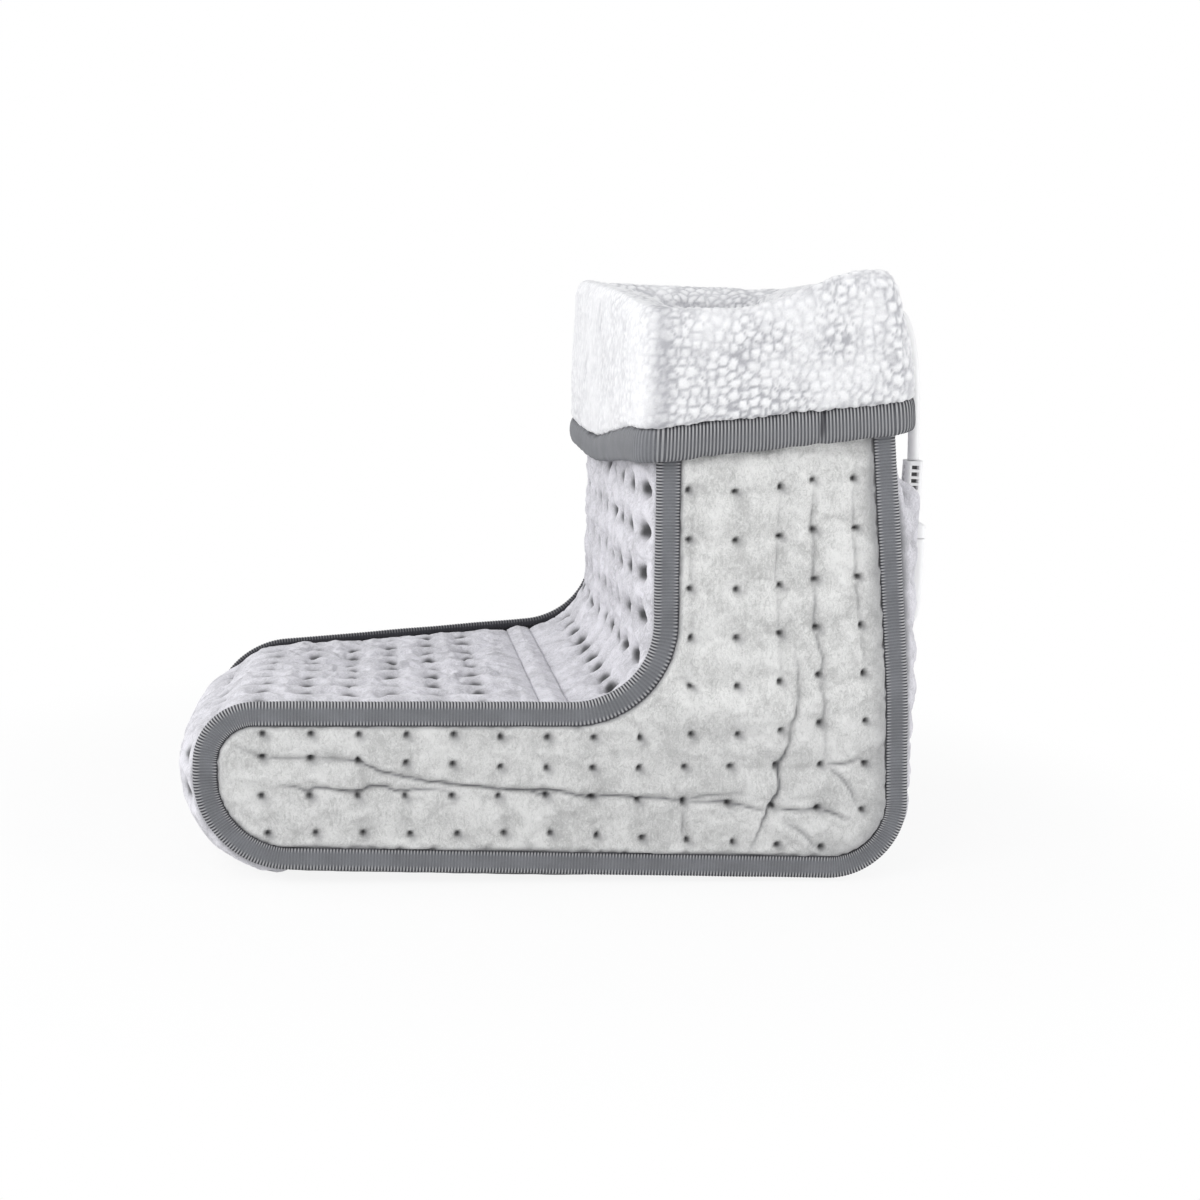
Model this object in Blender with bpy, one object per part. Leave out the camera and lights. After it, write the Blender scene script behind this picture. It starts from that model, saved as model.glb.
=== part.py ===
"""Electric foot warmer: a quilted boot for two feet with a turned-down fleece cuff.

The boot is sewn from two flat sides and a gusset that runs down the shin, over the
instep, round the toe, along the sole and up the back. A ribbed tape binds each side
seam. X runs from the toe (-) to the heel (+), the left side is -Y, and Z is up from
the floor. All lengths are in metres.
"""
import math

import bpy
import bmesh
import numpy as np
from mathutils import Vector, geometry

# Side outline: corners of the left and the right side and their rounding
BOOT_WIDTH = 0.2000
SHAFT_FRONT_X = 0.0342
SHAFT_BACK_X = 0.1412
SHAFT_TOP_Z = 0.2400
ANKLE_X = 0.0392
ANKLE_Z_LEFT = 0.0850
ANKLE_Z_RIGHT = 0.0890
ANKLE_RADIUS = 0.0360
TOE_X = -0.1672
TOE_TOP_Z_LEFT = 0.0842
TOE_TOP_RADIUS_LEFT = 0.0270
TOE_TOP_X_RIGHT = -0.1527
TOE_TOP_Z_RIGHT = 0.0701
TOE_TOP_RADIUS_RIGHT = 0.0400
TOE_BOTTOM_X_RIGHT = -0.1640
TOE_BOTTOM_Z = 0.0081
TOE_BOTTOM_RADIUS_LEFT = 0.0445
TOE_BOTTOM_RADIUS_RIGHT = 0.0262
HEEL_X = 0.1637
HEEL_Z = 0.0008
HEEL_RADIUS = 0.0360
BACK_BEND_X = 0.1587
BACK_BEND_Z = 0.0900
BACK_BEND_RADIUS = 0.3000
HEM_WIDTH = 0.0130

# Seams: turned-up edges of the panels inside a folded tape
TAPE_WIDTH = 0.0106
TAPE_INNER_WIDTH = 0.0052
TAPE_THICKNESS = 0.0007
EDGE_THICKNESS = 0.0006
SEAM_DEPTH = 0.0058
GAP = 0.0003

# Quilted panels and their tufts
PANEL_THICKNESS = 0.0062
QUILT_PITCH = 0.0205
TUFT_DEPTH = 0.0026
PUFF_HEIGHT = 0.0011
STITCH_DEPTH = 0.0006
SIDE_PUFF = 0.0042
SIDE_TUFT_PUFF = 0.0004
SIDE_CREASE_PUFF = 0.0018
SIDE_RIM_PUFF = 0.0022
SIDE_RIM_WIDTH = 0.0030
SIDE_PITCH_X = 0.0209
SIDE_FIRST_TUFT_X = -0.1349
SIDE_FIRST_ROW_Z = 0.0275
FOOT_ROW_PITCH = 0.0143
SHAFT_ROW_PITCH = 0.0225
COLUMN_PITCH_SHARES = (1, 1, 1, 1, 1, 1, 1, 1, 1, 1, 1, 0.79, 0.83)
FOOT_ROWS = 4
SHAFT_ROWS = 6
FOOT_ROW_TILT = 0.03
CREASED_ROWS = (2, 4)
CREASED_COLUMN = 22
PRESSED_ABOVE_Z = 0.1870
PRESSED_PUFF_SHARE = 0.12

# Crown of the gusset, as a height above the seam at marked places
CROWN_TOP = 0.0055
CROWN_SHIN_TOP = 0.0098
CROWN_SHIN = 0.0110
CROWN_ANKLE = 0.0060
CROWN_INSTEP = 0.0010
CROWN_TOE_TOP = 0.0030
CROWN_TOE_UPPER = 0.0022
CROWN_TOE_FRONT = 0.0115
CROWN_TOE_BOTTOM = 0.0140
CROWN_HEEL_BOTTOM = 0.0080
CROWN_HEEL_BACK = 0.0110
CROWN_SOCKET_LOW = 0.0163
CROWN_SOCKET_HIGH = 0.0200
CROWN_BACK_TOP = 0.0090
SOCKET_ZONE_LOW_Z = 0.1050
SOCKET_ZONE_HIGH_Z = 0.1650
BACK_DRAWN_IN_Z = 0.1950

BOW_POWER = 3

# Fleece lining and the space for the heating mat under it
LINING_THICKNESS = 0.0065
LINING_DROP = 0.0350
LINING_TOP_Z = SHAFT_TOP_Z - LINING_DROP
LINING_EASE = 0.0006
MAT_SPACE = 0.0056

# Fleece cuff, turned down over the shaft: heights from the shaft's top, then thicknesses
CUFF_FRONT_DROP = 0.0285
CUFF_BACK_DROP = 0.0135
CUFF_FRONT_DIP = 0.0190
CUFF_RIM_RISE = 0.0240
CUFF_RIM_ARCH = 0.0030
CUFF_CORNER_RISE = 0.0190
CUFF_RISE_START_X = 0.0550
CUFF_RISE_END_X = 0.1280
CUFF_TOP_LEAN = 0.2800
CUFF_FLAP = 0.0085
CUFF_END_FLAP = 0.0045
CUFF_CLEARANCE = 0.0008
CUFF_CORNER_RADIUS = 0.0045
CUFF_FRONT_CROWN = 0.0062
CUFF_BACK_CROWN = 0.0045
CUFF_BACK_EASE = 0.0015
CUFF_INNER_EASE = 0.0020
CUFF_BINDING_HEIGHT = 0.0155
CUFF_BINDING_NARROWING = 0.0040
CUFF_BINDING_THICKNESS = 0.0050
CUFF_BINDING_GAP = 0.0009

# Heating mat under the sole's lining
CARRIER_LENGTH = 0.2200
CARRIER_WIDTH = 0.1500
CARRIER_THICKNESS = 0.0008
CARRIER_CENTRE_X = -0.0028
WIRE_DIAMETER = 0.0016
WIRE_RUNS = 8
WIRE_RUN_LENGTH = 0.1760
WIRE_PITCH = 0.0180
WIRE_RETURN_X = 0.0992
CUTOUT_LENGTH = 0.0140
CUTOUT_DIAMETER = 0.0038
CUTOUT_BORE = 0.0024
CUTOUT_Y = 0.0100
JOINT_X = 0.1072
JOINT_LENGTH = 0.0120
JOINT_WIDTH = 0.0150
JOINT_HEIGHT = 0.0038
JOINT_POLE_PITCH = 0.0050
JOINT_BORE_DEPTH = 0.0040
INNER_LEAD_DIAMETER = 0.0024

# Connector at the back: a socket on the boot and a plug that pulls out upwards
PLUG_X = 0.1687
PLUG_Y = -0.05125
SOCKET_SEAT_X = 0.1634
SOCKET_BOTTOM_Z = 0.1150
SOCKET_TOP_Z = 0.1570
SOCKET_WIDTH = 0.0240
SOCKET_DEPTH = 0.0100
SOCKET_WALL = 0.0018
SOCKET_CAVITY_DEPTH = 0.0180
CONTACT_WIDTH = 0.0026
CONTACT_THICKNESS = 0.0007
CONTACT_LENGTH = 0.0110
CONTACT_PITCH = 0.0060
CONTACT_COUNT = 3
CONTACT_ROOT = 0.0030
PLUG_FIT = 0.0003
PLUG_NOSE_LENGTH = 0.0150
PLUG_COVER_HEIGHT = 0.0070
PLUG_POCKET_DEPTH = 0.0045
PLUG_TRAVEL = 0.0140
SLEEVE_WALL = 0.0005
SLEEVE_CLEARANCE = 0.0004
CLAMP_WIDTH = 0.0260
CLAMP_HEIGHT = 0.0100
CLAMP_THICKNESS = 0.0012
SCREW_DIAMETER = 0.0024
SCREW_HEAD_DIAMETER = 0.0046
SCREW_HEAD_HEIGHT = 0.0012
SCREW_SPACING = 0.0150
SCREW_BITE = 0.0040
SCREW_Z = 0.1235
LEAD_HOLE_Z = 0.1335
LEAD_HOLE_DEPTH = 0.0040
LEAD_BEND_RADIUS = 0.0050
LEAD_BEND_STEPS = 4
RELIEF_SET_IN = 0.0006

# Slotted strain relief above the plug
RELIEF_LENGTH = 0.0285
RELIEF_WIDTH_BOTTOM = 0.0092
RELIEF_WIDTH_TOP = 0.0086
RELIEF_SLOTS = 8
RELIEF_SLOT_SHARE = 0.46
RELIEF_SLOT_DEPTH = 0.0016
RELIEF_END = 0.0014

# Leads
CORD_DIAMETER = 0.0055
CORD_FLOOR_GAP = 0.0002
COIL_TURN_PITCH = 0.0064
COIL_MEAN_RADIUS = 0.0340
COIL_TURNS = 7
COIL_LAYERS = 4
COIL_POINTS_PER_TURN = 24
COIL_X = 0.0872
COIL_Y = 0.2000
COIL_LIFT = 0.0012
TIE_WIDTH = 0.0120
TIE_THICKNESS = 0.0008

# Hand control on the floor behind the boot
CONTROL_X = -0.0218
CONTROL_Y = 0.1450
CONTROL_LENGTH = 0.1120
CONTROL_WIDTH = 0.0440
CONTROL_HEIGHT = 0.0220
CONTROL_WALL = 0.0018
CONTROL_PARTING_SHARE = 0.5
CONTROL_EDGE = 0.0060
SLOT_LENGTH = 0.0240
SLOT_WIDTH = 0.0036
SLIDER_LENGTH = 0.0130
SLIDER_WIDTH = 0.0100
SLIDER_HEIGHT = 0.0036
SLIDER_TRAVEL = 0.0150
SLIDER_STEM_DEPTH = 0.0060
LAMP_DIAMETER = 0.0040
LAMP_OFFSET_X = -0.0330
BOARD_THICKNESS = 0.0016
BOARD_LENGTH = 0.0780
BOARD_WIDTH = 0.0300
POST_DIAMETER = 0.0060
POST_INSET_X = 0.0120
CONTROL_RELIEF_LENGTH = 0.0250
CONTROL_RELIEF_WIDTH = 0.0100
CONTROL_RELIEF_TIP = 0.0074
CONTROL_SCREW_DIAMETER = 0.0026
CONTROL_SCREW_HEAD = 0.0046

# Two-pin mains plug
MAINS_PLUG_LENGTH = 0.0370
MAINS_PLUG_WIDTH = 0.0353
MAINS_PLUG_THICKNESS = 0.0137
MAINS_PLUG_NECK = 0.0110
PIN_DIAMETER = 0.0040
PIN_LENGTH = 0.0190
PIN_SPACING = 0.0186
PIN_ROOT = 0.0060
MAINS_PLUG_X = 0.1692
MAINS_PLUG_RELIEF_Y = 0.2130
MAINS_RELIEF_LENGTH = 0.0200

# Finishes as (colour, roughness, metallic)
FINISHES = {
    "plush": ((0.60, 0.60, 0.61), 0.95, 0.0),
    "tape": ((0.20, 0.21, 0.22), 0.80, 0.0),
    "fleece": ((0.86, 0.86, 0.87), 0.95, 0.0),
    "sole_cloth": ((0.25, 0.25, 0.26), 0.90, 0.0),
    "mat_cloth": ((0.80, 0.78, 0.72), 0.90, 0.0),
    "white_plastic": ((0.86, 0.86, 0.85), 0.35, 0.0),
    "grey_plastic": ((0.32, 0.33, 0.35), 0.45, 0.0),
    "lead": ((0.84, 0.84, 0.83), 0.45, 0.0),
    "wire": ((0.55, 0.20, 0.12), 0.50, 0.0),
    "board": ((0.05, 0.22, 0.10), 0.50, 0.0),
    "lamp": ((0.90, 0.25, 0.10), 0.20, 0.0),
    "brass": ((0.72, 0.56, 0.28), 0.35, 1.0),
    "steel": ((0.62, 0.62, 0.62), 0.35, 1.0),
}

# Levels across a seam, from the outer face of the tape inwards
HALF = BOOT_WIDTH / 2
SIDE_FACE = HALF - TAPE_THICKNESS - GAP
SIDE_EDGE_BACK = SIDE_FACE - EDGE_THICKNESS
GUSSET_EDGE = SIDE_EDGE_BACK - GAP
GUSSET_FACE = GUSSET_EDGE - EDGE_THICKNESS
TAPE_INNER_FACE = GUSSET_FACE - GAP
TAPE_INNER_BACK = TAPE_INNER_FACE - TAPE_THICKNESS
SIDE_INNER = SIDE_FACE - PANEL_THICKNESS
SIDE_LINING_FACE = SIDE_INNER - GAP
SIDE_LINING_BACK = SIDE_LINING_FACE - LINING_THICKNESS
GUSSET_LINING_EDGE = SIDE_LINING_BACK - GAP
EDGE_TOP = -TAPE_THICKNESS - GAP
INNER_LEVEL = -SEAM_DEPTH - PANEL_THICKNESS

# Levels of the heating mat above the sole's outline
MAT_BASE = -INNER_LEVEL + GAP
WIRE_LEVEL = MAT_BASE + CARRIER_THICKNESS + GAP + CUTOUT_DIAMETER / 2


def material(name):
    """The named finish as a Principled material, made once."""
    found = bpy.data.materials.get(name)
    if found is not None:
        return found
    colour, roughness, metallic = FINISHES[name]
    made = bpy.data.materials.new(name)
    made.use_nodes = True
    shader = made.node_tree.nodes["Principled BSDF"]
    shader.inputs["Base Color"].default_value = (*colour, 1.0)
    shader.inputs["Roughness"].default_value = roughness
    shader.inputs["Metallic"].default_value = metallic
    made.diffuse_color = (*colour, 1.0)
    return made


def add_object(name, points, faces, finish):
    """A mesh object with its faces turned outwards and smooth where it is round."""
    mesh = bpy.data.meshes.new(name)
    mesh.from_pydata([tuple(float(v) for v in point) for point in points], [], faces)
    shaped = bmesh.new()
    shaped.from_mesh(mesh)
    bmesh.ops.recalc_face_normals(shaped, faces=shaped.faces)
    shaped.to_mesh(mesh)
    shaped.free()
    mesh.shade_smooth()
    mesh.set_sharp_from_angle(angle=math.radians(40))
    mesh.materials.append(material(finish))
    made = bpy.data.objects.new(name, mesh)
    bpy.context.scene.collection.objects.link(made)
    return made


def ring_faces(rows, columns, closed_rows=False):
    """Quads between rows of points, each row a closed ring; end rings are capped."""
    faces = []
    for row in range(rows if closed_rows else rows - 1):
        after = (row + 1) % rows
        for column in range(columns):
            beside = (column + 1) % columns
            faces.append((row * columns + column, row * columns + beside,
                          after * columns + beside, after * columns + column))
    if not closed_rows:
        faces.append(tuple(range(columns)))
        faces.append(tuple((rows - 1) * columns + column for column in reversed(range(columns))))
    return faces


def loft(name, rings, finish, closed=False):
    """A body through closed rings of equal count, capped unless it joins itself."""
    points = [point for ring in rings for point in ring]
    return add_object(name, points, ring_faces(len(rings), len(rings[0]), closed), finish)


def cut(target, cutter):
    """Takes the cutter's solid out of the target and removes the cutter."""
    combine(target, cutter, 'DIFFERENCE')


def combine(target, other, operation):
    """Applies an exact boolean with another object, which is then removed."""
    finish = target.data.materials[0]
    change = target.modifiers.new("boolean", 'BOOLEAN')
    change.operation = operation
    change.solver = 'EXACT'
    change.object = other
    graph = bpy.context.evaluated_depsgraph_get()
    result = bpy.data.meshes.new_from_object(target.evaluated_get(graph))
    target.modifiers.clear()
    old = target.data
    target.data = result
    bpy.data.meshes.remove(old)
    bpy.data.objects.remove(other, do_unlink=True)
    target.data.materials.clear()
    target.data.materials.append(finish)


def rounded_path(corners, radii, counts):
    """Straight runs joined by arcs, as points, their outward normals, and where runs meet."""
    corners = [np.array(corner) for corner in corners]
    points, normals, marks = [corners[0]], [], [0]

    def run_to(target, steps):
        start = points[-1]
        ahead = (target - start) / np.linalg.norm(target - start)
        if not normals:
            normals.append(np.array((ahead[1], -ahead[0])))
        for step in range(1, steps + 1):
            points.append(start + (target - start) * step / steps)
            normals.append(np.array((ahead[1], -ahead[0])))
        marks.append(len(points) - 1)

    for index, radius in enumerate(radii, start=1):
        before = corners[index - 1] - corners[index]
        after = corners[index + 1] - corners[index]
        before = before / np.linalg.norm(before)
        after = after / np.linalg.norm(after)
        angle = math.acos(float(np.clip(before @ after, -1, 1)))
        reach = radius / math.tan(angle / 2)
        start = corners[index] + before * reach
        middle = (before + after) / np.linalg.norm(before + after)
        centre = corners[index] + middle * radius / math.sin(angle / 2)
        spoke = start - centre
        tip = corners[index] + after * reach - centre
        way = math.copysign(1.0, spoke[0] * tip[1] - spoke[1] * tip[0])
        run_to(start, counts[2 * index - 2])
        steps = counts[2 * index - 1]
        for step in range(1, steps + 1):
            turn = way * (math.pi - angle) * step / steps
            arm = np.array((spoke[0] * math.cos(turn) - spoke[1] * math.sin(turn),
                            spoke[0] * math.sin(turn) + spoke[1] * math.cos(turn)))
            points.append(centre + arm)
            normals.append(way * arm / radius)
        marks.append(len(points) - 1)
    run_to(corners[-1], counts[-1])
    return np.array(points), np.array(normals), marks


LEFT_CORNERS = ((SHAFT_FRONT_X, SHAFT_TOP_Z), (ANKLE_X, ANKLE_Z_LEFT), (TOE_X, TOE_TOP_Z_LEFT),
                (TOE_X, TOE_BOTTOM_Z), (HEEL_X, HEEL_Z), (BACK_BEND_X, BACK_BEND_Z),
                (SHAFT_BACK_X, SHAFT_TOP_Z))
RIGHT_CORNERS = ((SHAFT_FRONT_X, SHAFT_TOP_Z), (ANKLE_X, ANKLE_Z_RIGHT),
                 (TOE_TOP_X_RIGHT, TOE_TOP_Z_RIGHT), (TOE_BOTTOM_X_RIGHT, TOE_BOTTOM_Z),
                 (HEEL_X, HEEL_Z), (BACK_BEND_X, BACK_BEND_Z), (SHAFT_BACK_X, SHAFT_TOP_Z))
LEFT_RADII = (ANKLE_RADIUS, TOE_TOP_RADIUS_LEFT, TOE_BOTTOM_RADIUS_LEFT, HEEL_RADIUS,
              BACK_BEND_RADIUS)
RIGHT_RADII = (ANKLE_RADIUS, TOE_TOP_RADIUS_RIGHT, TOE_BOTTOM_RADIUS_RIGHT, HEEL_RADIUS,
               BACK_BEND_RADIUS)


def station_counts():
    """How many steps of about half a quilt pitch each run and arc of the left side takes."""
    step = QUILT_PITCH / 2
    fine = 60
    path, _, marks = rounded_path(LEFT_CORNERS, LEFT_RADII, [fine] * (2 * len(LEFT_RADII) + 1))
    counts = []
    for first, last in zip(marks[:-1], marks[1:]):
        pieces = path[first:last + 1]
        length = float(np.sum(np.linalg.norm(np.diff(pieces, axis=0), axis=1)))
        counts.append(max(1, round(length / step)))
    return counts


COUNTS = station_counts()
LEFT_PATH, LEFT_NORMALS, MARKS = rounded_path(LEFT_CORNERS, LEFT_RADII, COUNTS)
RIGHT_PATH, RIGHT_NORMALS, _ = rounded_path(RIGHT_CORNERS, RIGHT_RADII, COUNTS)
(AT_TOP, ANKLE_START, ANKLE_END, TOE_START, TOE_TOP_END, TOE_BOTTOM_START, TOE_END,
 HEEL_START, HEEL_END, BEND_START, BEND_END, AT_END) = MARKS


def on_path(path, station):
    """The point at a fractional station, on the straight line between two stations."""
    station = min(max(station, 0.0), len(path) - 1.0)
    first = min(int(station), len(path) - 2)
    share = station - first
    return path[first] * (1 - share) + path[first + 1] * share


def rail(station, y):
    """Point and outward normal (x, z) of the outline, blended between the two sides."""
    share = min(max(y / BOOT_WIDTH + 0.5, 0.0), 1.0)
    place = on_path(LEFT_PATH, station) * (1 - share) + on_path(RIGHT_PATH, station) * share
    normal = (on_path(LEFT_NORMALS, station) * (1 - share)
              + on_path(RIGHT_NORMALS, station) * share)
    return place, normal / np.linalg.norm(normal)


def station_at_height(z):
    """The station on the back of the left side at a height."""
    back = LEFT_PATH[HEEL_END:, 1]
    return HEEL_END + float(np.interp(z, back, np.arange(len(back))))


CROWN_STATIONS = (
    (AT_TOP, CROWN_TOP), (ANKLE_START / 2, CROWN_SHIN_TOP), (ANKLE_START, CROWN_SHIN),
    ((ANKLE_START + ANKLE_END) / 2, CROWN_ANKLE), (ANKLE_END, CROWN_INSTEP),
    (TOE_START - (TOE_START - ANKLE_END) / 4, CROWN_INSTEP), (TOE_START, CROWN_TOE_TOP),
    ((TOE_START + TOE_TOP_END) / 2, CROWN_TOE_UPPER), (TOE_TOP_END, CROWN_TOE_FRONT),
    (TOE_END, CROWN_TOE_BOTTOM),
    ((TOE_END + HEEL_START) / 2, CROWN_TOE_BOTTOM), (HEEL_START, CROWN_HEEL_BOTTOM),
    (HEEL_END, CROWN_HEEL_BACK), (station_at_height(SOCKET_ZONE_LOW_Z), CROWN_SOCKET_LOW),
    (station_at_height(SOCKET_ZONE_HIGH_Z), CROWN_SOCKET_HIGH),
    (station_at_height(BACK_DRAWN_IN_Z), CROWN_BACK_TOP), (AT_END, CROWN_BACK_TOP))


def bow(share):
    """A boxy arch across the width: 1 in the middle, 0 at a share of 1."""
    return max(0.0, 1 - abs(share) ** BOW_POWER) ** (1 / BOW_POWER)


def crown(station, y):
    """Height above the seam: an ellipse across the width, its rise set along the path."""
    rise = float(np.interp(station, [at for at, _ in CROWN_STATIONS],
                           [value for _, value in CROWN_STATIONS]))
    return rise * bow(y / GUSSET_FACE)


def inner_swell(station, y):
    """The crown as the inside shows it: none along the sole, growing round toe and heel."""
    marks = (AT_TOP, TOE_BOTTOM_START, TOE_END, HEEL_START, HEEL_END, AT_END)
    return crown(station, y) * float(np.interp(station, marks, (1, 1, 0, 0, 1, 1)))


def gusset_point(station, y, height):
    """A point at a height over the outline, never below the floor."""
    place, normal = rail(station, y)
    x, z = place + normal * height
    return np.array((x, y, max(z, 0.0)))


def between(first, last, stride=1):
    """Stations from first to last, a seam gap short at each end, whole numbers inside."""
    step = QUILT_PITCH / 2
    start, end = first + GAP / step / 2, last - GAP / step / 2
    least = 0.35
    inside = [at for at in few_stations(stride)
              if at - start > least and end - at > least]
    return [start] + inside + [end]


def socket_zone(station, y):
    """True where the back panel lies flat behind the socket."""
    low, high = station_at_height(SOCKET_ZONE_LOW_Z), station_at_height(SOCKET_ZONE_HIGH_Z)
    beside = abs(y - PLUG_Y) < QUILT_PITCH + GAP
    return beside and low - 1 < station < high + 1


QUILT_COLUMNS = int((GUSSET_FACE - QUILT_PITCH / 8) / (QUILT_PITCH / 2))


def quilt_columns(row, quilted):
    """Columns of a row and their heights: tufts on even rows, puffs between on odd ones."""
    puffs = list(range(-QUILT_COLUMNS, QUILT_COLUMNS + 1, 2))
    if not quilted:
        return [(column, 0.0) for column in puffs]
    if row % 2:
        middle = len(puffs) // 2
        return [(column, lift) for column, lift in zip(
            puffs[:middle] + [0] + puffs[middle:],
            [PUFF_HEIGHT] * middle + [-STITCH_DEPTH] + [PUFF_HEIGHT] * middle)]
    tufts = [(column, -TUFT_DEPTH) for column in range(1 - QUILT_COLUMNS, QUILT_COLUMNS, 2)]
    return [(-QUILT_COLUMNS, -STITCH_DEPTH)] + tufts + [(QUILT_COLUMNS, -STITCH_DEPTH)]


INNER_HALF_LEVELS = (-PLUG_Y - QUILT_PITCH, -PLUG_Y + QUILT_PITCH, GUSSET_EDGE)
INNER_LEVELS = INNER_HALF_LEVELS[::-1] + tuple(-y for y in INNER_HALF_LEVELS)


def inner_height(station, y):
    """Height of the panels' inside, straight between the levels it is built on."""
    swells = [inner_swell(station, level) for level in INNER_HALF_LEVELS]
    return INNER_LEVEL + float(np.interp(abs(y), INNER_HALF_LEVELS, swells))


def gusset_panel(name, first, last, finish, quilted=True, raised=0.0, stride=1):
    """A strip of gusset: turned-up edges at both seams and a crowned, quilted middle."""
    rings = []
    for station in between(first, last, stride):
        row = int(round(station))
        base = -SEAM_DEPTH
        outer = []
        for column, lift in quilt_columns(row, quilted):
            y = column * QUILT_PITCH / 2
            height = base + raised + crown(station, y) + (lift if station == row else 0.0)
            point = gusset_point(station, y, height)
            if socket_zone(station, y):
                point[0] = SOCKET_SEAT_X - GAP
            outer.append(point)
        left = [gusset_point(station, -GUSSET_EDGE, EDGE_TOP),
                gusset_point(station, -GUSSET_FACE, EDGE_TOP),
                gusset_point(station, -GUSSET_FACE, base),
                gusset_point(station, -TAPE_INNER_BACK + GAP, base)]
        right = [gusset_point(station, -point[1], height) for point, height in zip(
            reversed(left), (base, base, EDGE_TOP, EDGE_TOP))]
        inner = []
        for y in INNER_LEVELS:
            place, normal = rail(station, y)
            x, z = place + normal * inner_height(station, y)
            if socket_zone(station, y):
                x = SOCKET_SEAT_X - GAP - PANEL_THICKNESS
            inner.append(np.array((x, y, z)))
        rings.append(left + outer + right + inner)
    return loft(name, rings, finish)


def gusset_lining(name, first, last, space, stride=3):
    """Fleece inside a strip of gusset, a mat space away from it and from the socket's seat."""
    levels = (GUSSET_LINING_EDGE,) + INNER_LEVELS[1:-1] + (-GUSSET_LINING_EDGE,)
    limit = SOCKET_SEAT_X - 2 * GAP - PANEL_THICKNESS - MAT_SPACE
    rings = []
    for station in between(first, last, stride):
        outer, inner = [], []
        for y in levels:
            height = inner_height(station, y) - GAP - space
            place, normal = rail(station, y)
            x, z = place + normal * height
            outer.append(np.array((min(x, limit), y, z)))
            x, z = place + normal * (height - LINING_THICKNESS)
            inner.append(np.array((min(x, limit - LINING_THICKNESS), y, z)))
        rings.append(outer + inner[::-1])
    return loft(name, rings, "fleece")


def tape(name, path, side):
    """Folded tape over a seam: a wide leg on the side, a narrow one on the gusset."""
    profile = ((HALF, -TAPE_WIDTH), (HALF, 0.0), (TAPE_INNER_BACK, 0.0),
               (TAPE_INNER_BACK, -TAPE_INNER_WIDTH), (TAPE_INNER_FACE, -TAPE_INNER_WIDTH),
               (TAPE_INNER_FACE, -TAPE_THICKNESS), (HALF - TAPE_THICKNESS, -TAPE_THICKNESS),
               (HALF - TAPE_THICKNESS, -TAPE_WIDTH))
    first, last = tape_end(path, 0), tape_end(path, 1)
    kept = [at for at in few_stations(AT_END) if first + 0.4 < at < last - 0.4]
    rings = []
    for station in [first] + kept + [last]:
        ring = []
        for y, height in profile:
            place, normal = rail(station, side * HALF)
            x, z = place + normal * height
            ring.append((x, side * y, z))
        rings.append(ring)
    return loft(name, rings, "tape")


def cuff_edge_height(x):
    """Height of the cuff's lower edge on a side, which climbs towards the back."""
    share = (x - SHAFT_FRONT_X) / (SHAFT_BACK_X - SHAFT_FRONT_X)
    return SHAFT_TOP_Z - CUFF_FRONT_DROP + (CUFF_FRONT_DROP - CUFF_BACK_DROP) * share


def cuff_heights(place, beside, beyond):
    """Heights at a point round the cuff: the binding's foot, the fleece's edge and the rim.

    In front the edge dips and the rim arches towards the middle, by 1 less the square of
    the share of the half width, to the power 3/4. The rim climbs to the left back corner.
    """
    x, y, _ = cuff_point(place, beside, beyond, SHAFT_TOP_Z)
    half = HALF + CUFF_CLEARANCE
    front = 0.0
    if x < (SHAFT_FRONT_X + SHAFT_BACK_X) / 2:
        front = max(0.0, 1 - (y / half) ** 2) ** 0.75
    edge = cuff_edge_height(x) - CUFF_FRONT_DIP * front
    foot = edge - GAP - CUFF_BINDING_HEIGHT + CUFF_BINDING_NARROWING * front
    share = (x - CUFF_RISE_START_X) / (CUFF_RISE_END_X - CUFF_RISE_START_X)
    share = min(max(share, 0.0), 1.0)
    climb = share * share * (3 - 2 * share) * min(max((half - y) / (2 * half), 0.0), 1.0)
    rim = SHAFT_TOP_Z + CUFF_RIM_RISE + CUFF_RIM_ARCH * front + CUFF_CORNER_RISE * climb
    return foot, edge, rim


def tape_end(path, end):
    """The station where the side tape meets the cuff, at the front (0) or the back (1)."""
    stations = np.linspace(0, ANKLE_START, 80) if end == 0 else np.linspace(AT_END, HEEL_END, 80)
    for station in stations:
        x, z = on_path(path, station)
        if z < cuff_edge_height(x - TAPE_WIDTH) - CUFF_BINDING_HEIGHT + GAP:
            return station
    raise ValueError("the shaft is shorter than its cuff")


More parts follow.
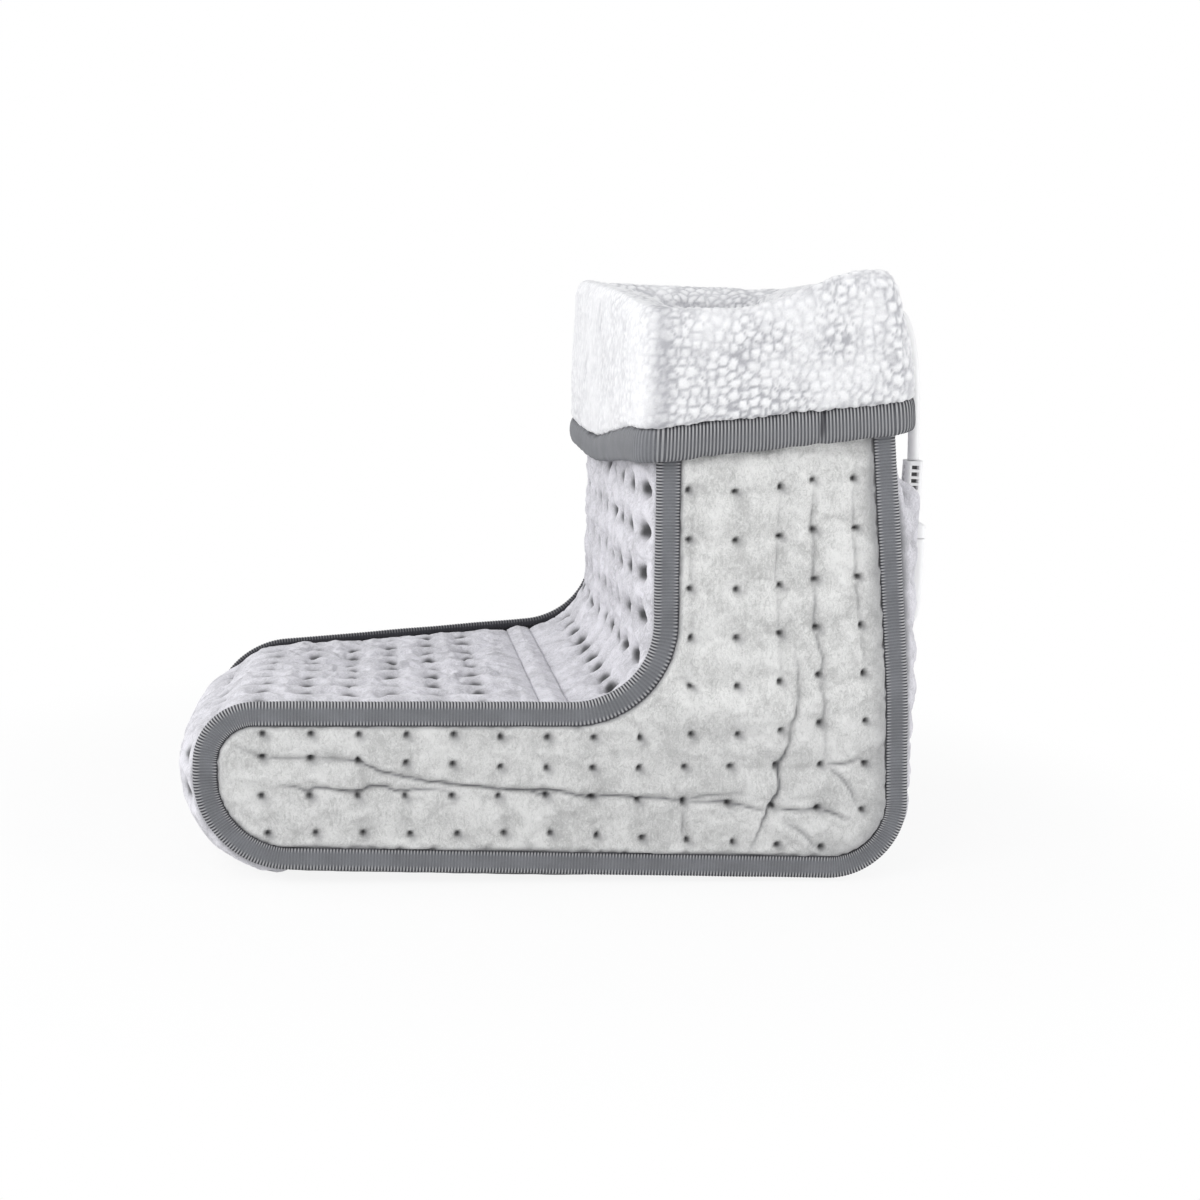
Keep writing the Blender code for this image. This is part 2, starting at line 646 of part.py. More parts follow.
def side_panel(name, side):
    """A flat side: bound edge, puffed and tufted middle, creased along its tuft rows."""
    stations = few_stations()
    count = len(stations)
    rim = -TAPE_WIDTH - GAP
    step = min(rim, INNER_LEVEL) - GAP
    levels = {"edge": EDGE_TOP, "rim": rim, "rise": rim - SIDE_RIM_WIDTH, "step": step}
    rings = {mark: [rail_on(side, at, height) for at in stations]
             for mark, height in levels.items()}
    rise = rings["rise"]
    puff_at = []
    flat = []

    def pressed(z):
        return PRESSED_PUFF_SHARE if z > PRESSED_ABOVE_Z else 1.0

    for mark, puff in (("edge", 0.0), ("rim", 0.0), ("rise", SIDE_RIM_PUFF)):
        for x, z in rings[mark]:
            flat.append((x, z))
            puff_at.append(puff * pressed(z))
    faces = []
    for row in range(2):
        for at in range(count - 1):
            a, b = row * count + at, (row + 1) * count + at
            faces.append((a, a + 1, b + 1, b))
    loop = list(range(2 * count, 3 * count))
    top_count = 8
    top = [len(flat) + number for number in range(top_count - 1)]
    for number in range(1, top_count):
        share = number / top_count
        x = rise[-1][0] * (1 - share) + rise[0][0] * share
        z = rise[-1][1] * (1 - share) + rise[0][1] * share
        flat.append((x, z))
        puff_at.append(SIDE_RIM_PUFF * PRESSED_PUFF_SHARE)
    loop += top
    inside = side_tufts([flat[index] for index in loop])
    start = len(flat)
    for x, z, puff in inside:
        flat.append((x, z))
        puff_at.append(puff * pressed(z))
    used = loop + list(range(start, len(flat)))
    ends = list(range(len(loop)))
    result = geometry.delaunay_2d_cdt([Vector(flat[index]) for index in used],
                                      list(zip(ends, ends[1:] + ends[:1])), [], 1, 1e-7)
    home = {}
    for index, (x, z) in enumerate(result[0]):
        home[index] = min(used, key=lambda other: math.dist(flat[other], (x, z)))
    faces += [tuple(home[index] for index in face) for face in result[2]]
    points = [(x, side * (SIDE_FACE + puff), z) for (x, z), puff in zip(flat, puff_at)]
    back = len(points)
    for mark, y in (("edge", SIDE_EDGE_BACK), ("step", SIDE_EDGE_BACK), ("rise", SIDE_INNER)):
        points += [(x, side * y, z) for x, z in rings[mark]]
    for row in range(2):
        for at in range(count - 1):
            a, b = back + row * count + at, back + (row + 1) * count + at
            faces.append((a, a + 1, b + 1, b))
    faces.append(tuple(range(back + 2 * count, back + 3 * count)))
    faces += [(at, at + 1, back + at + 1, back + at) for at in range(count - 1)]
    front_row = [0, count, 2 * count]
    back_row = [count - 1, 2 * count - 1, 3 * count - 1]
    cap = front_row + top[::-1] + back_row[::-1] + [back + at for at in back_row]
    cap += [back + at for at in reversed(front_row)]
    faces.append(tuple(cap))
    return add_object(name, points, faces, "plush")


def rail_on(side, station, height):
    """A point (x, z) off one side's own outline; at the shaft's top it stays level."""
    place, normal = rail(station, side * HALF)
    x, z = place + normal * height
    return (x, place[1] if station in (AT_TOP, AT_END) else z)


def few_stations(stride=2):
    """Every station on the arcs, one per stride along the straight runs, and both ends."""
    straights = ((AT_TOP, ANKLE_START), (ANKLE_END, TOE_START), (TOE_END, HEEL_START),
                 (HEEL_END, BEND_START), (BEND_END, AT_END))
    return [at for at in range(AT_END + 1)
            if not any(first < at < last and (at - first) % stride for first, last in straights)]


def side_tufts(loop):
    """Points on the quilting grid that lie inside a loop, each with its own puff."""
    columns = [SIDE_FIRST_TUFT_X]
    for share in COLUMN_PITCH_SHARES:
        columns.append(columns[-1] + SIDE_PITCH_X * share)
    rows = [SIDE_FIRST_ROW_Z + FOOT_ROW_PITCH * row for row in range(FOOT_ROWS)]
    rows += [rows[-1] + SHAFT_ROW_PITCH * row for row in range(1, SHAFT_ROWS + 1)]
    places_x = halves(columns)
    places_z = halves(rows)
    edge = np.array(loop)
    after = np.roll(edge, -1, axis=0)
    margin = QUILT_PITCH / 6
    found = []
    for j, z in enumerate(places_z):
        for i, x in enumerate(places_x):
            tilt = FOOT_ROW_TILT * (x - SIDE_FIRST_TUFT_X) if j < 2 * FOOT_ROWS - 1 else 0.0
            here = np.array((x, z - tilt))
            if not inside_loop(here, edge, after) or loop_distance(here, edge, after) < margin:
                continue
            puff = SIDE_PUFF
            if i % 2 == 0 and j % 2 == 0:
                puff = SIDE_TUFT_PUFF
            elif j in CREASED_ROWS or i == CREASED_COLUMN and j > 2 * FOOT_ROWS:
                puff = SIDE_CREASE_PUFF
            elif i % 2 == 0 or j % 2 == 0:
                puff = (SIDE_PUFF * 2 + SIDE_CREASE_PUFF) / 3
            found.append((here[0], here[1], puff))
    return found


def halves(values):
    """The values with the middle of each pair between them."""
    found = [values[0]]
    for before, value in zip(values[:-1], values[1:]):
        found += [(before + value) / 2, value]
    return found


def inside_loop(point, edge, after):
    """Even-odd rule: how often a ray along +X crosses the loop."""
    above = (edge[:, 1] > point[1]) != (after[:, 1] > point[1])
    rise = np.where(above, after[:, 1] - edge[:, 1], 1.0)
    cross = edge[:, 0] + (point[1] - edge[:, 1]) * (after[:, 0] - edge[:, 0]) / rise
    return bool(np.sum(above & (cross > point[0])) % 2)


def loop_distance(point, edge, after):
    """Least distance from a point to the sides of a loop."""
    span = after - edge
    share = np.clip(np.sum((point - edge) * span, axis=1) / np.sum(span * span, axis=1), 0, 1)
    near = edge + span * share[:, None]
    return float(np.min(np.linalg.norm(near - point, axis=1)))


def side_lining(name, side):
    """Fleece on the inner face of a side, cut off level below the cuff's inner leg."""
    height = min(-TAPE_WIDTH, INNER_LEVEL) - 3 * GAP
    outline = []
    for at in few_stations():
        x, z = rail_on(side, at, height)
        if z < LINING_TOP_Z - GAP:
            outline.append((x, z))
    outline = ([(outline[0][0], LINING_TOP_Z)] + outline + [(outline[-1][0], LINING_TOP_Z)])
    rings = [[(x, side * y, z) for x, z in outline] for y in (SIDE_LINING_FACE, SIDE_LINING_BACK)]
    return loft(name, rings, "fleece")


def cuff_stations():
    """Places round the cuff: the middle of each side and the turn of each corner."""
    ends = (-0.88, -0.66, -0.34, 0.0, 0.34, 0.66, 0.88)
    sides = (-0.5, 0.0, 0.5)
    turns = (0.0, 1 / 3, 2 / 3, 1.0)
    found = [("front", -share) for share in ends]
    found += [("corner", (-1, -1, turn)) for turn in turns]
    found += [("side", (-1, share)) for share in sides]
    found += [("corner", (1, -1, 1 - turn)) for turn in turns]
    found += [("back", share) for share in ends]
    found += [("corner", (1, 1, turn)) for turn in turns]
    found += [("side", (1, -share)) for share in sides]
    found += [("corner", (-1, 1, 1 - turn)) for turn in turns]
    return found


def cuff_point(place, beside, beyond, z):
    """A point round the shaft, a distance beside the sides and beyond front and back."""
    kind, value = place
    lean = (BACK_BEND_X - SHAFT_BACK_X) / (SHAFT_TOP_Z - BACK_BEND_Z)
    front = SHAFT_FRONT_X - CUFF_CLEARANCE - beyond
    level = min(z, SHAFT_TOP_Z)
    back = SHAFT_BACK_X + lean * (SHAFT_TOP_Z - level) + CUFF_CLEARANCE + CUFF_BACK_EASE + beyond
    back -= CUFF_TOP_LEAN * (z - level)
    half = HALF + CUFF_CLEARANCE + beside
    radius = max(CUFF_CORNER_RADIUS + min(beside, beyond), CUFF_CORNER_RADIUS / 2)
    if kind == "front":
        x, y = front, value * (half - radius)
    elif kind == "back":
        x, y = back, value * (half - radius)
    elif kind == "side":
        side, share = value
        x = (front + back) / 2 + (back - front - 2 * radius) / 2 * share
        y = side * half
    else:
        end, side, turn = value
        angle = turn * math.pi / 2
        x = (back - radius if end > 0 else front + radius) + end * radius * math.cos(angle)
        y = side * (half - radius + radius * math.sin(angle))
    if x < (front + back) / 2:
        return (x - CUFF_FRONT_CROWN * bow(y / half), y, z)
    return (x + CUFF_BACK_CROWN * bow(y / half), y, z)


def sherpa_cuff():
    """Fleece ring with a flap outside the shaft and a leg inside, under one rolled rim."""
    inner_side = -(SIDE_FACE - SIDE_INNER) - TAPE_THICKNESS - 2 * GAP - CUFF_CLEARANCE
    inner_end = INNER_LEVEL - GAP - CUFF_CLEARANCE - CUFF_BACK_EASE - CUFF_INNER_EASE
    leg = (inner_side - LINING_THICKNESS, inner_end - LINING_THICKNESS)
    flap = CUFF_FLAP
    outer = ((0.0, 0.0, 0.0), (0.9, 0.0, 0.0), (1.0, 0.0, flap), (1.05, 0.5, 0.0),
             (0.9, 1.0, -flap), (0.45, 1.0, -flap / 4), (0.0, 1.0, 0.0))
    inner = ((0.25, -flap / 8), (0.8, -flap / 2), (1.0, -flap * 1.4))
    rings = []
    for place in cuff_stations():
        ring = []
        for share, climb, lift in outer:
            beside, beyond = flap * share, CUFF_END_FLAP * share
            _, edge, rim = cuff_heights(place, beside, beyond)
            ring.append(cuff_point(place, beside, beyond, edge + (rim - edge) * climb + lift))
        for share, lift in inner:
            beside, beyond = leg[0] * share, leg[1] * share
            rim = cuff_heights(place, beside, beyond)[2]
            ring.append(cuff_point(place, beside, beyond, rim + lift))
        ring.append(cuff_point(place, *leg, LINING_TOP_Z + GAP))
        for z in (LINING_TOP_Z + GAP, SHAFT_TOP_Z + GAP):
            ring.append(cuff_point(place, inner_side, inner_end, z))
        ring.append(cuff_point(place, 0.0, 0.0, SHAFT_TOP_Z + GAP))
        rings.append(ring)
    return loft("sherpa_cuff", rings, "fleece", closed=True)


def cuff_binding():
    """Ribbed tape round the cuff's lower edge."""
    thick = CUFF_BINDING_THICKNESS
    section = ((0.0, 1.0, 0.0), (0.0, 0.0, thick / 4), (thick / 4, 0.0, 0.0),
               (thick * 3 / 4, 0.0, 0.0), (thick, 0.0, thick / 2), (thick, 1.0, -thick / 2),
               (thick * 3 / 4, 1.0, 0.0))
    rings = []
    for place in cuff_stations():
        ring = []
        for out, climb, lift in section:
            foot, edge, _ = cuff_heights(place, out, out)
            z = foot + (edge - CUFF_BINDING_GAP - foot) * climb + lift
            ring.append(cuff_point(place, out, out, z))
        rings.append(ring)
    return loft("cuff_binding", rings, "tape", closed=True)


def box_points(low, high):
    """The eight corners of a box, ringed along X."""
    return [[(x, low[1], low[2]), (x, high[1], low[2]), (x, high[1], high[2]),
             (x, low[1], high[2])] for x in (low[0], high[0])]


def box(name, low, high, finish):
    """A plain block between two corners."""
    return loft(name, box_points(low, high), finish)


def disc(centre, along, radius, sides):
    """A ring of points square to a direction."""
    along = np.array(along) / np.linalg.norm(along)
    helper = np.array((0.0, 0.0, 1.0)) if abs(along[2]) < 0.9 else np.array((1.0, 0.0, 0.0))
    across = np.cross(helper, along)
    across = across / np.linalg.norm(across)
    up = np.cross(along, across)
    return [np.array(centre) + radius * (math.cos(turn) * across + math.sin(turn) * up)
            for turn in (math.tau * step / sides for step in range(sides))]


def rod(name, start, end, radius, finish, sides=12):
    """A round bar between two points."""
    along = np.array(end) - np.array(start)
    rings = [disc(start, along, radius, sides), disc(end, along, radius, sides)]
    return loft(name, rings, finish)


def tube(name, points, diameter, finish, resolution=2):
    """A curve object that carries a round section along points, with closed ends."""
    curve = bpy.data.curves.new(name, 'CURVE')
    curve.dimensions = '3D'
    curve.bevel_depth = diameter / 2
    curve.bevel_resolution = resolution
    curve.use_fill_caps = True
    spline = curve.splines.new('POLY')
    spline.points.add(len(points) - 1)
    for target, point in zip(spline.points, points):
        target.co = (*[float(v) for v in point], 1.0)
    curve.materials.append(material(finish))
    made = bpy.data.objects.new(name, curve)
    bpy.context.scene.collection.objects.link(made)
    return made


def smooth_route(route, spacing, lead_in, lead_out):
    """Points at an even spacing on a smooth curve through the route's own points.

    The curve is a chain of cubic pieces whose slope at each point follows its neighbours
    (Catmull-Rom with chord-length steps). The first and the last run stay straight.
    """
    route = [np.array(point, dtype=float) for point in route]
    first = route[0] + (route[1] - route[0]) / np.linalg.norm(route[1] - route[0]) * lead_in
    last = route[-1] + (route[-2] - route[-1]) / np.linalg.norm(route[-2] - route[-1]) * lead_out
    chain = [route[0]] + route + [route[-1]]
    chain[0] = 2 * route[0] - route[1]
    chain[-1] = 2 * route[-1] - route[-2]
    dense = []
    fine = 24
    for index in range(1, len(chain) - 2):
        before, start, end, after = chain[index - 1:index + 3]
        t0, t1 = 0.0, math.sqrt(np.linalg.norm(start - before))
        t2 = t1 + math.sqrt(np.linalg.norm(end - start))
        t3 = t2 + math.sqrt(np.linalg.norm(after - end))
        for step in range(fine):
            t = t1 + (t2 - t1) * step / fine
            a1 = before * (t1 - t) / (t1 - t0) + start * (t - t0) / (t1 - t0)
            a2 = start * (t2 - t) / (t2 - t1) + end * (t - t1) / (t2 - t1)
            a3 = end * (t3 - t) / (t3 - t2) + after * (t - t2) / (t3 - t2)
            b1 = a1 * (t2 - t) / (t2 - t0) + a2 * (t - t0) / (t2 - t0)
            b2 = a2 * (t3 - t) / (t3 - t1) + a3 * (t - t1) / (t3 - t1)
            dense.append(b1 * (t2 - t) / (t2 - t1) + b2 * (t - t1) / (t2 - t1))
    dense.append(route[-1])
    dense = np.array(dense)
    travelled = np.concatenate(([0.0], np.cumsum(np.linalg.norm(np.diff(dense, axis=0), axis=1))))
    total = travelled[-1]
    count = max(2, round((total - lead_in - lead_out) / spacing))
    wanted = np.linspace(lead_in, total - lead_out, count + 1)
    dense[:, 2] = np.maximum(dense[:, 2], CORD_DIAMETER / 2 + CORD_FLOOR_GAP)
    body = [np.array([np.interp(at, travelled, dense[:, axis]) for axis in range(3)])
            for at in wanted]
    body[0], body[-1] = first, last
    return [route[0]] + body + [route[-1]]


def rounded_ring(centre, width, depth, radius, z, steps=3):
    """A level rounded rectangle: width along Y, depth along X."""
    ring = []
    for corner, (sx, sy) in enumerate(((1, 1), (-1, 1), (-1, -1), (1, -1))):
        for step in range(steps + 1):
            turn = math.pi / 2 * (corner + step / steps)
            ring.append((centre[0] + sx * (depth / 2 - radius) + radius * math.cos(turn),
                         centre[1] + sy * (width / 2 - radius) + radius * math.sin(turn), z))
    return ring


def socket_pieces():
    """The socket on the back panel, its contacts, and the plate and screws behind it."""
    axis = (PLUG_X, PLUG_Y)
    floor = SOCKET_TOP_Z - SOCKET_CAVITY_DEPTH
    corner = SOCKET_DEPTH * 0.32
    back_face = PLUG_X - SOCKET_DEPTH / 2
    low = (back_face + SOCKET_DEPTH * 0.3, PLUG_Y)
    height = SOCKET_TOP_Z - SOCKET_BOTTOM_Z
    cavity_width = SOCKET_WIDTH - 2 * SOCKET_WALL
    cavity_depth = SOCKET_DEPTH - 2 * SOCKET_WALL
    outer = [rounded_ring(low, SOCKET_WIDTH * 0.62, SOCKET_DEPTH * 0.6, corner * 0.7,
                          SOCKET_BOTTOM_Z),
             rounded_ring((low[0] + SOCKET_DEPTH * 0.08, PLUG_Y), SOCKET_WIDTH * 0.84,
                          SOCKET_DEPTH * 0.76, corner * 0.9, SOCKET_BOTTOM_Z + height * 0.06),
             rounded_ring((low[0] + SOCKET_DEPTH * 0.16, PLUG_Y), SOCKET_WIDTH * 0.96,
                          SOCKET_DEPTH * 0.92, corner, SOCKET_BOTTOM_Z + height * 0.16),
             rounded_ring(axis, SOCKET_WIDTH, SOCKET_DEPTH, corner, SOCKET_BOTTOM_Z + height * 0.3),
             rounded_ring(axis, SOCKET_WIDTH, SOCKET_DEPTH, corner, SOCKET_TOP_Z)]
    inner = [rounded_ring(axis, cavity_width, cavity_depth, corner / 2, SOCKET_TOP_Z),
             rounded_ring(axis, cavity_width, cavity_depth, corner / 2, floor)]
    housing = loft("socket_housing", outer + inner, "white_plastic")
    for side in (-1, 1):
        y = PLUG_Y + side * SCREW_SPACING / 2
        cut(housing, rod("pilot", (back_face - GAP, y, SCREW_Z),
                         (back_face + SCREW_BITE + GAP, y, SCREW_Z),
                         SCREW_DIAMETER / 2 + GAP, "steel", 8))
    cut(housing, rod("lead_entry", (back_face - GAP, PLUG_Y, LEAD_HOLE_Z),
                     (back_face + LEAD_HOLE_DEPTH, PLUG_Y, LEAD_HOLE_Z),
                     INNER_LEAD_DIAMETER / 2 + GAP, "steel", 10))
    contacts = []
    for index in range(CONTACT_COUNT):
        y = PLUG_Y + (index - (CONTACT_COUNT - 1) / 2) * CONTACT_PITCH
        cut(housing, box("contact_seat",
                         (PLUG_X - CONTACT_THICKNESS / 2 - GAP, y - CONTACT_WIDTH / 2 - GAP,
                          floor - CONTACT_ROOT - GAP),
                         (PLUG_X + CONTACT_THICKNESS / 2 + GAP, y + CONTACT_WIDTH / 2 + GAP,
                          floor + GAP), "brass"))
        contacts.append(contact_blade(y, floor))
    numbered("socket_contact", contacts)
    inside = SOCKET_SEAT_X - GAP - PANEL_THICKNESS
    plate_face = inside - GAP
    plate = box("clamp_plate",
                (plate_face - CLAMP_THICKNESS, PLUG_Y - CLAMP_WIDTH / 2, SCREW_Z - CLAMP_HEIGHT / 2),
                (plate_face, PLUG_Y + CLAMP_WIDTH / 2, SCREW_Z + CLAMP_HEIGHT / 2), "steel")
    screws = []
    for side in (-1, 1):
        y = PLUG_Y + side * SCREW_SPACING / 2
        cut(plate, rod("hole", (plate_face - 2 * CLAMP_THICKNESS, y, SCREW_Z),
                       (plate_face + CLAMP_THICKNESS, y, SCREW_Z),
                       SCREW_DIAMETER / 2 + GAP, "steel", 8))
        head = plate_face - CLAMP_THICKNESS - GAP
        profile = ((head - SCREW_HEAD_HEIGHT, SCREW_HEAD_DIAMETER / 2 * 0.7),
                   (head - SCREW_HEAD_HEIGHT / 2, SCREW_HEAD_DIAMETER / 2),
                   (head, SCREW_HEAD_DIAMETER / 2), (head, SCREW_DIAMETER / 2),
                   (back_face + SCREW_BITE, SCREW_DIAMETER / 2))
        rings = [disc((x, y, SCREW_Z), (1, 0, 0), radius, 8) for x, radius in profile]
        screws.append(loft("screw", rings, "steel"))
    numbered("clamp_screw", screws)


def contact_blade(y, floor):
    """One flat contact with a tapered tip, rooted in the socket's floor."""
    top = floor + CONTACT_LENGTH
    rings = []
    for z, share in ((floor - CONTACT_ROOT, 1.0), (top - CONTACT_WIDTH / 2, 1.0), (top, 0.5)):
        half = CONTACT_WIDTH / 2 * share
        thick = CONTACT_THICKNESS / 2 * share
        rings.append([(PLUG_X + thick, y + half, z), (PLUG_X - thick, y + half, z),
                      (PLUG_X - thick, y - half, z), (PLUG_X + thick, y - half, z)])
    return loft("contact", rings, "brass")


def numbered(name, members):
    """Names like pieces in order: each stays a node of its own."""
    for index, member in enumerate(members, start=1):
        member.name = f"{name}_{index}"


def pierce_back_panel(panel):
    """Holes through the back panel for the socket's screws and its lead."""
    inside = SOCKET_SEAT_X - 2 * PANEL_THICKNESS
    outside = SOCKET_SEAT_X + PANEL_THICKNESS / 2
    for side in (-1, 1):
        y = PLUG_Y + side * SCREW_SPACING / 2
        cut(panel, rod("hole", (inside, y, SCREW_Z), (outside, y, SCREW_Z),
                       SCREW_DIAMETER / 2 + GAP, "steel", 8))
    passage = inner_lead_route()[-LEAD_BEND_STEPS - 2:]
    cut(panel, pipe("passage", passage, INNER_LEAD_DIAMETER / 2 + GAP, 8))


def relief_ring(centre, width, depth, z):
    """One level of the slotted relief: a rounded square whose faces step in by a depth."""
    ring = []
    corner = width * 0.24
    half = width / 2
    for quarter in range(4):
        turn = math.pi / 2 * quarter
        cosine, sine = math.cos(turn), math.sin(turn)
        for x, y in ((half - depth, -corner * 0.9), (half - depth, corner * 0.9), (half, corner),
                     (corner, half)):
            ring.append((centre[0] + x * cosine - y * sine, centre[1] + x * sine + y * cosine, z))
    return ring


def plug_strain_relief(bottom):
    """Slotted strain relief: four spines joined by bars, with a slot in each face between."""
    rings = []
    pitch = (RELIEF_LENGTH - 2 * RELIEF_END) / RELIEF_SLOTS

    def width_at(z):
        share = (z - bottom) / RELIEF_LENGTH
        return RELIEF_WIDTH_BOTTOM + (RELIEF_WIDTH_TOP - RELIEF_WIDTH_BOTTOM) * share

    levels = [(bottom, 0.0)]
    for slot in range(RELIEF_SLOTS):
        middle = bottom + RELIEF_END + pitch * (slot + 0.5)
        reach = pitch * RELIEF_SLOT_SHARE / 2
        levels += [(middle - reach, 0.0), (middle - reach, RELIEF_SLOT_DEPTH),
                   (middle + reach, RELIEF_SLOT_DEPTH), (middle + reach, 0.0)]
    levels.append((bottom + RELIEF_LENGTH, 0.0))
    for z, depth in levels:
        rings.append(relief_ring((PLUG_X - RELIEF_SET_IN, PLUG_Y), width_at(z), depth, z))
    return loft("plug_strain_relief", rings, "lead")


def plug_pieces():
    """The plug that slides up out of the socket: core, cover, contacts and strain relief."""
    axis = (PLUG_X, PLUG_Y)
    corner = SOCKET_DEPTH * 0.32
    width = SOCKET_WIDTH - 2 * SOCKET_WALL - 2 * PLUG_FIT
    depth = SOCKET_DEPTH - 2 * SOCKET_WALL - 2 * PLUG_FIT
    tip = SOCKET_TOP_Z - PLUG_NOSE_LENGTH
    cover_low = SOCKET_TOP_Z + GAP
    pocket_top = cover_low + PLUG_POCKET_DEPTH
    cover_top = cover_low + PLUG_COVER_HEIGHT
    core = loft("plug_core", [
        rounded_ring(axis, width - corner / 2, depth - corner / 2, corner / 4, tip),
        rounded_ring(axis, width, depth, corner / 2 - PLUG_FIT, tip + corner / 3),
        rounded_ring(axis, width, depth, corner / 2 - PLUG_FIT, pocket_top - GAP)], "grey_plastic")
    sleeves = []
    sleeve_x = CONTACT_THICKNESS / 2 + SLEEVE_CLEARANCE
    sleeve_y = CONTACT_WIDTH / 2 + SLEEVE_CLEARANCE
    roof = tip + CONTACT_LENGTH + GAP
    for index in range(CONTACT_COUNT):
        y = PLUG_Y + (index - (CONTACT_COUNT - 1) / 2) * CONTACT_PITCH
        outer_x, outer_y = sleeve_x + SLEEVE_WALL, sleeve_y + SLEEVE_WALL
        cut(core, box("slot", (PLUG_X - outer_x - GAP, y - outer_y - GAP, tip - GAP),
                      (PLUG_X + outer_x + GAP, y + outer_y + GAP, roof + GAP), "brass"))
        sleeves.append(sleeve(y, outer_x, outer_y, sleeve_x, sleeve_y, tip + GAP, roof))
    numbered("plug_contact", sleeves)
    rings = [rounded_ring(axis, SOCKET_WIDTH, SOCKET_DEPTH, corner, cover_low),
             rounded_ring(axis, SOCKET_WIDTH, SOCKET_DEPTH, corner, cover_top - corner / 2),
             rounded_ring(axis, SOCKET_WIDTH - corner, SOCKET_DEPTH - corner / 2, corner / 2,
                          cover_top)]
    cover = loft("plug_cover", rings, "white_plastic")
    pocket = loft("pocket", [
        rounded_ring(axis, width + 2 * PLUG_FIT, depth + 2 * PLUG_FIT, corner / 2,
                     cover_low - GAP),
        rounded_ring(axis, width + 2 * PLUG_FIT, depth + 2 * PLUG_FIT, corner / 2,
                     pocket_top)], "white_plastic")
    cut(cover, pocket)
    plug_strain_relief(cover_top + GAP)
    return cover_top + GAP + RELIEF_LENGTH


def sleeve(y, outer_x, outer_y, inner_x, inner_y, low, high):
    """A thin-walled square sleeve, open at both ends, that takes one contact."""
    def ring(half_x, half_y, z):
        return [(PLUG_X + half_x, y + half_y, z), (PLUG_X - half_x, y + half_y, z),
                (PLUG_X - half_x, y - half_y, z), (PLUG_X + half_x, y - half_y, z)]

    rings = [ring(outer_x, outer_y, low), ring(outer_x, outer_y, high),
             ring(inner_x, inner_y, high), ring(inner_x, inner_y, low)]
    return loft("sleeve", rings, "brass", closed=True)


def pipe(name, points, radius, sides, finish="steel"):
    """A round section carried along points, each ring square to the path there."""
    points = [np.array(point, dtype=float) for point in points]
    rings = []
    for index, point in enumerate(points):
        ahead = points[min(index + 1, len(points) - 1)] - points[max(index - 1, 0)]
        ahead = ahead / np.linalg.norm(ahead)
        across = np.cross(ahead, (0.0, 1.0, 0.0))
        across = across / np.linalg.norm(across)
        up = np.cross(across, ahead)
        rings.append([point + radius * (math.cos(turn) * across + math.sin(turn) * up)
                      for turn in (math.tau * step / sides for step in range(sides))])
    return loft(name, rings, finish)


def sole_height(x, height):
    """Z of a level a height above the sole's outline."""
    share = (x - TOE_X) / (HEEL_X - TOE_X)
    return TOE_BOTTOM_Z + (HEEL_Z - TOE_BOTTOM_Z) * share + height


def inner_lead_route():
    """From the joint on the mat, round the heel, up the back and out into the socket."""
    start = JOINT_X + JOINT_LENGTH - JOINT_BORE_DEPTH + GAP
    points = [(start, PLUG_Y, sole_height(start, WIRE_LEVEL))]
    top = station_at_height(LEAD_HOLE_Z - LEAD_BEND_RADIUS)
    limit = SOCKET_SEAT_X - 3 * GAP - PANEL_THICKNESS - CLAMP_THICKNESS - INNER_LEAD_DIAMETER / 2
    inset = WIRE_LEVEL + INNER_LEVEL
    for station in np.arange(HEEL_START, top, 1.0):
        place, normal = rail(station, PLUG_Y)
        x, z = place + normal * (INNER_LEVEL + inner_swell(station, PLUG_Y) - inset)
        if z < LEAD_HOLE_Z - 2 * LEAD_BEND_RADIUS:
            points.append((min(x, limit), PLUG_Y, z))
    for step in range(LEAD_BEND_STEPS + 1):
        turn = math.pi / 2 * step / LEAD_BEND_STEPS
        points.append((limit + LEAD_BEND_RADIUS * (1 - math.cos(turn)), PLUG_Y,
                       LEAD_HOLE_Z - LEAD_BEND_RADIUS * (1 - math.sin(turn))))
    end = PLUG_X - SOCKET_DEPTH / 2 + LEAD_HOLE_DEPTH - GAP
    points.append((end, PLUG_Y, LEAD_HOLE_Z))
    return points


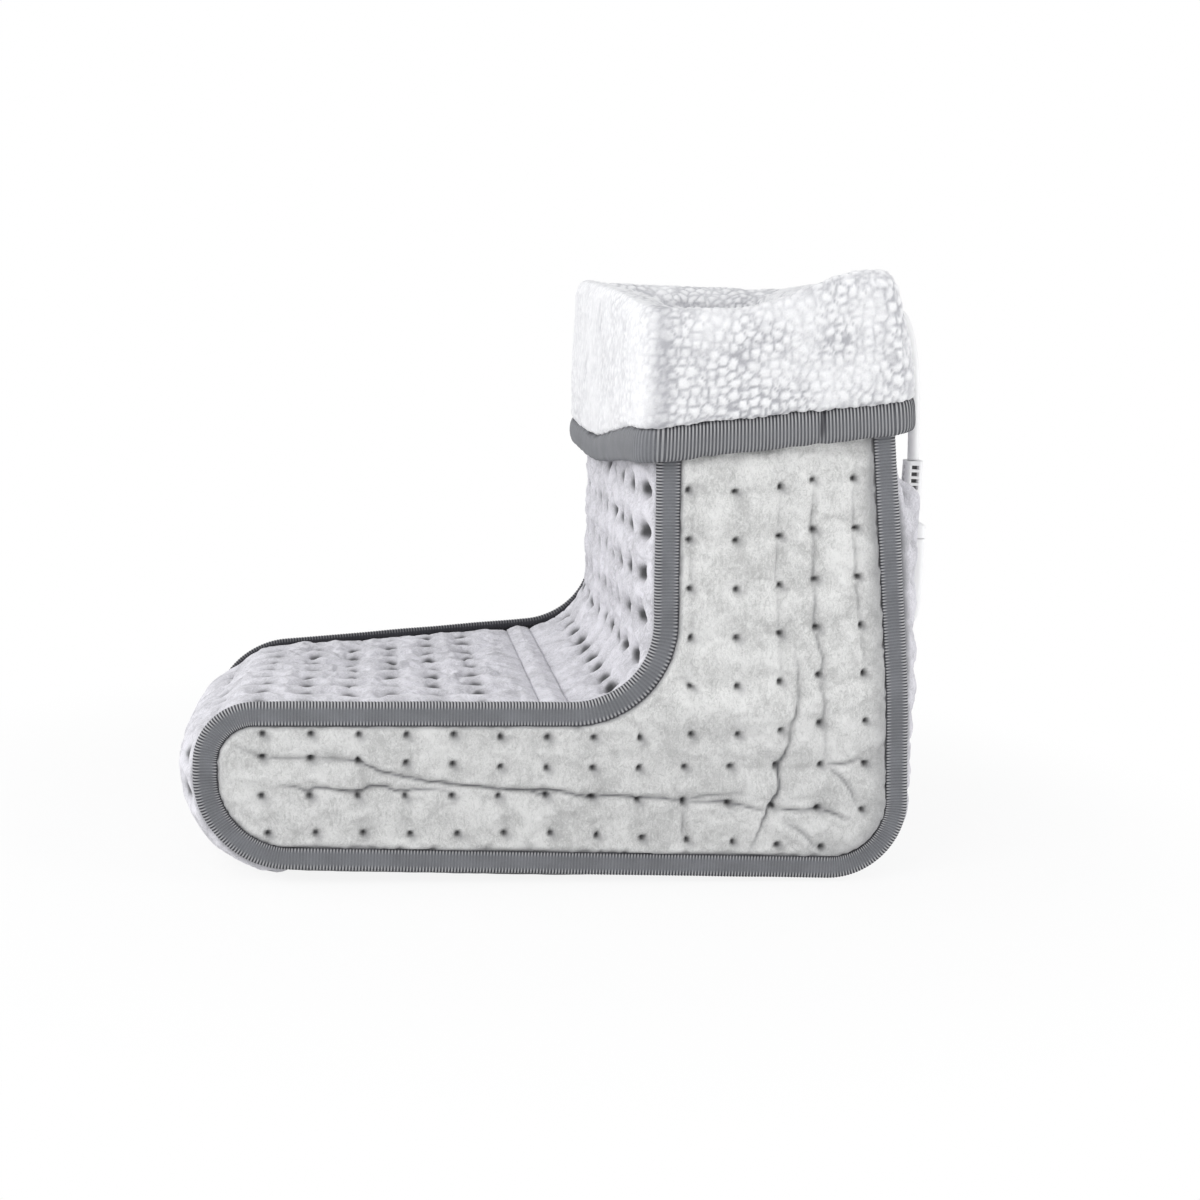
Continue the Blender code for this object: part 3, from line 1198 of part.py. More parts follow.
def heating_mat():
    """Carrier cloth, serpentine wire, thermal cut-out, joint and the lead to the socket."""
    low_x, high_x = CARRIER_CENTRE_X - CARRIER_LENGTH / 2, CARRIER_CENTRE_X + CARRIER_LENGTH / 2
    high_x += JOINT_LENGTH
    rings = []
    for x in (low_x, high_x):
        low, high = sole_height(x, MAT_BASE), sole_height(x, MAT_BASE + CARRIER_THICKNESS)
        rings.append([(x, -CARRIER_WIDTH / 2, low), (x, CARRIER_WIDTH / 2, low),
                      (x, CARRIER_WIDTH / 2, high), (x, -CARRIER_WIDTH / 2, high)])
    loft("heater_carrier", rings, "mat_cloth")
    toe_x = CARRIER_CENTRE_X - WIRE_RUN_LENGTH / 2
    heel_x = CARRIER_CENTRE_X + WIRE_RUN_LENGTH / 2
    first_y = -WIRE_PITCH * (WIRE_RUNS - 1) / 2
    pole = JOINT_POLE_PITCH / 2
    entry = JOINT_X + JOINT_BORE_DEPTH - GAP
    route = [(entry, PLUG_Y - pole), (JOINT_X - JOINT_BORE_DEPTH, PLUG_Y - pole),
             (heel_x + WIRE_PITCH / 4, (PLUG_Y - pole + first_y) / 2)]
    for run in range(WIRE_RUNS):
        y = first_y + WIRE_PITCH * run
        ends = (heel_x, toe_x) if run % 2 == 0 else (toe_x, heel_x)
        route += [(ends[0], y), (ends[1], y)]
        if run < WIRE_RUNS - 1:
            outward = -1 if run % 2 == 0 else 1
            for step in range(1, 4):
                turn = math.pi * step / 4
                route.append((ends[1] + outward * WIRE_PITCH / 2 * math.sin(turn),
                              y + WIRE_PITCH / 2 * (1 - math.cos(turn))))
    turn_in = WIRE_RETURN_X - heel_x
    last_y = -first_y
    route += [(WIRE_RETURN_X - turn_in * 0.3, last_y - turn_in * 0.3),
              (WIRE_RETURN_X, last_y - turn_in), (WIRE_RETURN_X, PLUG_Y + pole + turn_in * 0.6),
              (WIRE_RETURN_X + turn_in * 0.2, PLUG_Y + pole + turn_in * 0.15),
              (JOINT_X - GAP, PLUG_Y + pole), (entry, PLUG_Y + pole)]
    tube("heating_wire", [(x, y, sole_height(x, WIRE_LEVEL)) for x, y in route],
         WIRE_DIAMETER, "wire", 0)
    sleeve_z = sole_height(WIRE_RETURN_X, WIRE_LEVEL)
    rings = []
    for y, radius in ((-0.5, CUTOUT_DIAMETER), (0.5, CUTOUT_DIAMETER), (0.5, CUTOUT_BORE),
                      (-0.5, CUTOUT_BORE)):
        rings.append(disc((WIRE_RETURN_X, CUTOUT_Y + y * CUTOUT_LENGTH, sleeve_z), (0, 1, 0),
                          radius / 2, 10))
    loft("thermal_cutout", rings, "steel", closed=True)
    low = sole_height(JOINT_X, WIRE_LEVEL) - JOINT_HEIGHT / 2
    block = box("lead_joint", (JOINT_X, PLUG_Y - JOINT_WIDTH / 2, low),
                (JOINT_X + JOINT_LENGTH, PLUG_Y + JOINT_WIDTH / 2, low + JOINT_HEIGHT),
                "white_plastic")
    for side in (-1, 1):
        y = PLUG_Y + side * pole
        cut(block, rod("bore", (JOINT_X - GAP, y, sole_height(JOINT_X, WIRE_LEVEL)),
                       (JOINT_X + JOINT_BORE_DEPTH, y, sole_height(JOINT_X, WIRE_LEVEL)),
                       WIRE_DIAMETER / 2 + GAP, "steel", 8))
    end = JOINT_X + JOINT_LENGTH
    cut(block, rod("bore", (end - JOINT_BORE_DEPTH, PLUG_Y, sole_height(end, WIRE_LEVEL)),
                   (end + GAP, PLUG_Y, sole_height(end, WIRE_LEVEL)),
                   INNER_LEAD_DIAMETER / 2 + GAP, "steel", 8))
    tube("inner_lead", inner_lead_route(), INNER_LEAD_DIAMETER, "lead", 1)


def control_ring(inset, z):
    """One level of the hand control: a long rounded plan, inset all round."""
    return rounded_ring((CONTROL_X, CONTROL_Y), CONTROL_WIDTH - 2 * inset,
                        CONTROL_LENGTH - 2 * inset, CONTROL_WIDTH * 0.36 - inset * 0.8, z, 3)


def hand_control():
    """Inline control: two shells, slider, lamp, board, screws and two strain reliefs."""
    part = CONTROL_HEIGHT * CONTROL_PARTING_SHARE
    edge, wall = CONTROL_EDGE, CONTROL_WALL
    bottom = loft("control_bottom", [
        control_ring(edge * 0.4, 0.0), control_ring(edge * 0.12, edge * 0.2),
        control_ring(0.0, edge * 0.6), control_ring(0.0, part),
        control_ring(wall, part), control_ring(wall + edge * 0.1, wall * 1.2)], "grey_plastic")
    low = part + GAP
    top = loft("control_top", [
        control_ring(0.0, low), control_ring(0.0, CONTROL_HEIGHT - edge * 0.8),
        control_ring(edge * 0.15, CONTROL_HEIGHT - edge * 0.35),
        control_ring(edge * 0.5, CONTROL_HEIGHT - edge * 0.08),
        control_ring(edge * 0.9, CONTROL_HEIGHT), ], "grey_plastic")
    hollow = loft("hollow", [control_ring(wall, low - GAP), control_ring(wall, CONTROL_HEIGHT - edge),
                             control_ring(wall + edge * 0.35, CONTROL_HEIGHT - wall)],
                  "grey_plastic")
    cut(top, hollow)
    post_x = CONTROL_LENGTH / 2 - POST_INSET_X
    for end in (-1, 1):
        x = CONTROL_X + end * post_x
        combine(bottom, rod("post", (x, CONTROL_Y, wall / 2), (x, CONTROL_Y, part),
                            POST_DIAMETER / 2, "grey_plastic", 12), 'UNION')
        combine(top, rod("post", (x, CONTROL_Y, low), (x, CONTROL_Y, CONTROL_HEIGHT - wall / 2),
                         POST_DIAMETER / 2, "grey_plastic", 12), 'UNION')
        cut(bottom, rod("screw_hole", (x, CONTROL_Y, -GAP), (x, CONTROL_Y, part + GAP),
                        CONTROL_SCREW_DIAMETER / 2 + GAP, "steel", 8))
        cut(bottom, rod("head_hole", (x, CONTROL_Y, -GAP), (x, CONTROL_Y, 2 * wall),
                        CONTROL_SCREW_HEAD / 2 + GAP, "steel", 12))
        cut(top, rod("pilot", (x, CONTROL_Y, low - GAP),
                     (x, CONTROL_Y, low + 3 * wall + GAP), CONTROL_SCREW_DIAMETER / 2 + GAP,
                     "steel", 8))
        rib_x = CONTROL_X + end * BOARD_LENGTH * 0.36
        combine(bottom, box("rib", (rib_x - wall / 2, CONTROL_Y - BOARD_WIDTH / 2, wall / 2),
                            (rib_x + wall / 2, CONTROL_Y + BOARD_WIDTH / 2, wall * 2.5),
                            "grey_plastic"), 'UNION')
        mouth = CONTROL_RELIEF_WIDTH / 2 * 0.62 + GAP
        outside = CONTROL_X + end * (CONTROL_LENGTH / 2 + GAP)
        inside = CONTROL_X + end * (CONTROL_LENGTH / 2 - 2 * wall)
        for shell in (bottom, top):
            cut(shell, rod("mouth", (outside, CONTROL_Y, part), (inside, CONTROL_Y, part),
                           mouth, "steel", 12))
    screws = []
    for end in (-1, 1):
        x = CONTROL_X + end * post_x
        profile = ((2 * wall - CONTROL_SCREW_HEAD * 0.4 - GAP, CONTROL_SCREW_HEAD * 0.36),
                   (2 * wall - CONTROL_SCREW_HEAD * 0.2, CONTROL_SCREW_HEAD / 2),
                   (2 * wall - GAP, CONTROL_SCREW_HEAD / 2),
                   (2 * wall - GAP, CONTROL_SCREW_DIAMETER / 2),
                   (low + 3 * wall - GAP, CONTROL_SCREW_DIAMETER / 2))
        screws.append(loft("screw", [disc((x, CONTROL_Y, z), (0, 0, 1), radius, 8)
                                     for z, radius in profile], "steel"))
    numbered("control_screw", screws)
    board_z = wall * 2.5 + GAP
    box("control_board", (CONTROL_X - BOARD_LENGTH / 2, CONTROL_Y - BOARD_WIDTH / 2, board_z),
        (CONTROL_X + BOARD_LENGTH / 2, CONTROL_Y + BOARD_WIDTH / 2, board_z + BOARD_THICKNESS),
        "board")
    slider_x = CONTROL_X - SLIDER_TRAVEL / 2
    stem = SLOT_LENGTH - SLIDER_TRAVEL - 4 * GAP
    cut(top, box("slot", (CONTROL_X - SLOT_LENGTH / 2, CONTROL_Y - SLOT_WIDTH / 2,
                          CONTROL_HEIGHT - 2 * wall),
                 (CONTROL_X + SLOT_LENGTH / 2, CONTROL_Y + SLOT_WIDTH / 2,
                  CONTROL_HEIGHT + GAP), "steel"))
    level_slider(slider_x, stem)
    lamp_x = CONTROL_X + LAMP_OFFSET_X
    cut(top, rod("lamp_hole", (lamp_x, CONTROL_Y, CONTROL_HEIGHT - 2 * wall),
                 (lamp_x, CONTROL_Y, CONTROL_HEIGHT + GAP), LAMP_DIAMETER / 2 + GAP, "steel", 16))
    lens = [(CONTROL_HEIGHT - 2 * wall, 1.0), (CONTROL_HEIGHT, 1.0),
            (CONTROL_HEIGHT + LAMP_DIAMETER * 0.12, 0.8), (CONTROL_HEIGHT + LAMP_DIAMETER * 0.18, 0.4)]
    loft("level_lamp", [disc((lamp_x, CONTROL_Y, z), (0, 0, 1), LAMP_DIAMETER / 2 * share, 16)
                        for z, share in lens], "lamp")
    control_relief("control_relief_boot", 1, part)
    control_relief("control_relief_mains", -1, part)


def level_slider(x, stem):
    """Grooved thumb piece with a stem through the control's slot."""
    base = CONTROL_HEIGHT + GAP
    rings = []
    grooves = 4
    levels = [(-0.5, 0.55), (-0.42, 0.9)]
    for groove in range(grooves):
        middle = -0.3 + 0.6 * groove / (grooves - 1)
        levels += [(middle - 0.07, 1.0), (middle, 0.72), (middle + 0.07, 1.0)]
    levels += [(0.42, 0.9), (0.5, 0.55)]
    for along, height in levels:
        side = SLIDER_WIDTH / 2
        high = base + SLIDER_HEIGHT * height
        rings.append([(x + along * SLIDER_LENGTH, CONTROL_Y - side, base),
                      (x + along * SLIDER_LENGTH, CONTROL_Y + side, base),
                      (x + along * SLIDER_LENGTH, CONTROL_Y + side * 0.8, high),
                      (x + along * SLIDER_LENGTH, CONTROL_Y - side * 0.8, high)])
    knob = loft("level_slider", rings, "white_plastic")
    half = SLOT_WIDTH / 2 - GAP
    combine(knob, box("stem", (x - stem / 2, CONTROL_Y - half, base - SLIDER_STEM_DEPTH),
                      (x + stem / 2, CONTROL_Y + half, base + SLIDER_HEIGHT * 0.3),
                      "white_plastic"), 'UNION')


def control_relief(name, end, z):
    """Tapered, grooved strain relief at one end of the hand control."""
    wall_x = CONTROL_X + end * CONTROL_LENGTH / 2
    wide, tip = CONTROL_RELIEF_WIDTH / 2, CONTROL_RELIEF_TIP / 2
    neck = wide * 0.62
    levels = [(-1.5 * CONTROL_WALL, neck), (GAP, neck), (GAP, wide), (CONTROL_RELIEF_LENGTH * 0.18, wide)]
    grooves = 3
    for groove in range(grooves):
        share = 0.26 + 0.62 * groove / (grooves - 1)
        radius = wide + (tip - wide) * share
        half = CONTROL_RELIEF_LENGTH * 0.035
        middle = CONTROL_RELIEF_LENGTH * share
        levels += [(middle - half, radius), (middle - half, radius * 0.8),
                   (middle + half, radius * 0.8), (middle + half, radius)]
    levels.append((CONTROL_RELIEF_LENGTH, tip))
    loft(name, [disc((wall_x + end * along, CONTROL_Y, z), (1, 0, 0), radius, 8)
                for along, radius in levels], "lead")


def mains_plug():
    """Flat two-pin plug on the floor, its pins towards the object, with its strain relief."""
    z = MAINS_PLUG_THICKNESS / 2
    back = MAINS_PLUG_RELIEF_Y - MAINS_RELIEF_LENGTH - GAP
    face = back - MAINS_PLUG_LENGTH
    sections = ((0.0, 0.96, 0.94), (0.06, 1.0, 1.0), (0.45, 1.0, 1.0), (0.62, 0.86, 1.0),
                (0.8, 0.6, 0.95), (0.94, 0.38, 0.84), (1.0, 0.31, 0.78))
    rings = []
    for share, wide, thick in sections:
        y = face + MAINS_PLUG_LENGTH * share
        ring = rounded_ring((0.0, 0.0), MAINS_PLUG_THICKNESS * thick, MAINS_PLUG_WIDTH * wide,
                            MAINS_PLUG_THICKNESS * thick * 0.4, 0.0, 3)
        rings.append([(MAINS_PLUG_X + along, y, z + up) for along, up, _ in ring])
    body = loft("mains_plug_body", rings, "lead")
    pins = []
    for side in (-1, 1):
        x = MAINS_PLUG_X + side * PIN_SPACING / 2
        cut(body, rod("pin_hole", (x, face - GAP, z), (x, face + PIN_ROOT, z),
                      PIN_DIAMETER / 2 + GAP / 2, "steel", 12))
        pins.append(loft("pin", [disc((x, y, z), (0, 1, 0), PIN_DIAMETER / 2 * share, 12)
                                 for y, share in ((face + PIN_ROOT - GAP, 1.0),
                                                  (face - PIN_LENGTH + PIN_DIAMETER / 2, 1.0),
                                                  (face - PIN_LENGTH + PIN_DIAMETER / 8, 0.75),
                                                  (face - PIN_LENGTH, 0.4))], "brass"))
    numbered("mains_plug_pin", pins)
    levels = [(0.0, MAINS_PLUG_NECK * 0.46), (MAINS_RELIEF_LENGTH * 0.15, MAINS_PLUG_NECK * 0.46)]
    grooves = 3
    for groove in range(grooves):
        share = 0.28 + 0.58 * groove / (grooves - 1)
        radius = MAINS_PLUG_NECK * (0.46 - 0.11 * share)
        half = MAINS_RELIEF_LENGTH * 0.045
        middle = MAINS_RELIEF_LENGTH * share
        levels += [(middle - half, radius), (middle - half, radius * 0.8),
                   (middle + half, radius * 0.8), (middle + half, radius)]
    levels.append((MAINS_RELIEF_LENGTH, MAINS_PLUG_NECK * 0.34))
    loft("mains_plug_relief", [disc((MAINS_PLUG_X, back + GAP + along, z), (0, 1, 0), radius, 8)
                               for along, radius in levels], "lead")


def coil_points():
    """Turns of the put-away lead: the radius swings in and out again at a steady rate.

    The radius is a triangle wave of one layer per half period, and the height climbs one
    layer in the half turn where the wave reverses, by a smooth cosine step.
    """
    layer_turns = COIL_TURNS / COIL_LAYERS
    swing = COIL_TURN_PITCH * layer_turns / 2
    base = CORD_DIAMETER / 2 + COIL_LIFT
    points = []
    for step in range(COIL_TURNS * COIL_POINTS_PER_TURN + 1):
        turns = step / COIL_POINTS_PER_TURN
        layer = turns / layer_turns
        wave = abs((layer % 2) - 1) * 2 - 1
        z = base
        for climb in range(1, COIL_LAYERS):
            share = min(max((turns - climb * layer_turns) / 0.5 + 0.5, 0.0), 1.0)
            z += COIL_TURN_PITCH * (1 - math.cos(math.pi * share)) / 2
        radius = COIL_MEAN_RADIUS + swing * wave
        angle = math.pi / 2 - math.tau * turns
        points.append((COIL_X + radius * math.cos(angle), COIL_Y + radius * math.sin(angle), z))
    return points


def least_gap(points, diameter, skip):
    """Least clear distance of a tube to itself, between points more than skip apart."""
    places = np.array(points)
    apart = np.linalg.norm(places[:, None, :] - places[None, :, :], axis=2)
    index = np.arange(len(places))
    apart[np.abs(index[:, None] - index[None, :]) < skip] = 1.0
    return float(apart.min()) - diameter


def mains_coil():
    """The coil as one unbroken tube, straight for a diameter at both ends, and its tie."""
    points = coil_points()
    print("least gap of the coil to itself:",
          round(least_gap(points, CORD_DIAMETER, COIL_POINTS_PER_TURN // 2), 5), "m")
    first, last = np.array(points[0]), np.array(points[-1])
    lead_in = first - np.array((CORD_DIAMETER, 0.0, 0.0))
    lead_out = last + np.array((CORD_DIAMETER, 0.0, 0.0))
    tube("mains_coil", [lead_in] + points + [lead_out], CORD_DIAMETER, "lead", 1)
    swing = COIL_TURN_PITCH * COIL_TURNS / COIL_LAYERS / 2
    eye = COIL_MEAN_RADIUS - swing - CORD_DIAMETER / 2
    chord = math.sqrt(eye ** 2 - (TIE_WIDTH / 2) ** 2) * math.cos(math.pi / COIL_POINTS_PER_TURN)
    near = chord - TIE_THICKNESS - GAP
    far = COIL_MEAN_RADIUS + swing + CORD_DIAMETER / 2 + TIE_THICKNESS + GAP
    high = COIL_LIFT + CORD_DIAMETER + COIL_TURN_PITCH * (COIL_LAYERS - 1) + TIE_THICKNESS + GAP
    rings = []
    for side in (-1, 1):
        for outer in ((0.0, 1.0) if side < 0 else (1.0, 0.0)):
            inset = 0.0 if outer else TIE_THICKNESS
            bend = TIE_THICKNESS * 3 / 2
            section = ((near, bend), (near, high - bend), (near + bend, high), (far - bend, high),
                       (far, high - bend), (far, bend), (far - bend, 0.0), (near + bend, 0.0))
            middle = np.array(((near + far) / 2, high / 2))
            ring = []
            for across, up in section:
                place = np.array((across, up))
                place = place + np.sign(middle - place) * inset
                ring.append((COIL_X + place[0], COIL_Y + side * TIE_WIDTH / 2, place[1]))
            rings.append(ring)
    loft("coil_tie", [rings[1], rings[0], rings[3], rings[2]], "grey_plastic", closed=True)
    return lead_in, lead_out


def leads(plug_top, coil_in, coil_out):
    """The free stretches: boot to hand control, control to coil, and coil to mains plug."""
    part = CONTROL_HEIGHT * CONTROL_PARTING_SHARE
    start = (PLUG_X - RELIEF_SET_IN, PLUG_Y, plug_top + GAP)
    boot_end = CONTROL_X + CONTROL_LENGTH / 2 + CONTROL_RELIEF_LENGTH + GAP
    route = [start] + [tuple(point) for point in BOOT_LEAD_ROUTE]
    route += [(boot_end + CORD_DIAMETER * 3, CONTROL_Y, part * 0.9),
              (boot_end, CONTROL_Y, part)]
    spacing = 2.9 * CORD_DIAMETER
    tube("control_lead", smooth_route(route, spacing, CORD_DIAMETER, CORD_DIAMETER),
         CORD_DIAMETER, "lead", 2)
    mains_end = CONTROL_X - CONTROL_LENGTH / 2 - CONTROL_RELIEF_LENGTH - GAP
    route = [(mains_end, CONTROL_Y, part), (mains_end - CORD_DIAMETER * 3, CONTROL_Y, part * 0.9)]
    route += [tuple(point) for point in MAINS_LEAD_ROUTE]
    route.append(tuple(coil_in - np.array((GAP, 0.0, 0.0))))
    tube("mains_lead", smooth_route(route, spacing, CORD_DIAMETER, CORD_DIAMETER),
         CORD_DIAMETER, "lead", 2)
    route = [tuple(coil_out + np.array((GAP, 0.0, 0.0)))]
    route += [tuple(point) for point in TAIL_ROUTE]
    route.append((MAINS_PLUG_X, MAINS_PLUG_RELIEF_Y + 2 * GAP, MAINS_PLUG_THICKNESS / 2))
    tube("mains_tail", smooth_route(route, spacing, CORD_DIAMETER, CORD_DIAMETER),
         CORD_DIAMETER, "lead", 2)


# Routes of the free leads, between their straight ends
BOOT_LEAD_ROUTE = (
    (0.1674, -0.0510, 0.2120), (0.1678, -0.0445, 0.2330), (0.1686, -0.0300, 0.2500),
    (0.1698, -0.0080, 0.2590), (0.1717, 0.0130, 0.2510), (0.1737, 0.0270, 0.2300),
    (0.1757, 0.0345, 0.2000), (0.1777, 0.0380, 0.1600), (0.1797, 0.0400, 0.1200),
    (0.1817, 0.0415, 0.0800), (0.1837, 0.0440, 0.0450), (0.1857, 0.0530, 0.0180),
    (0.1857, 0.0680, 0.0062), (0.1792, 0.0860, 0.0030), (0.1662, 0.1040, 0.0030),
    (0.1472, 0.1180, 0.0030), (0.1222, 0.1285, 0.0030), (0.0992, 0.1380, 0.0050))
MAINS_LEAD_ROUTE = (
    (-0.1348, 0.1480, 0.0055), (-0.1498, 0.1600, 0.0031), (-0.1558, 0.1790, 0.0030),
    (-0.1518, 0.1990, 0.0030), (-0.1378, 0.2150, 0.0030), (-0.1158, 0.2260, 0.0030),
    (-0.0828, 0.2340, 0.0030), (-0.0428, 0.2370, 0.0030), (-0.0028, 0.2385, 0.0032),
    (0.0372, 0.2396, 0.0038))
TAIL_ROUTE = (
    (0.1102, 0.2393, 0.0225), (0.1322, 0.2410, 0.0170), (0.1522, 0.2405, 0.0100),
    (0.1652, 0.2330, 0.0072))


def main():
    """Builds every piece of the foot warmer."""
    for item in list(bpy.data.objects):
        bpy.data.objects.remove(item, do_unlink=True)
    step = QUILT_PITCH / 2
    hem_end = ANKLE_END + HEM_WIDTH / step
    gusset_panel("shin_panel", AT_TOP, ANKLE_END, "plush")
    gusset_panel("ankle_hem", ANKLE_END, hem_end, "plush", quilted=False, raised=PUFF_HEIGHT)
    gusset_panel("instep_panel", hem_end, TOE_END, "plush")
    gusset_panel("sole_panel", TOE_END, HEEL_START, "sole_cloth", quilted=False, stride=4)
    back = gusset_panel("back_panel", HEEL_START, AT_END, "plush")
    pierce_back_panel(back)
    side_panel("side_panel_left", -1)
    side_panel("side_panel_right", 1)
    tape("binding_left", LEFT_PATH, -1)
    tape("binding_right", RIGHT_PATH, 1)
    lining_top = station_at_height(LINING_TOP_Z)
    front_top = float(np.interp(3 * GAP - LINING_TOP_Z, -LEFT_PATH[:ANKLE_START + 1, 1],
                                np.arange(ANKLE_START + 1)))
    gusset_lining("lining_shin", front_top, ANKLE_END, LINING_EASE)
    gusset_lining("lining_instep", ANKLE_END, TOE_END, LINING_EASE)
    gusset_lining("lining_sole", TOE_END, HEEL_START, MAT_SPACE)
    gusset_lining("lining_back", HEEL_START, lining_top, MAT_SPACE)
    side_lining("lining_left", -1)
    side_lining("lining_right", 1)
    sherpa_cuff()
    cuff_binding()
    heating_mat()
    socket_pieces()
    plug_top = plug_pieces()
    hand_control()
    coil_in, coil_out = mains_coil()
    mains_plug()
    leads(plug_top, coil_in, coil_out)


main()
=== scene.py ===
"""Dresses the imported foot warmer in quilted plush, ribbed tape, curly fleece and moulded fittings.

The boot is sewn from two flat sides and a gusset that runs down the shin, over the
instep, round the toe, along the sole and up the back. X runs from the toe (-) to the
heel (+), the left side is -Y and Z is up from the floor. All lengths are in metres.
"""
import math

import bmesh
import bpy
import numpy as np
from mathutils import Matrix, Vector


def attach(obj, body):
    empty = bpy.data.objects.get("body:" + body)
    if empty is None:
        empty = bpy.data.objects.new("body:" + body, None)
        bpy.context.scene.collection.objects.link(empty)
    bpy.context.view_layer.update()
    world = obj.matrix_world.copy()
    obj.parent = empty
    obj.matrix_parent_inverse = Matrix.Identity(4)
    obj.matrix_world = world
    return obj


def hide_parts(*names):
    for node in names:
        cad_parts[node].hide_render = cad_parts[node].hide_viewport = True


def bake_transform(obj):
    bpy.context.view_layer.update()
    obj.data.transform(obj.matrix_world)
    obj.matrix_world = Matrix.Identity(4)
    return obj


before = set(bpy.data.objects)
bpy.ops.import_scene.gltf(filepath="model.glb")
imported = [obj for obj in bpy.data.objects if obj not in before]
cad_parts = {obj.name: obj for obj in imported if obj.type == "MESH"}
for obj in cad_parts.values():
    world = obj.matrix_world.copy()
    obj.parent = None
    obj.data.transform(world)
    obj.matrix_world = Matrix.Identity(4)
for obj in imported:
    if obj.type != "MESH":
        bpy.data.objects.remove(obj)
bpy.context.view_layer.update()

bl_info = {
    "name": "Foot warmer surfaces",
    "version": (1, 0, 0),
    "blender": (4, 5, 0),
    "location": "View3D > Sidebar > Foot warmer",
    "description": "Quilted plush, ribbed tape, fleece and fittings for the packed foot warmer",
    "category": "Object",
}

# Side outline: corners of the left and the right side and their rounding
BOOT_WIDTH = 0.2000
HALF = BOOT_WIDTH / 2
SHAFT_FRONT_X, SHAFT_BACK_X, SHAFT_TOP_Z = 0.0342, 0.1412, 0.2400
BACK_BEND = (0.1587, 0.0900)
LEFT_CORNERS = ((SHAFT_FRONT_X, SHAFT_TOP_Z), (0.0392, 0.0850), (-0.1672, 0.0842),
                (-0.1672, 0.0081), (0.1637, 0.0008), BACK_BEND, (SHAFT_BACK_X, SHAFT_TOP_Z))
RIGHT_CORNERS = ((SHAFT_FRONT_X, SHAFT_TOP_Z), (0.0392, 0.0890), (-0.1527, 0.0701),
                 (-0.1640, 0.0081), (0.1637, 0.0008), BACK_BEND, (SHAFT_BACK_X, SHAFT_TOP_Z))
LEFT_RADII = (0.0360, 0.0270, 0.0445, 0.0360, 0.3000)
RIGHT_RADII = (0.0360, 0.0400, 0.0262, 0.0360, 0.3000)
QUILT_PITCH = 0.0205
HEM_WIDTH = 0.0130
STATION_FINE = 16

# Seams, as in the solids
TAPE_WIDTH = 0.0106
TAPE_INNER_WIDTH = 0.0052
TAPE_THICKNESS = 0.0007
SEAM_DEPTH = 0.0058
PANEL_THICKNESS = 0.0062
GAP = 0.0003
SIDE_FACE = 0.0990
GUSSET_FACE = 0.0975
TAPE_INNER_BACK = 0.0965
INNER_LEVEL = -SEAM_DEPTH - PANEL_THICKNESS

# Fleece cuff and its binding
CUFF_FRONT_DROP, CUFF_BACK_DROP = 0.0285, 0.0135
CUFF_RIM_RISE, CUFF_RIM_ARCH, CUFF_CORNER_RISE = 0.0240, 0.0030, 0.0190
CUFF_RISE_START_X, CUFF_RISE_END_X = 0.0680, 0.1400
CUFF_TOP_LEAN = 0.2800
CUFF_FLAP, CUFF_END_FLAP = 0.0085, 0.0045
CUFF_CLEARANCE = 0.0008
CUFF_CORNER_RADIUS = 0.0045
CUFF_FRONT_CROWN, CUFF_BACK_CROWN = 0.0062, 0.0045
CUFF_BACK_EASE, CUFF_INNER_EASE = 0.0015, 0.0020
CUFF_BINDING_HEIGHT, CUFF_BINDING_NARROWING = 0.0155, 0.0040
CUFF_BINDING_THICKNESS = 0.0050
CUFF_DIP = 0.0160
CUFF_NIP_X = 0.1090
LINING_TOP_Z = 0.2050
LINING_THICKNESS = 0.0065
LINING_GRID = 0.0020
MAT_SPACE = 0.0056
CUFF_COLUMNS, BINDING_COLUMNS = 118, 30
CUFF_WIDE, CUFF_LONG, CUFF_STRAIGHT_LESS = 0.2080, 0.1120, 0.0180
CUFF_CORNER_RUN = 0.0090 * math.pi / 2

# Connector at the back
PLUG_X, PLUG_Y = 0.1687, -0.05125
SOCKET_SEAT_X = 0.1634
SOCKET_BOTTOM_Z, SOCKET_TOP_Z = 0.1150, 0.1570
SOCKET_WIDTH, SOCKET_DEPTH = 0.0240, 0.0100
SOCKET_CORNER = SOCKET_DEPTH * 0.32
SOCKET_WALL, SOCKET_HOLLOW = 0.0018, 0.0180
SOCKET_FLAT_Z = (0.1050, 0.1650)
PLUG_GRIP_HEIGHT = 0.0070
RELIEF_LENGTH = 0.0285
RELIEF_SET_IN = 0.0006

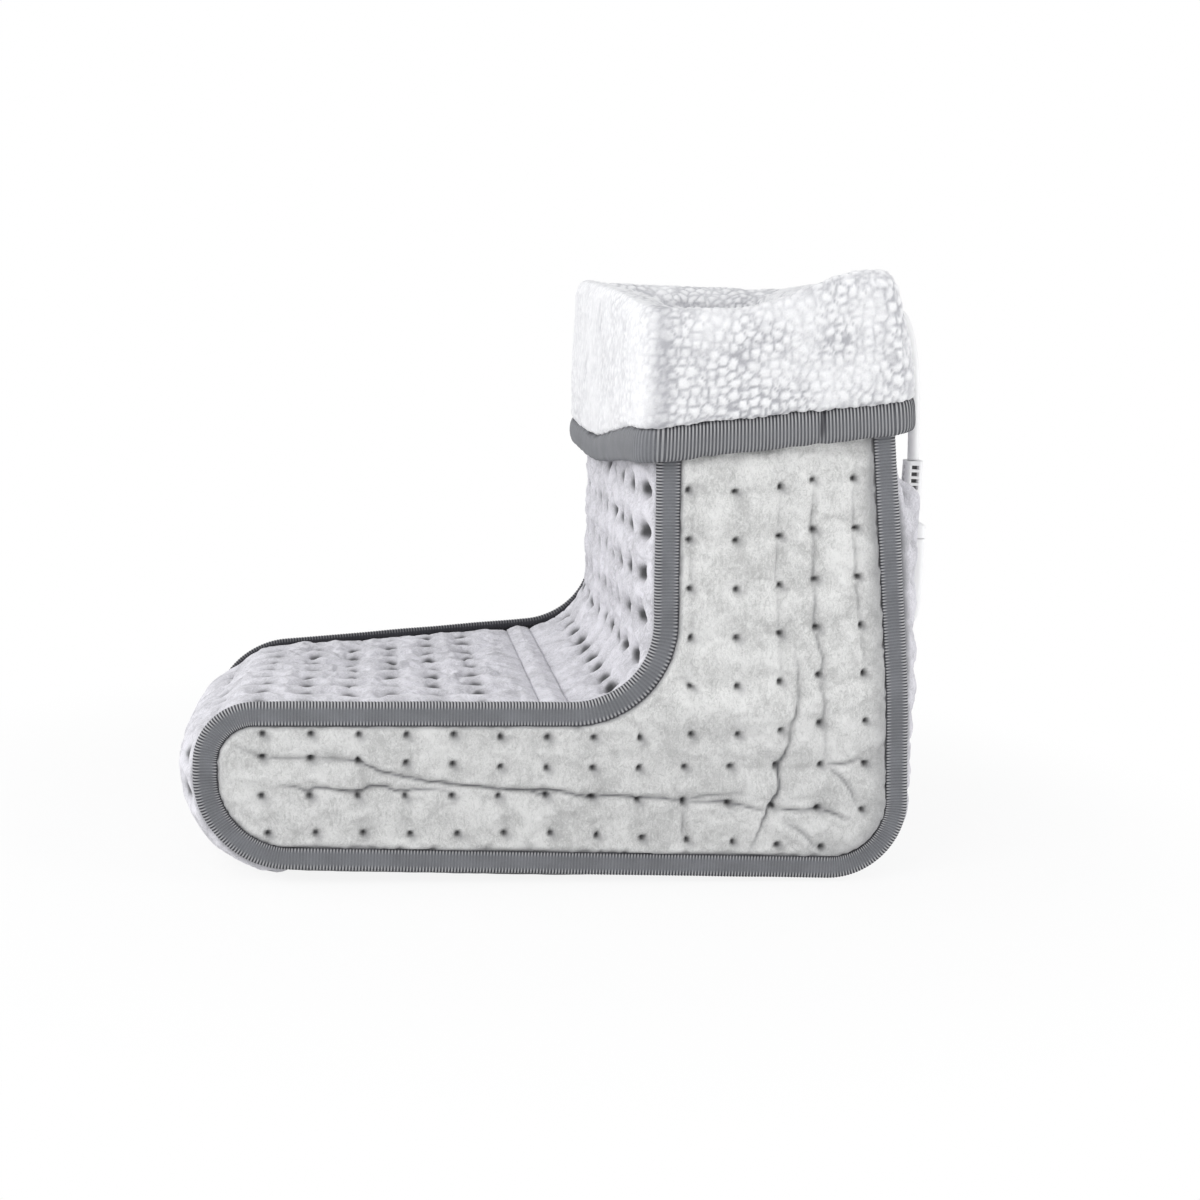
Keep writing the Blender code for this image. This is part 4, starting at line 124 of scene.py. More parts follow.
# Leads, hand control and mains plug
CORD_DIAMETER = 0.0055
CORD_FLOOR_GAP = 0.0002
ROUTE_POINTS = 400
COIL_TURN_PITCH = 0.0064
COIL_MEAN_RADIUS = 0.0340
COIL_TURNS = 7
COIL_LAYERS = 4
COIL_X, COIL_Y, COIL_LIFT = 0.0872, 0.2000, 0.0012
CONTROL_X, CONTROL_Y = -0.0218, 0.1450
CONTROL_LENGTH, CONTROL_HEIGHT = 0.1120, 0.0220
CONTROL_RELIEF_LENGTH = 0.0250
MAINS_PLUG_X, MAINS_RELIEF_Y, MAINS_PLUG_THICKNESS = 0.1692, 0.2130, 0.0137
BOOT_LEAD_ROUTE = (
    (0.1674, -0.0510, 0.2120), (0.1678, -0.0445, 0.2330), (0.1686, -0.0300, 0.2500),
    (0.1698, -0.0080, 0.2590), (0.1717, 0.0130, 0.2510), (0.1737, 0.0270, 0.2300),
    (0.1757, 0.0345, 0.2000), (0.1777, 0.0380, 0.1600), (0.1797, 0.0400, 0.1200),
    (0.1817, 0.0415, 0.0800), (0.1837, 0.0440, 0.0450), (0.1857, 0.0530, 0.0180),
    (0.1857, 0.0680, 0.0062), (0.1792, 0.0860, 0.0030), (0.1662, 0.1040, 0.0030),
    (0.1472, 0.1180, 0.0030), (0.1222, 0.1285, 0.0030), (0.0992, 0.1380, 0.0050))
MAINS_LEAD_ROUTE = (
    (-0.1348, 0.1480, 0.0055), (-0.1498, 0.1600, 0.0031), (-0.1558, 0.1790, 0.0030),
    (-0.1518, 0.1990, 0.0030), (-0.1378, 0.2150, 0.0030), (-0.1158, 0.2260, 0.0030),
    (-0.0828, 0.2340, 0.0030), (-0.0428, 0.2370, 0.0030), (-0.0028, 0.2385, 0.0032),
    (0.0372, 0.2396, 0.0038))
TAIL_ROUTE = (
    (0.1102, 0.2393, 0.0225), (0.1322, 0.2410, 0.0170), (0.1522, 0.2405, 0.0100),
    (0.1652, 0.2330, 0.0072))

# Tufts of the sides: column places, and each foot row's height at toe, middle and heel
TUFT_FIRST_X = -0.1370
TUFT_PITCH_X = 0.0213
FOOT_COLUMNS = 14
FOOT_ROW_X = (-0.1370, 0.0000, 0.1400)
FOOT_ROW_Z = ((0.0245, 0.0238, 0.0158), (0.0415, 0.0415, 0.0347), (0.0598, 0.0543, 0.0571))
SHAFT_COLUMN_X = (0.0502, 0.0717, 0.0921, 0.1072, 0.1263)
SHAFT_COLUMN_RISE = (0.0000, 0.0000, 0.0023, 0.0055, 0.0067)
SHAFT_COLUMN_LEAN = (0.0014, 0.0014, 0.0013, 0.0020, 0.0025)
SHAFT_ROW_Z = 0.1832
SHAFT_ROW_PITCH = 0.0225
SHAFT_ROWS = 6
TOE_ROW_Z = 0.0700
TOE_ROW_END_X = 0.0450
TOE_ROW_DROP, TOE_ROW_DROP_X = 0.0010, -0.0400
LOW_ROW_SHIFT = 0.0030

# Quilting: where the sides' cloth ends, and what tufts, folds and seams do to cloth beside them
SIDE_TOP_Z, SIDE_EDGE_DEPTH, SIDE_LEAST_RISE = 0.2350, 0.0060, 0.0010
TUFT_REACH, TUFT_PULL, TIE_PULL = 0.0062, 0.0012, 0.0010
TUFT_END_ROOM, TUFT_TAPE_ROOM = 0.9, 0.0025
FOLD_WIDTH, FOLD_LINE_WIDTH = 0.0012, 0.0006
PUCKER_PITCH, PUCKER_REACH = 0.0062, 0.0035
PANEL_LEAST = 0.0015
NO_TUFT = 9.0
POINTS_AT_ONCE = 4000

# Simulated cloth, in Blender's own units
CLOTH_QUALITY, CLOTH_POINT_MASS, CLOTH_FRAMES = 6, 0.3, 22
CLOTH_STRETCH_STIFFNESS, CLOTH_SHEAR_STIFFNESS, CLOTH_BENDING_STIFFNESS = 15, 5, 0.02

# Folds pressed into the sides, as lines through (x, z) in millimetres with a depth share
SIDE_FOLDS = (
    (1.0, ((-152, 66), (-138, 60), (-117, 59), (-95, 58), (-86, 54), (-69, 50), (-50, 47),
           (-37, 45.5), (-21, 44), (-1, 43.5), (11, 40.9), (20, 41.8), (33, 40.8), (43, 41),
           (55, 39.7), (65, 41.5), (82, 42.8))),
    (0.9, ((-129, 47), (-122, 46), (-116, 43.5), (-114, 44.8), (-106, 45), (-96, 43.4),
           (-89, 45.7), (-83, 46.2), (-75, 43.6), (-68, 45), (-60, 45), (-53, 43.4))),
    (0.8, ((-31, 43), (-28, 44.8), (-18, 44), (-10, 41.6), (-2, 43.7))),
    (0.8, ((55, 38.6), (67, 38.8), (77, 38), (94, 34.4))),
    (0.9, ((99, 35.8), (110, 34.7), (121, 34.7), (133, 30.6))),
    (0.7, ((120, 56.6), (128, 57.2), (137, 59), (141, 58.3))),
    (0.9, ((103, 112), (105, 102), (106, 96), (106.4, 86), (104, 75), (103, 67), (99, 55),
           (100, 46), (97, 39.7), (94, 32), (90, 23), (86, 14))),
    (0.8, ((108, 188), (108.5, 180), (108.2, 168), (109.4, 159), (109.6, 150), (110.6, 139),
           (112, 122), (115, 111), (117, 105), (116, 96), (118.5, 86), (119, 78), (120, 67),
           (120.3, 57))),
    (0.6, ((126.4, 200), (126.5, 190), (127.6, 168), (130, 146), (133, 124), (136.5, 102))),
    (0.5, ((120, 56.6), (129.5, 49.5), (138, 35))),
    (0.5, ((102, 28.7), (110, 25.4), (120, 16.3), (131, 13.7))),
    (0.5, ((55.5, 38), (55.5, 29), (55.3, 20))),
    (0.3, ((52, 183), (53, 161), (54, 139), (55, 116), (57, 92))),
    (0.3, ((92, 185), (92.6, 163), (93, 141), (95, 120), (97.3, 96.5))),
)

LENGTH = dict(unit='LENGTH', subtype='DISTANCE')
COLOUR = dict(subtype='COLOR', size=3, min=0.0, max=1.0)


class QuiltSettings(bpy.types.PropertyGroup):
    """Sizes and colours of the quilted plush panels."""

    grid: bpy.props.FloatProperty(
        name="Cloth grid", description="Spacing of the simulated cloth's points",
        default=0.0022, **LENGTH)
    puff: bpy.props.FloatProperty(
        name="Puff", description="How far the filling lifts the cloth between tufts",
        default=0.0019, **LENGTH)
    pit_depth: bpy.props.FloatProperty(
        name="Tuft depth", description="Depth of the hole at each tuft of a side",
        default=0.0022, **LENGTH)
    pit_radius: bpy.props.FloatProperty(
        name="Tuft radius", description="Radius of the hole at each tuft of a side",
        default=0.0015, **LENGTH)
    gusset_pit_depth: bpy.props.FloatProperty(
        name="Gusset tuft depth", description="Depth of the dimple at each tuft of the gusset",
        default=0.0040, **LENGTH)
    gusset_pit_radius: bpy.props.FloatProperty(
        name="Gusset tuft radius", description="Radius of the dimple at each tuft of the gusset",
        default=0.0029, **LENGTH)
    gusset_puff: bpy.props.FloatProperty(
        name="Gusset puff", description="How far the filling lifts the gusset between tufts",
        default=0.0026, **LENGTH)
    wrinkle: bpy.props.FloatProperty(
        name="Wrinkles", description="Height of the soft folds over shin and instep",
        default=0.00045, **LENGTH)
    growth: bpy.props.FloatProperty(
        name="Cloth ease", description="Share by which the cloth is cut larger than the panel",
        default=0.035)
    pressure: bpy.props.FloatProperty(
        name="Filling pressure", description="Pressure of the filling on the cloth", default=4.0)
    cap: bpy.props.FloatProperty(
        name="Furthest move", description="Limit on how far a point of the cloth may move",
        default=0.0030, **LENGTH)
    fold_depth: bpy.props.FloatProperty(
        name="Fold depth", description="Depth of the folds pressed into the sides",
        default=0.0016, **LENGTH)
    side_colour: bpy.props.FloatVectorProperty(
        name="Side plush", description="Colour of the plush on the sides",
        default=(0.68, 0.68, 0.67), **COLOUR)
    gusset_colour: bpy.props.FloatVectorProperty(
        name="Gusset plush", description="Colour of the plush over shin, instep and back",
        default=(0.68, 0.67, 0.71), **COLOUR)
    # Colour painted into the plush as shade in the pits, folds and along seams.
    painted_shade_colour: bpy.props.FloatVectorProperty(
        name="Painted pile shade", description="Colour of the shade painted on the plush",
        default=(0.22, 0.22, 0.23), **COLOUR)


class TrimSettings(bpy.types.PropertyGroup):
    """Sizes and colours of the ribbed tapes."""

    rib_pitch: bpy.props.FloatProperty(
        name="Rib pitch", description="Distance between the ribs of a tape",
        default=0.00145, **LENGTH)
    rib_height: bpy.props.FloatProperty(
        name="Rib height", description="How far a rib stands over the groove beside it",
        default=0.00022, **LENGTH)
    colour: bpy.props.FloatVectorProperty(
        name="Tape", description="Colour of the tape", default=(0.150, 0.155, 0.168), **COLOUR)
    # A painted highlight on the rib crests.
    rib_highlight_colour: bpy.props.FloatVectorProperty(
        name="Tape rib highlights", description="Colour of a rib's crest at the tape's edges",
        default=(0.42, 0.42, 0.43), **COLOUR)
    # Painted shade in the grooves and inside the fold.
    groove_shade_colour: bpy.props.FloatVectorProperty(
        name="Tape groove shade", description="Colour between the ribs and inside the fold",
        default=(0.035, 0.035, 0.042), **COLOUR)


class FleeceSettings(bpy.types.PropertyGroup):
    """Sizes and colours of the curly fleece."""

    curl: bpy.props.FloatProperty(
        name="Curl size", description="Width of one curl of the fleece", default=0.0046, **LENGTH)
    curl_height: bpy.props.FloatProperty(
        name="Curl height", description="How far a curl stands out", default=0.0016, **LENGTH)
    grid: bpy.props.FloatProperty(
        name="Surface grid", description="Spacing of the cuff's surface points",
        default=0.00095, **LENGTH)
    colour: bpy.props.FloatVectorProperty(
        name="Fleece", description="Colour of the fleece", default=(0.94, 0.94, 0.95), **COLOUR)
    # Colour of the shade painted between the curls.
    crevice_shade_colour: bpy.props.FloatVectorProperty(
        name="Fleece shade", description="Colour between the curls",
        default=(0.44, 0.44, 0.47), **COLOUR)


class FittingSettings(bpy.types.PropertyGroup):
    """Colours of the moulded fittings and the leads."""

    white_colour: bpy.props.FloatVectorProperty(
        name="White plastic", description="Colour of the connector", default=(0.93, 0.93, 0.93),
        **COLOUR)
    grey_colour: bpy.props.FloatVectorProperty(
        name="Grey plastic", description="Colour of the hand control",
        default=(0.32, 0.33, 0.35), **COLOUR)
    lead_colour: bpy.props.FloatVectorProperty(
        name="Lead", description="Colour of the leads and their strain reliefs",
        default=(0.90, 0.90, 0.90), **COLOUR)


class StageSettings(bpy.types.PropertyGroup):
    """Camera, lamps and sky."""

    camera_place: bpy.props.FloatVectorProperty(
        name="Camera", description="Place of the camera", default=(-0.1547, -1.1195, 0.3203),
        subtype='TRANSLATION', unit='LENGTH', size=3)
    camera_target: bpy.props.FloatVectorProperty(
        name="Target", description="Point that the camera looks at",
        default=(0.0122, -0.1000, 0.1326), subtype='TRANSLATION', unit='LENGTH', size=3)
    camera_roll: bpy.props.FloatProperty(
        name="Roll", description="Turn of the camera about its own axis",
        default=math.radians(2.4), subtype='ANGLE')
    lens: bpy.props.FloatProperty(
        name="Lens", description="Focal length in millimetres", default=70.09)
    key_power: bpy.props.FloatProperty(
        name="Key lamp", description="Power of the large lamp in watts", default=10.0)
    fill_power: bpy.props.FloatProperty(
        name="Fill lamps", description="Power in watts that the three other lamps are set from",
        default=3.0)
    sky: bpy.props.FloatProperty(
        name="Sky", description="Strength of the even light from all round", default=0.55)


# ---- numbers on arrays -------------------------------------------------------------

def scrambled(lattice, seed):
    """Random share from 0 to 1 for each row of whole numbers, multiplied, mixed and cut short."""
    total = np.full(lattice.shape[:-1], (seed * 2654435761) % 2 ** 32, dtype=np.uint32)
    for axis, factor in enumerate((0x8DA6B343, 0xD8163841, 0xCB1AB31F)[:lattice.shape[-1]]):
        total ^= (lattice[..., axis] & 0xFFFFFFFF).astype(np.uint32) * np.uint32(factor)
        total ^= total >> np.uint32(15)
        total *= np.uint32(0x2C1B3C6D)
        total ^= total >> np.uint32(12)
    return total / 2.0 ** 32


def soft_noise(points, cell, seed):
    """Smooth noise from -1 to 1: corner values of cubic cells, blended with eased shares."""
    scaled = np.asarray(points) / cell
    base = np.floor(scaled).astype(np.int64)
    share = eased(scaled - base)
    total = np.zeros(scaled.shape[:-1])
    for corner in np.ndindex((2,) * scaled.shape[-1]):
        weight = np.prod(np.where(np.array(corner), share, 1 - share), axis=-1)
        total += weight * scrambled(base + np.array(corner), seed)
    return total * 2 - 1


def eased(share):
    """A share kept from 0 to 1 and smoothed at both ends: 3 squares less 2 cubes."""
    share = np.clip(share, 0.0, 1.0)
    return share * share * (3 - 2 * share)


def curl_distance(points, cell, seed):
    """Distances, in cells, to the nearest and second nearest of one random point per cell."""
    scaled = np.asarray(points) / cell
    base = np.floor(scaled).astype(np.int64)
    nearest = np.full(scaled.shape[:-1], 9.0)
    second = nearest.copy()
    for offset in np.ndindex((3,) * scaled.shape[-1]):
        corner = base + np.array(offset) - 1
        jitter = np.stack([scrambled(corner, seed + 7 * axis)
                           for axis in range(scaled.shape[-1])], axis=-1)
        apart = np.linalg.norm(scaled - corner - 0.1 - 0.8 * jitter, axis=-1)
        second = np.minimum(second, np.maximum(nearest, apart))
        nearest = np.minimum(nearest, apart)
    return nearest, second


def doubled(grid, axis):
    """A grid with a new row between each two: 9/16 of both neighbours less 1/16 of the next."""
    grid = np.moveaxis(np.asarray(grid, float), axis, 0)
    padded = extended(grid)
    found = np.empty((2 * len(grid) - 1,) + grid.shape[1:])
    found[0::2] = grid
    found[1::2] = (9 * (padded[1:-2] + padded[2:-1]) - padded[:-3] - padded[3:]) / 16
    return np.moveaxis(found, 0, axis)


def extended(points):
    """Rows of points with one more at each end, in line with the two beside it."""
    return np.concatenate([2 * points[:1] - points[1:2], points, 2 * points[-1:] - points[-2:-1]])


def travelled_along(line):
    """Distance travelled from a line's start to each of its points."""
    return np.concatenate([[0.0], np.cumsum(np.linalg.norm(np.diff(line, axis=0), axis=1))])


def steps_from_ends(count):
    """For each place in a row, the number of steps to the row's nearer end."""
    return np.minimum(np.arange(count), np.arange(count)[::-1])


def through(points, count):
    """Evenly spread points on a smooth curve (Catmull-Rom, chord-length steps) through points."""
    points = np.asarray(points, float)
    chain = extended(points)
    steps = np.sqrt(np.linalg.norm(np.diff(chain, axis=0), axis=1))
    knots = np.concatenate([[0.0], np.cumsum(steps)])
    fine = 24
    at = (knots[1:-2, None] + np.diff(knots[1:-1])[:, None] * np.arange(fine) / fine).ravel()
    at = np.append(at, knots[-2])
    piece = np.clip(np.searchsorted(knots, at, side='right') - 1, 1, len(points) - 1)
    p = [chain[piece + shift] for shift in (-1, 0, 1, 2)]
    t = [knots[piece + shift] for shift in (-1, 0, 1, 2)]

    def mixed(a, b, first, last):
        share = ((at - first) / (last - first))[:, None]
        return a * (1 - share) + b * share

    low, mid, high = (mixed(p[i], p[i + 1], t[i], t[i + 1]) for i in range(3))
    near, far = mixed(low, mid, t[0], t[2]), mixed(mid, high, t[1], t[3])
    return evenly(mixed(near, far, t[1], t[2]), count)


def evenly(dense, count):
    """The given number of points at even steps along a dense line."""
    travelled = travelled_along(dense)
    wanted = np.linspace(0.0, travelled[-1], count)
    return np.stack([np.interp(wanted, travelled, dense[:, axis])
                     for axis in range(dense.shape[1])], axis=-1)


def line_distance(points, line):
    """Least distance from each point to a line of straight pieces, and the share along it."""
    best = np.full(len(points), 1.0)
    share = np.zeros(len(points))
    for index, (start, end) in enumerate(zip(line[:-1], line[1:])):
        span = end - start
        at = np.clip((points - start) @ span / (span @ span), 0, 1)
        apart = np.linalg.norm(points - start - at[:, None] * span, axis=1)
        nearer = apart < best
        best[nearer] = apart[nearer]
        share[nearer] = (index + at[nearer]) / (len(line) - 1)
    return best, share


def grid_normals(grid, closed_rows=False):
    """Unit normals of a grid of points: the cross product of its two central differences."""
    if closed_rows:
        down = np.roll(grid, -1, axis=0) - np.roll(grid, 1, axis=0)
    else:
        down = np.gradient(grid, axis=0)
    normal = np.cross(down, np.gradient(grid, axis=1))
    return normal / np.maximum(np.linalg.norm(normal, axis=-1, keepdims=True), 1e-12)


# ---- the boot's outline ------------------------------------------------------------

def outline_counts(corners, radii):
    """Steps of about half a quilt pitch in each straight run and arc, from their lengths."""
    corners = np.array(corners)
    ahead = np.diff(corners, axis=0)
    lengths = np.linalg.norm(ahead, axis=1)
    ahead = ahead / lengths[:, None]
    turn = np.arccos(np.clip(np.sum(ahead[:-1] * ahead[1:], axis=1), -1, 1))
    reach = np.concatenate([[0.0], np.array(radii) * np.tan(turn / 2), [0.0]])
    runs = lengths - reach[:-1] - reach[1:]
    found = []
    for index, run in enumerate(runs):
        found.append(max(1, round(run / (QUILT_PITCH / 2))))
        if index < len(radii):
            found.append(max(1, round(radii[index] * turn[index] / (QUILT_PITCH / 2))))
    return found


def outline_path(corners, radii, counts):
    """Dense points and outward normals of straight runs joined by arcs.

    An arc's centre lies on its corner's bisector, radius / cos(half the turn) away.
    """
    corners = np.array(corners)
    places, normals = [corners[:1]], []
    at = corners[0]
    for index in range(len(radii) + 1):
        ahead = corners[index + 1] - corners[index]
        ahead = ahead / np.linalg.norm(ahead)
        normal = np.array((ahead[1], -ahead[0]))
        end = corners[index + 1]
        if index < len(radii):
            after = corners[index + 2] - corners[index + 1]
            after = after / np.linalg.norm(after)
            turn = math.acos(float(np.clip(ahead @ after, -1, 1)))
            end = corners[index + 1] - ahead * radii[index] * math.tan(turn / 2)
        steps = counts[2 * index] * STATION_FINE
        share = np.arange(1, steps + 1) / steps
        if not normals:
            normals.append(normal[None])
        places.append(at + (end - at) * share[:, None])
        normals.append(np.repeat(normal[None], steps, axis=0))
        at = end
        if index < len(radii):
            way = math.copysign(1.0, ahead[0] * after[1] - ahead[1] * after[0])
            centre = end - way * normal * radii[index]
            steps = counts[2 * index + 1] * STATION_FINE
            angle = way * turn * np.arange(1, steps + 1) / steps
            turned = np.stack([normal[0] * np.cos(angle) - normal[1] * np.sin(angle),
                               normal[0] * np.sin(angle) + normal[1] * np.cos(angle)], axis=-1)
            places.append(centre + way * radii[index] * turned)
            normals.append(turned)
            at = places[-1][-1]
    return np.concatenate(places), np.concatenate(normals)


COUNTS = outline_counts(LEFT_CORNERS, LEFT_RADII)
LEFT_PLACES, LEFT_NORMALS = outline_path(LEFT_CORNERS, LEFT_RADII, COUNTS)
RIGHT_PLACES, RIGHT_NORMALS = outline_path(RIGHT_CORNERS, RIGHT_RADII, COUNTS)
STATIONS = np.arange(len(LEFT_PLACES)) / STATION_FINE
(AT_TOP, ANKLE_START, ANKLE_END, TOE_START, TOE_TOP_END, TOE_BOTTOM_START, TOE_END,
 HEEL_START, HEEL_END, BEND_START, BEND_END, AT_END) = np.cumsum([0] + COUNTS).tolist()
TRAVELLED = travelled_along(LEFT_PLACES)


def rail(station, y):
    """Points and unit normals (x, z) of the outline, blended from the left to the right side."""
    share = np.clip(np.asarray(y) / BOOT_WIDTH + 0.5, 0, 1)

    def blended(left, right):
        return (np.interp(station, STATIONS, left) * (1 - share)
                + np.interp(station, STATIONS, right) * share)

    x, z, nx, nz = (blended(*pair) for pair in (
        (LEFT_PLACES[:, 0], RIGHT_PLACES[:, 0]), (LEFT_PLACES[:, 1], RIGHT_PLACES[:, 1]),
        (LEFT_NORMALS[:, 0], RIGHT_NORMALS[:, 0]), (LEFT_NORMALS[:, 1], RIGHT_NORMALS[:, 1])))
    size = np.hypot(nx, nz)
    return x, z, nx / size, nz / size


def over_outline(station, y, height):
    """Points a height over the outline along its normal, never below the floor."""
    x, z, nx, nz = rail(station, y)
    y = np.broadcast_to(y, x.shape)
    return np.stack([x + nx * height, y, np.maximum(z + nz * height, 0.0)], axis=-1)


def back_station(z):
    """The station on the back of the left side at a height."""
    first = HEEL_END * STATION_FINE
    return float(np.interp(z, LEFT_PLACES[first:, 1], STATIONS[first:]))


# The gusset's height over its seam, in the middle, at stations along the outline
CROWN_STATIONS = (
    (AT_TOP, 0.0055), (ANKLE_START / 2, 0.0098), (ANKLE_START, 0.0110),
    ((ANKLE_START + ANKLE_END) / 2, 0.0060), (ANKLE_END, 0.0010),
    (TOE_START - (TOE_START - ANKLE_END) / 4, 0.0010), (TOE_START, 0.0030),
    ((TOE_START + TOE_TOP_END) / 2, 0.0022), (TOE_TOP_END, 0.0115), (TOE_END, 0.0140),
    ((TOE_END + HEEL_START) / 2, 0.0140),
    (HEEL_START, 0.0080), (HEEL_END, 0.0110), (back_station(SOCKET_FLAT_Z[0]), 0.0163),
    (back_station(SOCKET_FLAT_Z[1]), 0.0200), (back_station(0.1950), 0.0090), (AT_END, 0.0090))


def bow(share):
    """A boxy arch across the width: the cube root of 1 less the share's cube."""
    return np.cbrt(np.maximum(0.0, 1 - np.abs(share) ** 3))


def crown(station, y):
    """Height of the gusset over its seam: a rise set along the outline times the arch."""
    rise = np.interp(station, *zip(*CROWN_STATIONS))
    return rise * bow(y / GUSSET_FACE)


def inner_swell(station, y):
    """The crown as the inside shows it: none along the sole, growing round toe and heel."""
    marks = (AT_TOP, TOE_BOTTOM_START, TOE_END, HEEL_START, HEEL_END, AT_END)
    return crown(station, y) * np.interp(station, marks, (1, 1, 0, 0, 1, 1))


# ---- pieces ------------------------------------------------------------------------

def grid_faces(rows, columns, closed_rows=False, closed_columns=False):
    """Quads of a grid as point numbers, and each corner's own (row, column) without wrapping."""
    row, column = np.meshgrid(np.arange(rows if closed_rows else rows - 1),
                              np.arange(columns if closed_columns else columns - 1), indexing='ij')
    corners = np.stack([np.stack([row + a, column + b], axis=-1)
                        for a, b in ((0, 0), (1, 0), (1, 1), (0, 1))], axis=2).reshape(-1, 4, 2)
    quads = (corners[..., 0] % rows) * columns + corners[..., 1] % columns
    return quads, corners


def piece(name, points, quads, finish, body="boot", replaces=(), slot=None, corner_uv=None,
          shares=None, extra_faces=()):
    """A smooth mesh object that rides on a body, with an optional UV map and point values."""
    points = np.asarray(points, float).reshape(-1, 3)
    quads = np.asarray(quads, np.int64)
    mesh = bpy.data.meshes.new(name)
    extra = [np.asarray(face, np.int64) for face in extra_faces]
    loops = np.concatenate([quads.ravel()] + extra)
    sizes = np.array([quads.shape[1]] * len(quads) + [len(face) for face in extra])
    mesh.vertices.add(len(points))
    mesh.vertices.foreach_set("co", points.astype(np.float32).ravel())
    mesh.loops.add(len(loops))
    mesh.loops.foreach_set("vertex_index", loops.astype(np.int32))
    mesh.polygons.add(len(sizes))
    mesh.polygons.foreach_set("loop_start",
                              np.concatenate([[0], np.cumsum(sizes)[:-1]]).astype(np.int32))
    mesh.update(calc_edges=True)
    if corner_uv is not None:
        layer = mesh.uv_layers.new(name="surface")
        flat = np.zeros((len(loops), 2), np.float32)
        flat[:quads.size] = np.asarray(corner_uv).reshape(-1, 2)
        layer.uv.foreach_set("vector", flat.ravel())
    for label, values in (shares or {}).items():
        attribute = mesh.attributes.new(label, 'FLOAT', 'POINT')
        attribute.data.foreach_set("value", np.asarray(values, np.float32).ravel())
    mesh.validate()
    mesh.shade_smooth()
    mesh.materials.append(finish)
    made = bpy.data.objects.new(name, mesh)
    bpy.context.scene.collection.objects.link(made)
    if body:
        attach(made, body)
    if replaces:
        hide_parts(*replaces)
    return made


def walled(front, back, quads):
    """A patch and its back layer as one closed surface: walls stand on edges used once."""
    count = len(front)
    edges = np.concatenate([quads[:, [a, (a + 1) % 4]] for a in range(4)])
    ordered = np.sort(edges, axis=1)
    key = ordered[:, 0] * count + ordered[:, 1]
    _, first, uses = np.unique(key, return_index=True, return_counts=True)
    rim = edges[first[uses == 1]]
    walls = np.stack([rim[:, 1], rim[:, 0], rim[:, 0] + count, rim[:, 1] + count], axis=1)
    return (np.concatenate([front, back]),
            np.concatenate([quads, quads[:, ::-1] + count, walls]))


def loft(rings, closed_rows=False):
    """Points and quads through closed rings of equal count, with a flat cap at each end."""
    rings = np.asarray(rings, float)
    rows, columns = rings.shape[:2]
    quads, corners = grid_faces(rows, columns, closed_rows, True)
    caps = []
    if not closed_rows:
        caps = [np.arange(columns), (rows - 1) * columns + np.arange(columns)[::-1]]
    return rings.reshape(-1, 3), quads, corners, caps


def outwards(made):
    """Turns all faces of a closed mesh outwards."""
    shaped = bmesh.new()
    shaped.from_mesh(made.data)
    bmesh.ops.recalc_face_normals(shaped, faces=shaped.faces)
    shaped.to_mesh(made.data)
    shaped.free()
    return made


def settled(points, quads, held, settings):
    """The cloth after its filling has pressed it out: Blender's Cloth on the patch, applied.

    Held points stay, the cloth is cut a little larger than its place, and no point ends
    further from its start than the cap.
    """
    points = np.asarray(points, float)
    scene = bpy.context.scene
    mesh = bpy.data.meshes.new("cloth")
    mesh.from_pydata(points.tolist(), [], quads.tolist())
    cloth = bpy.data.objects.new("cloth", mesh)
    scene.collection.objects.link(cloth)
    group = cloth.vertex_groups.new(name="held")
    group.add(np.flatnonzero(held).tolist(), 1.0, 'REPLACE')
    cloth_modifier = cloth.modifiers.new("Cloth", 'CLOTH')
    sewn = cloth_modifier.settings
    sewn.vertex_group_mass = "held"
    sewn.quality = CLOTH_QUALITY
    sewn.mass = CLOTH_POINT_MASS
    sewn.tension_stiffness = sewn.compression_stiffness = CLOTH_STRETCH_STIFFNESS
    sewn.shear_stiffness = CLOTH_SHEAR_STIFFNESS
    sewn.bending_stiffness = CLOTH_BENDING_STIFFNESS
    sewn.use_pressure = True
    sewn.uniform_pressure_force = settings.pressure
    sewn.use_pressure_volume = True
    sewn.target_volume = 0.0
    sewn.shrink_min = -settings.growth
    sewn.effector_weights.gravity = 0.0
    cloth_modifier.collision_settings.use_collision = False
    cloth_modifier.point_cache.frame_start = 1
    cloth_modifier.point_cache.frame_end = CLOTH_FRAMES
    for number in range(1, CLOTH_FRAMES + 1):
        scene.frame_set(number)
    evaluated = cloth.evaluated_get(bpy.context.evaluated_depsgraph_get())
    moved = np.empty(len(points) * 3, np.float32)
    evaluated.data.vertices.foreach_get("co", moved)
    scene.frame_set(1)
    bpy.data.objects.remove(cloth, do_unlink=True)
    bpy.data.meshes.remove(mesh)
    shift = moved.reshape(-1, 3) - points
    length = np.linalg.norm(shift, axis=1, keepdims=True)
    allowed = settings.cap * np.tanh(length / settings.cap)
    return points + shift * allowed / np.maximum(length, 1e-9)


# ---- finishes ----------------------------------------------------------------------

class Signal:
    """A socket's value; an expression on it adds the Math nodes that work it out."""

    def __init__(self, finish, socket):
        self.finish, self.socket = finish, socket

    def maths(self, operation, *values):
        node = self.finish.add('ShaderNodeMath', {"operation": operation},
                               dict(enumerate(values)))
        return Signal(self.finish, node.outputs[0])

    def __add__(self, other):
        return self.maths('ADD', self, other)

    __radd__ = __add__

    def __sub__(self, other):
        return self.maths('SUBTRACT', self, other)

    def __rsub__(self, other):
        return self.maths('SUBTRACT', other, self)

    def __mul__(self, other):
        return self.maths('MULTIPLY', self, other)

    __rmul__ = __mul__

    def clipped(self):
        return self.maths('MINIMUM', self.maths('MAXIMUM', self, 0.0), 1.0)

    def step(self, low, high):
        """0 below low, 1 above high and a smooth change between."""
        node = self.finish.add('ShaderNodeMapRange', {"interpolation_type": 'SMOOTHSTEP'},
                               {"Value": self, "From Min": low, "From Max": high})
        return Signal(self.finish, node.outputs[0])

    def wave(self):
        return self.maths('SINE', self)


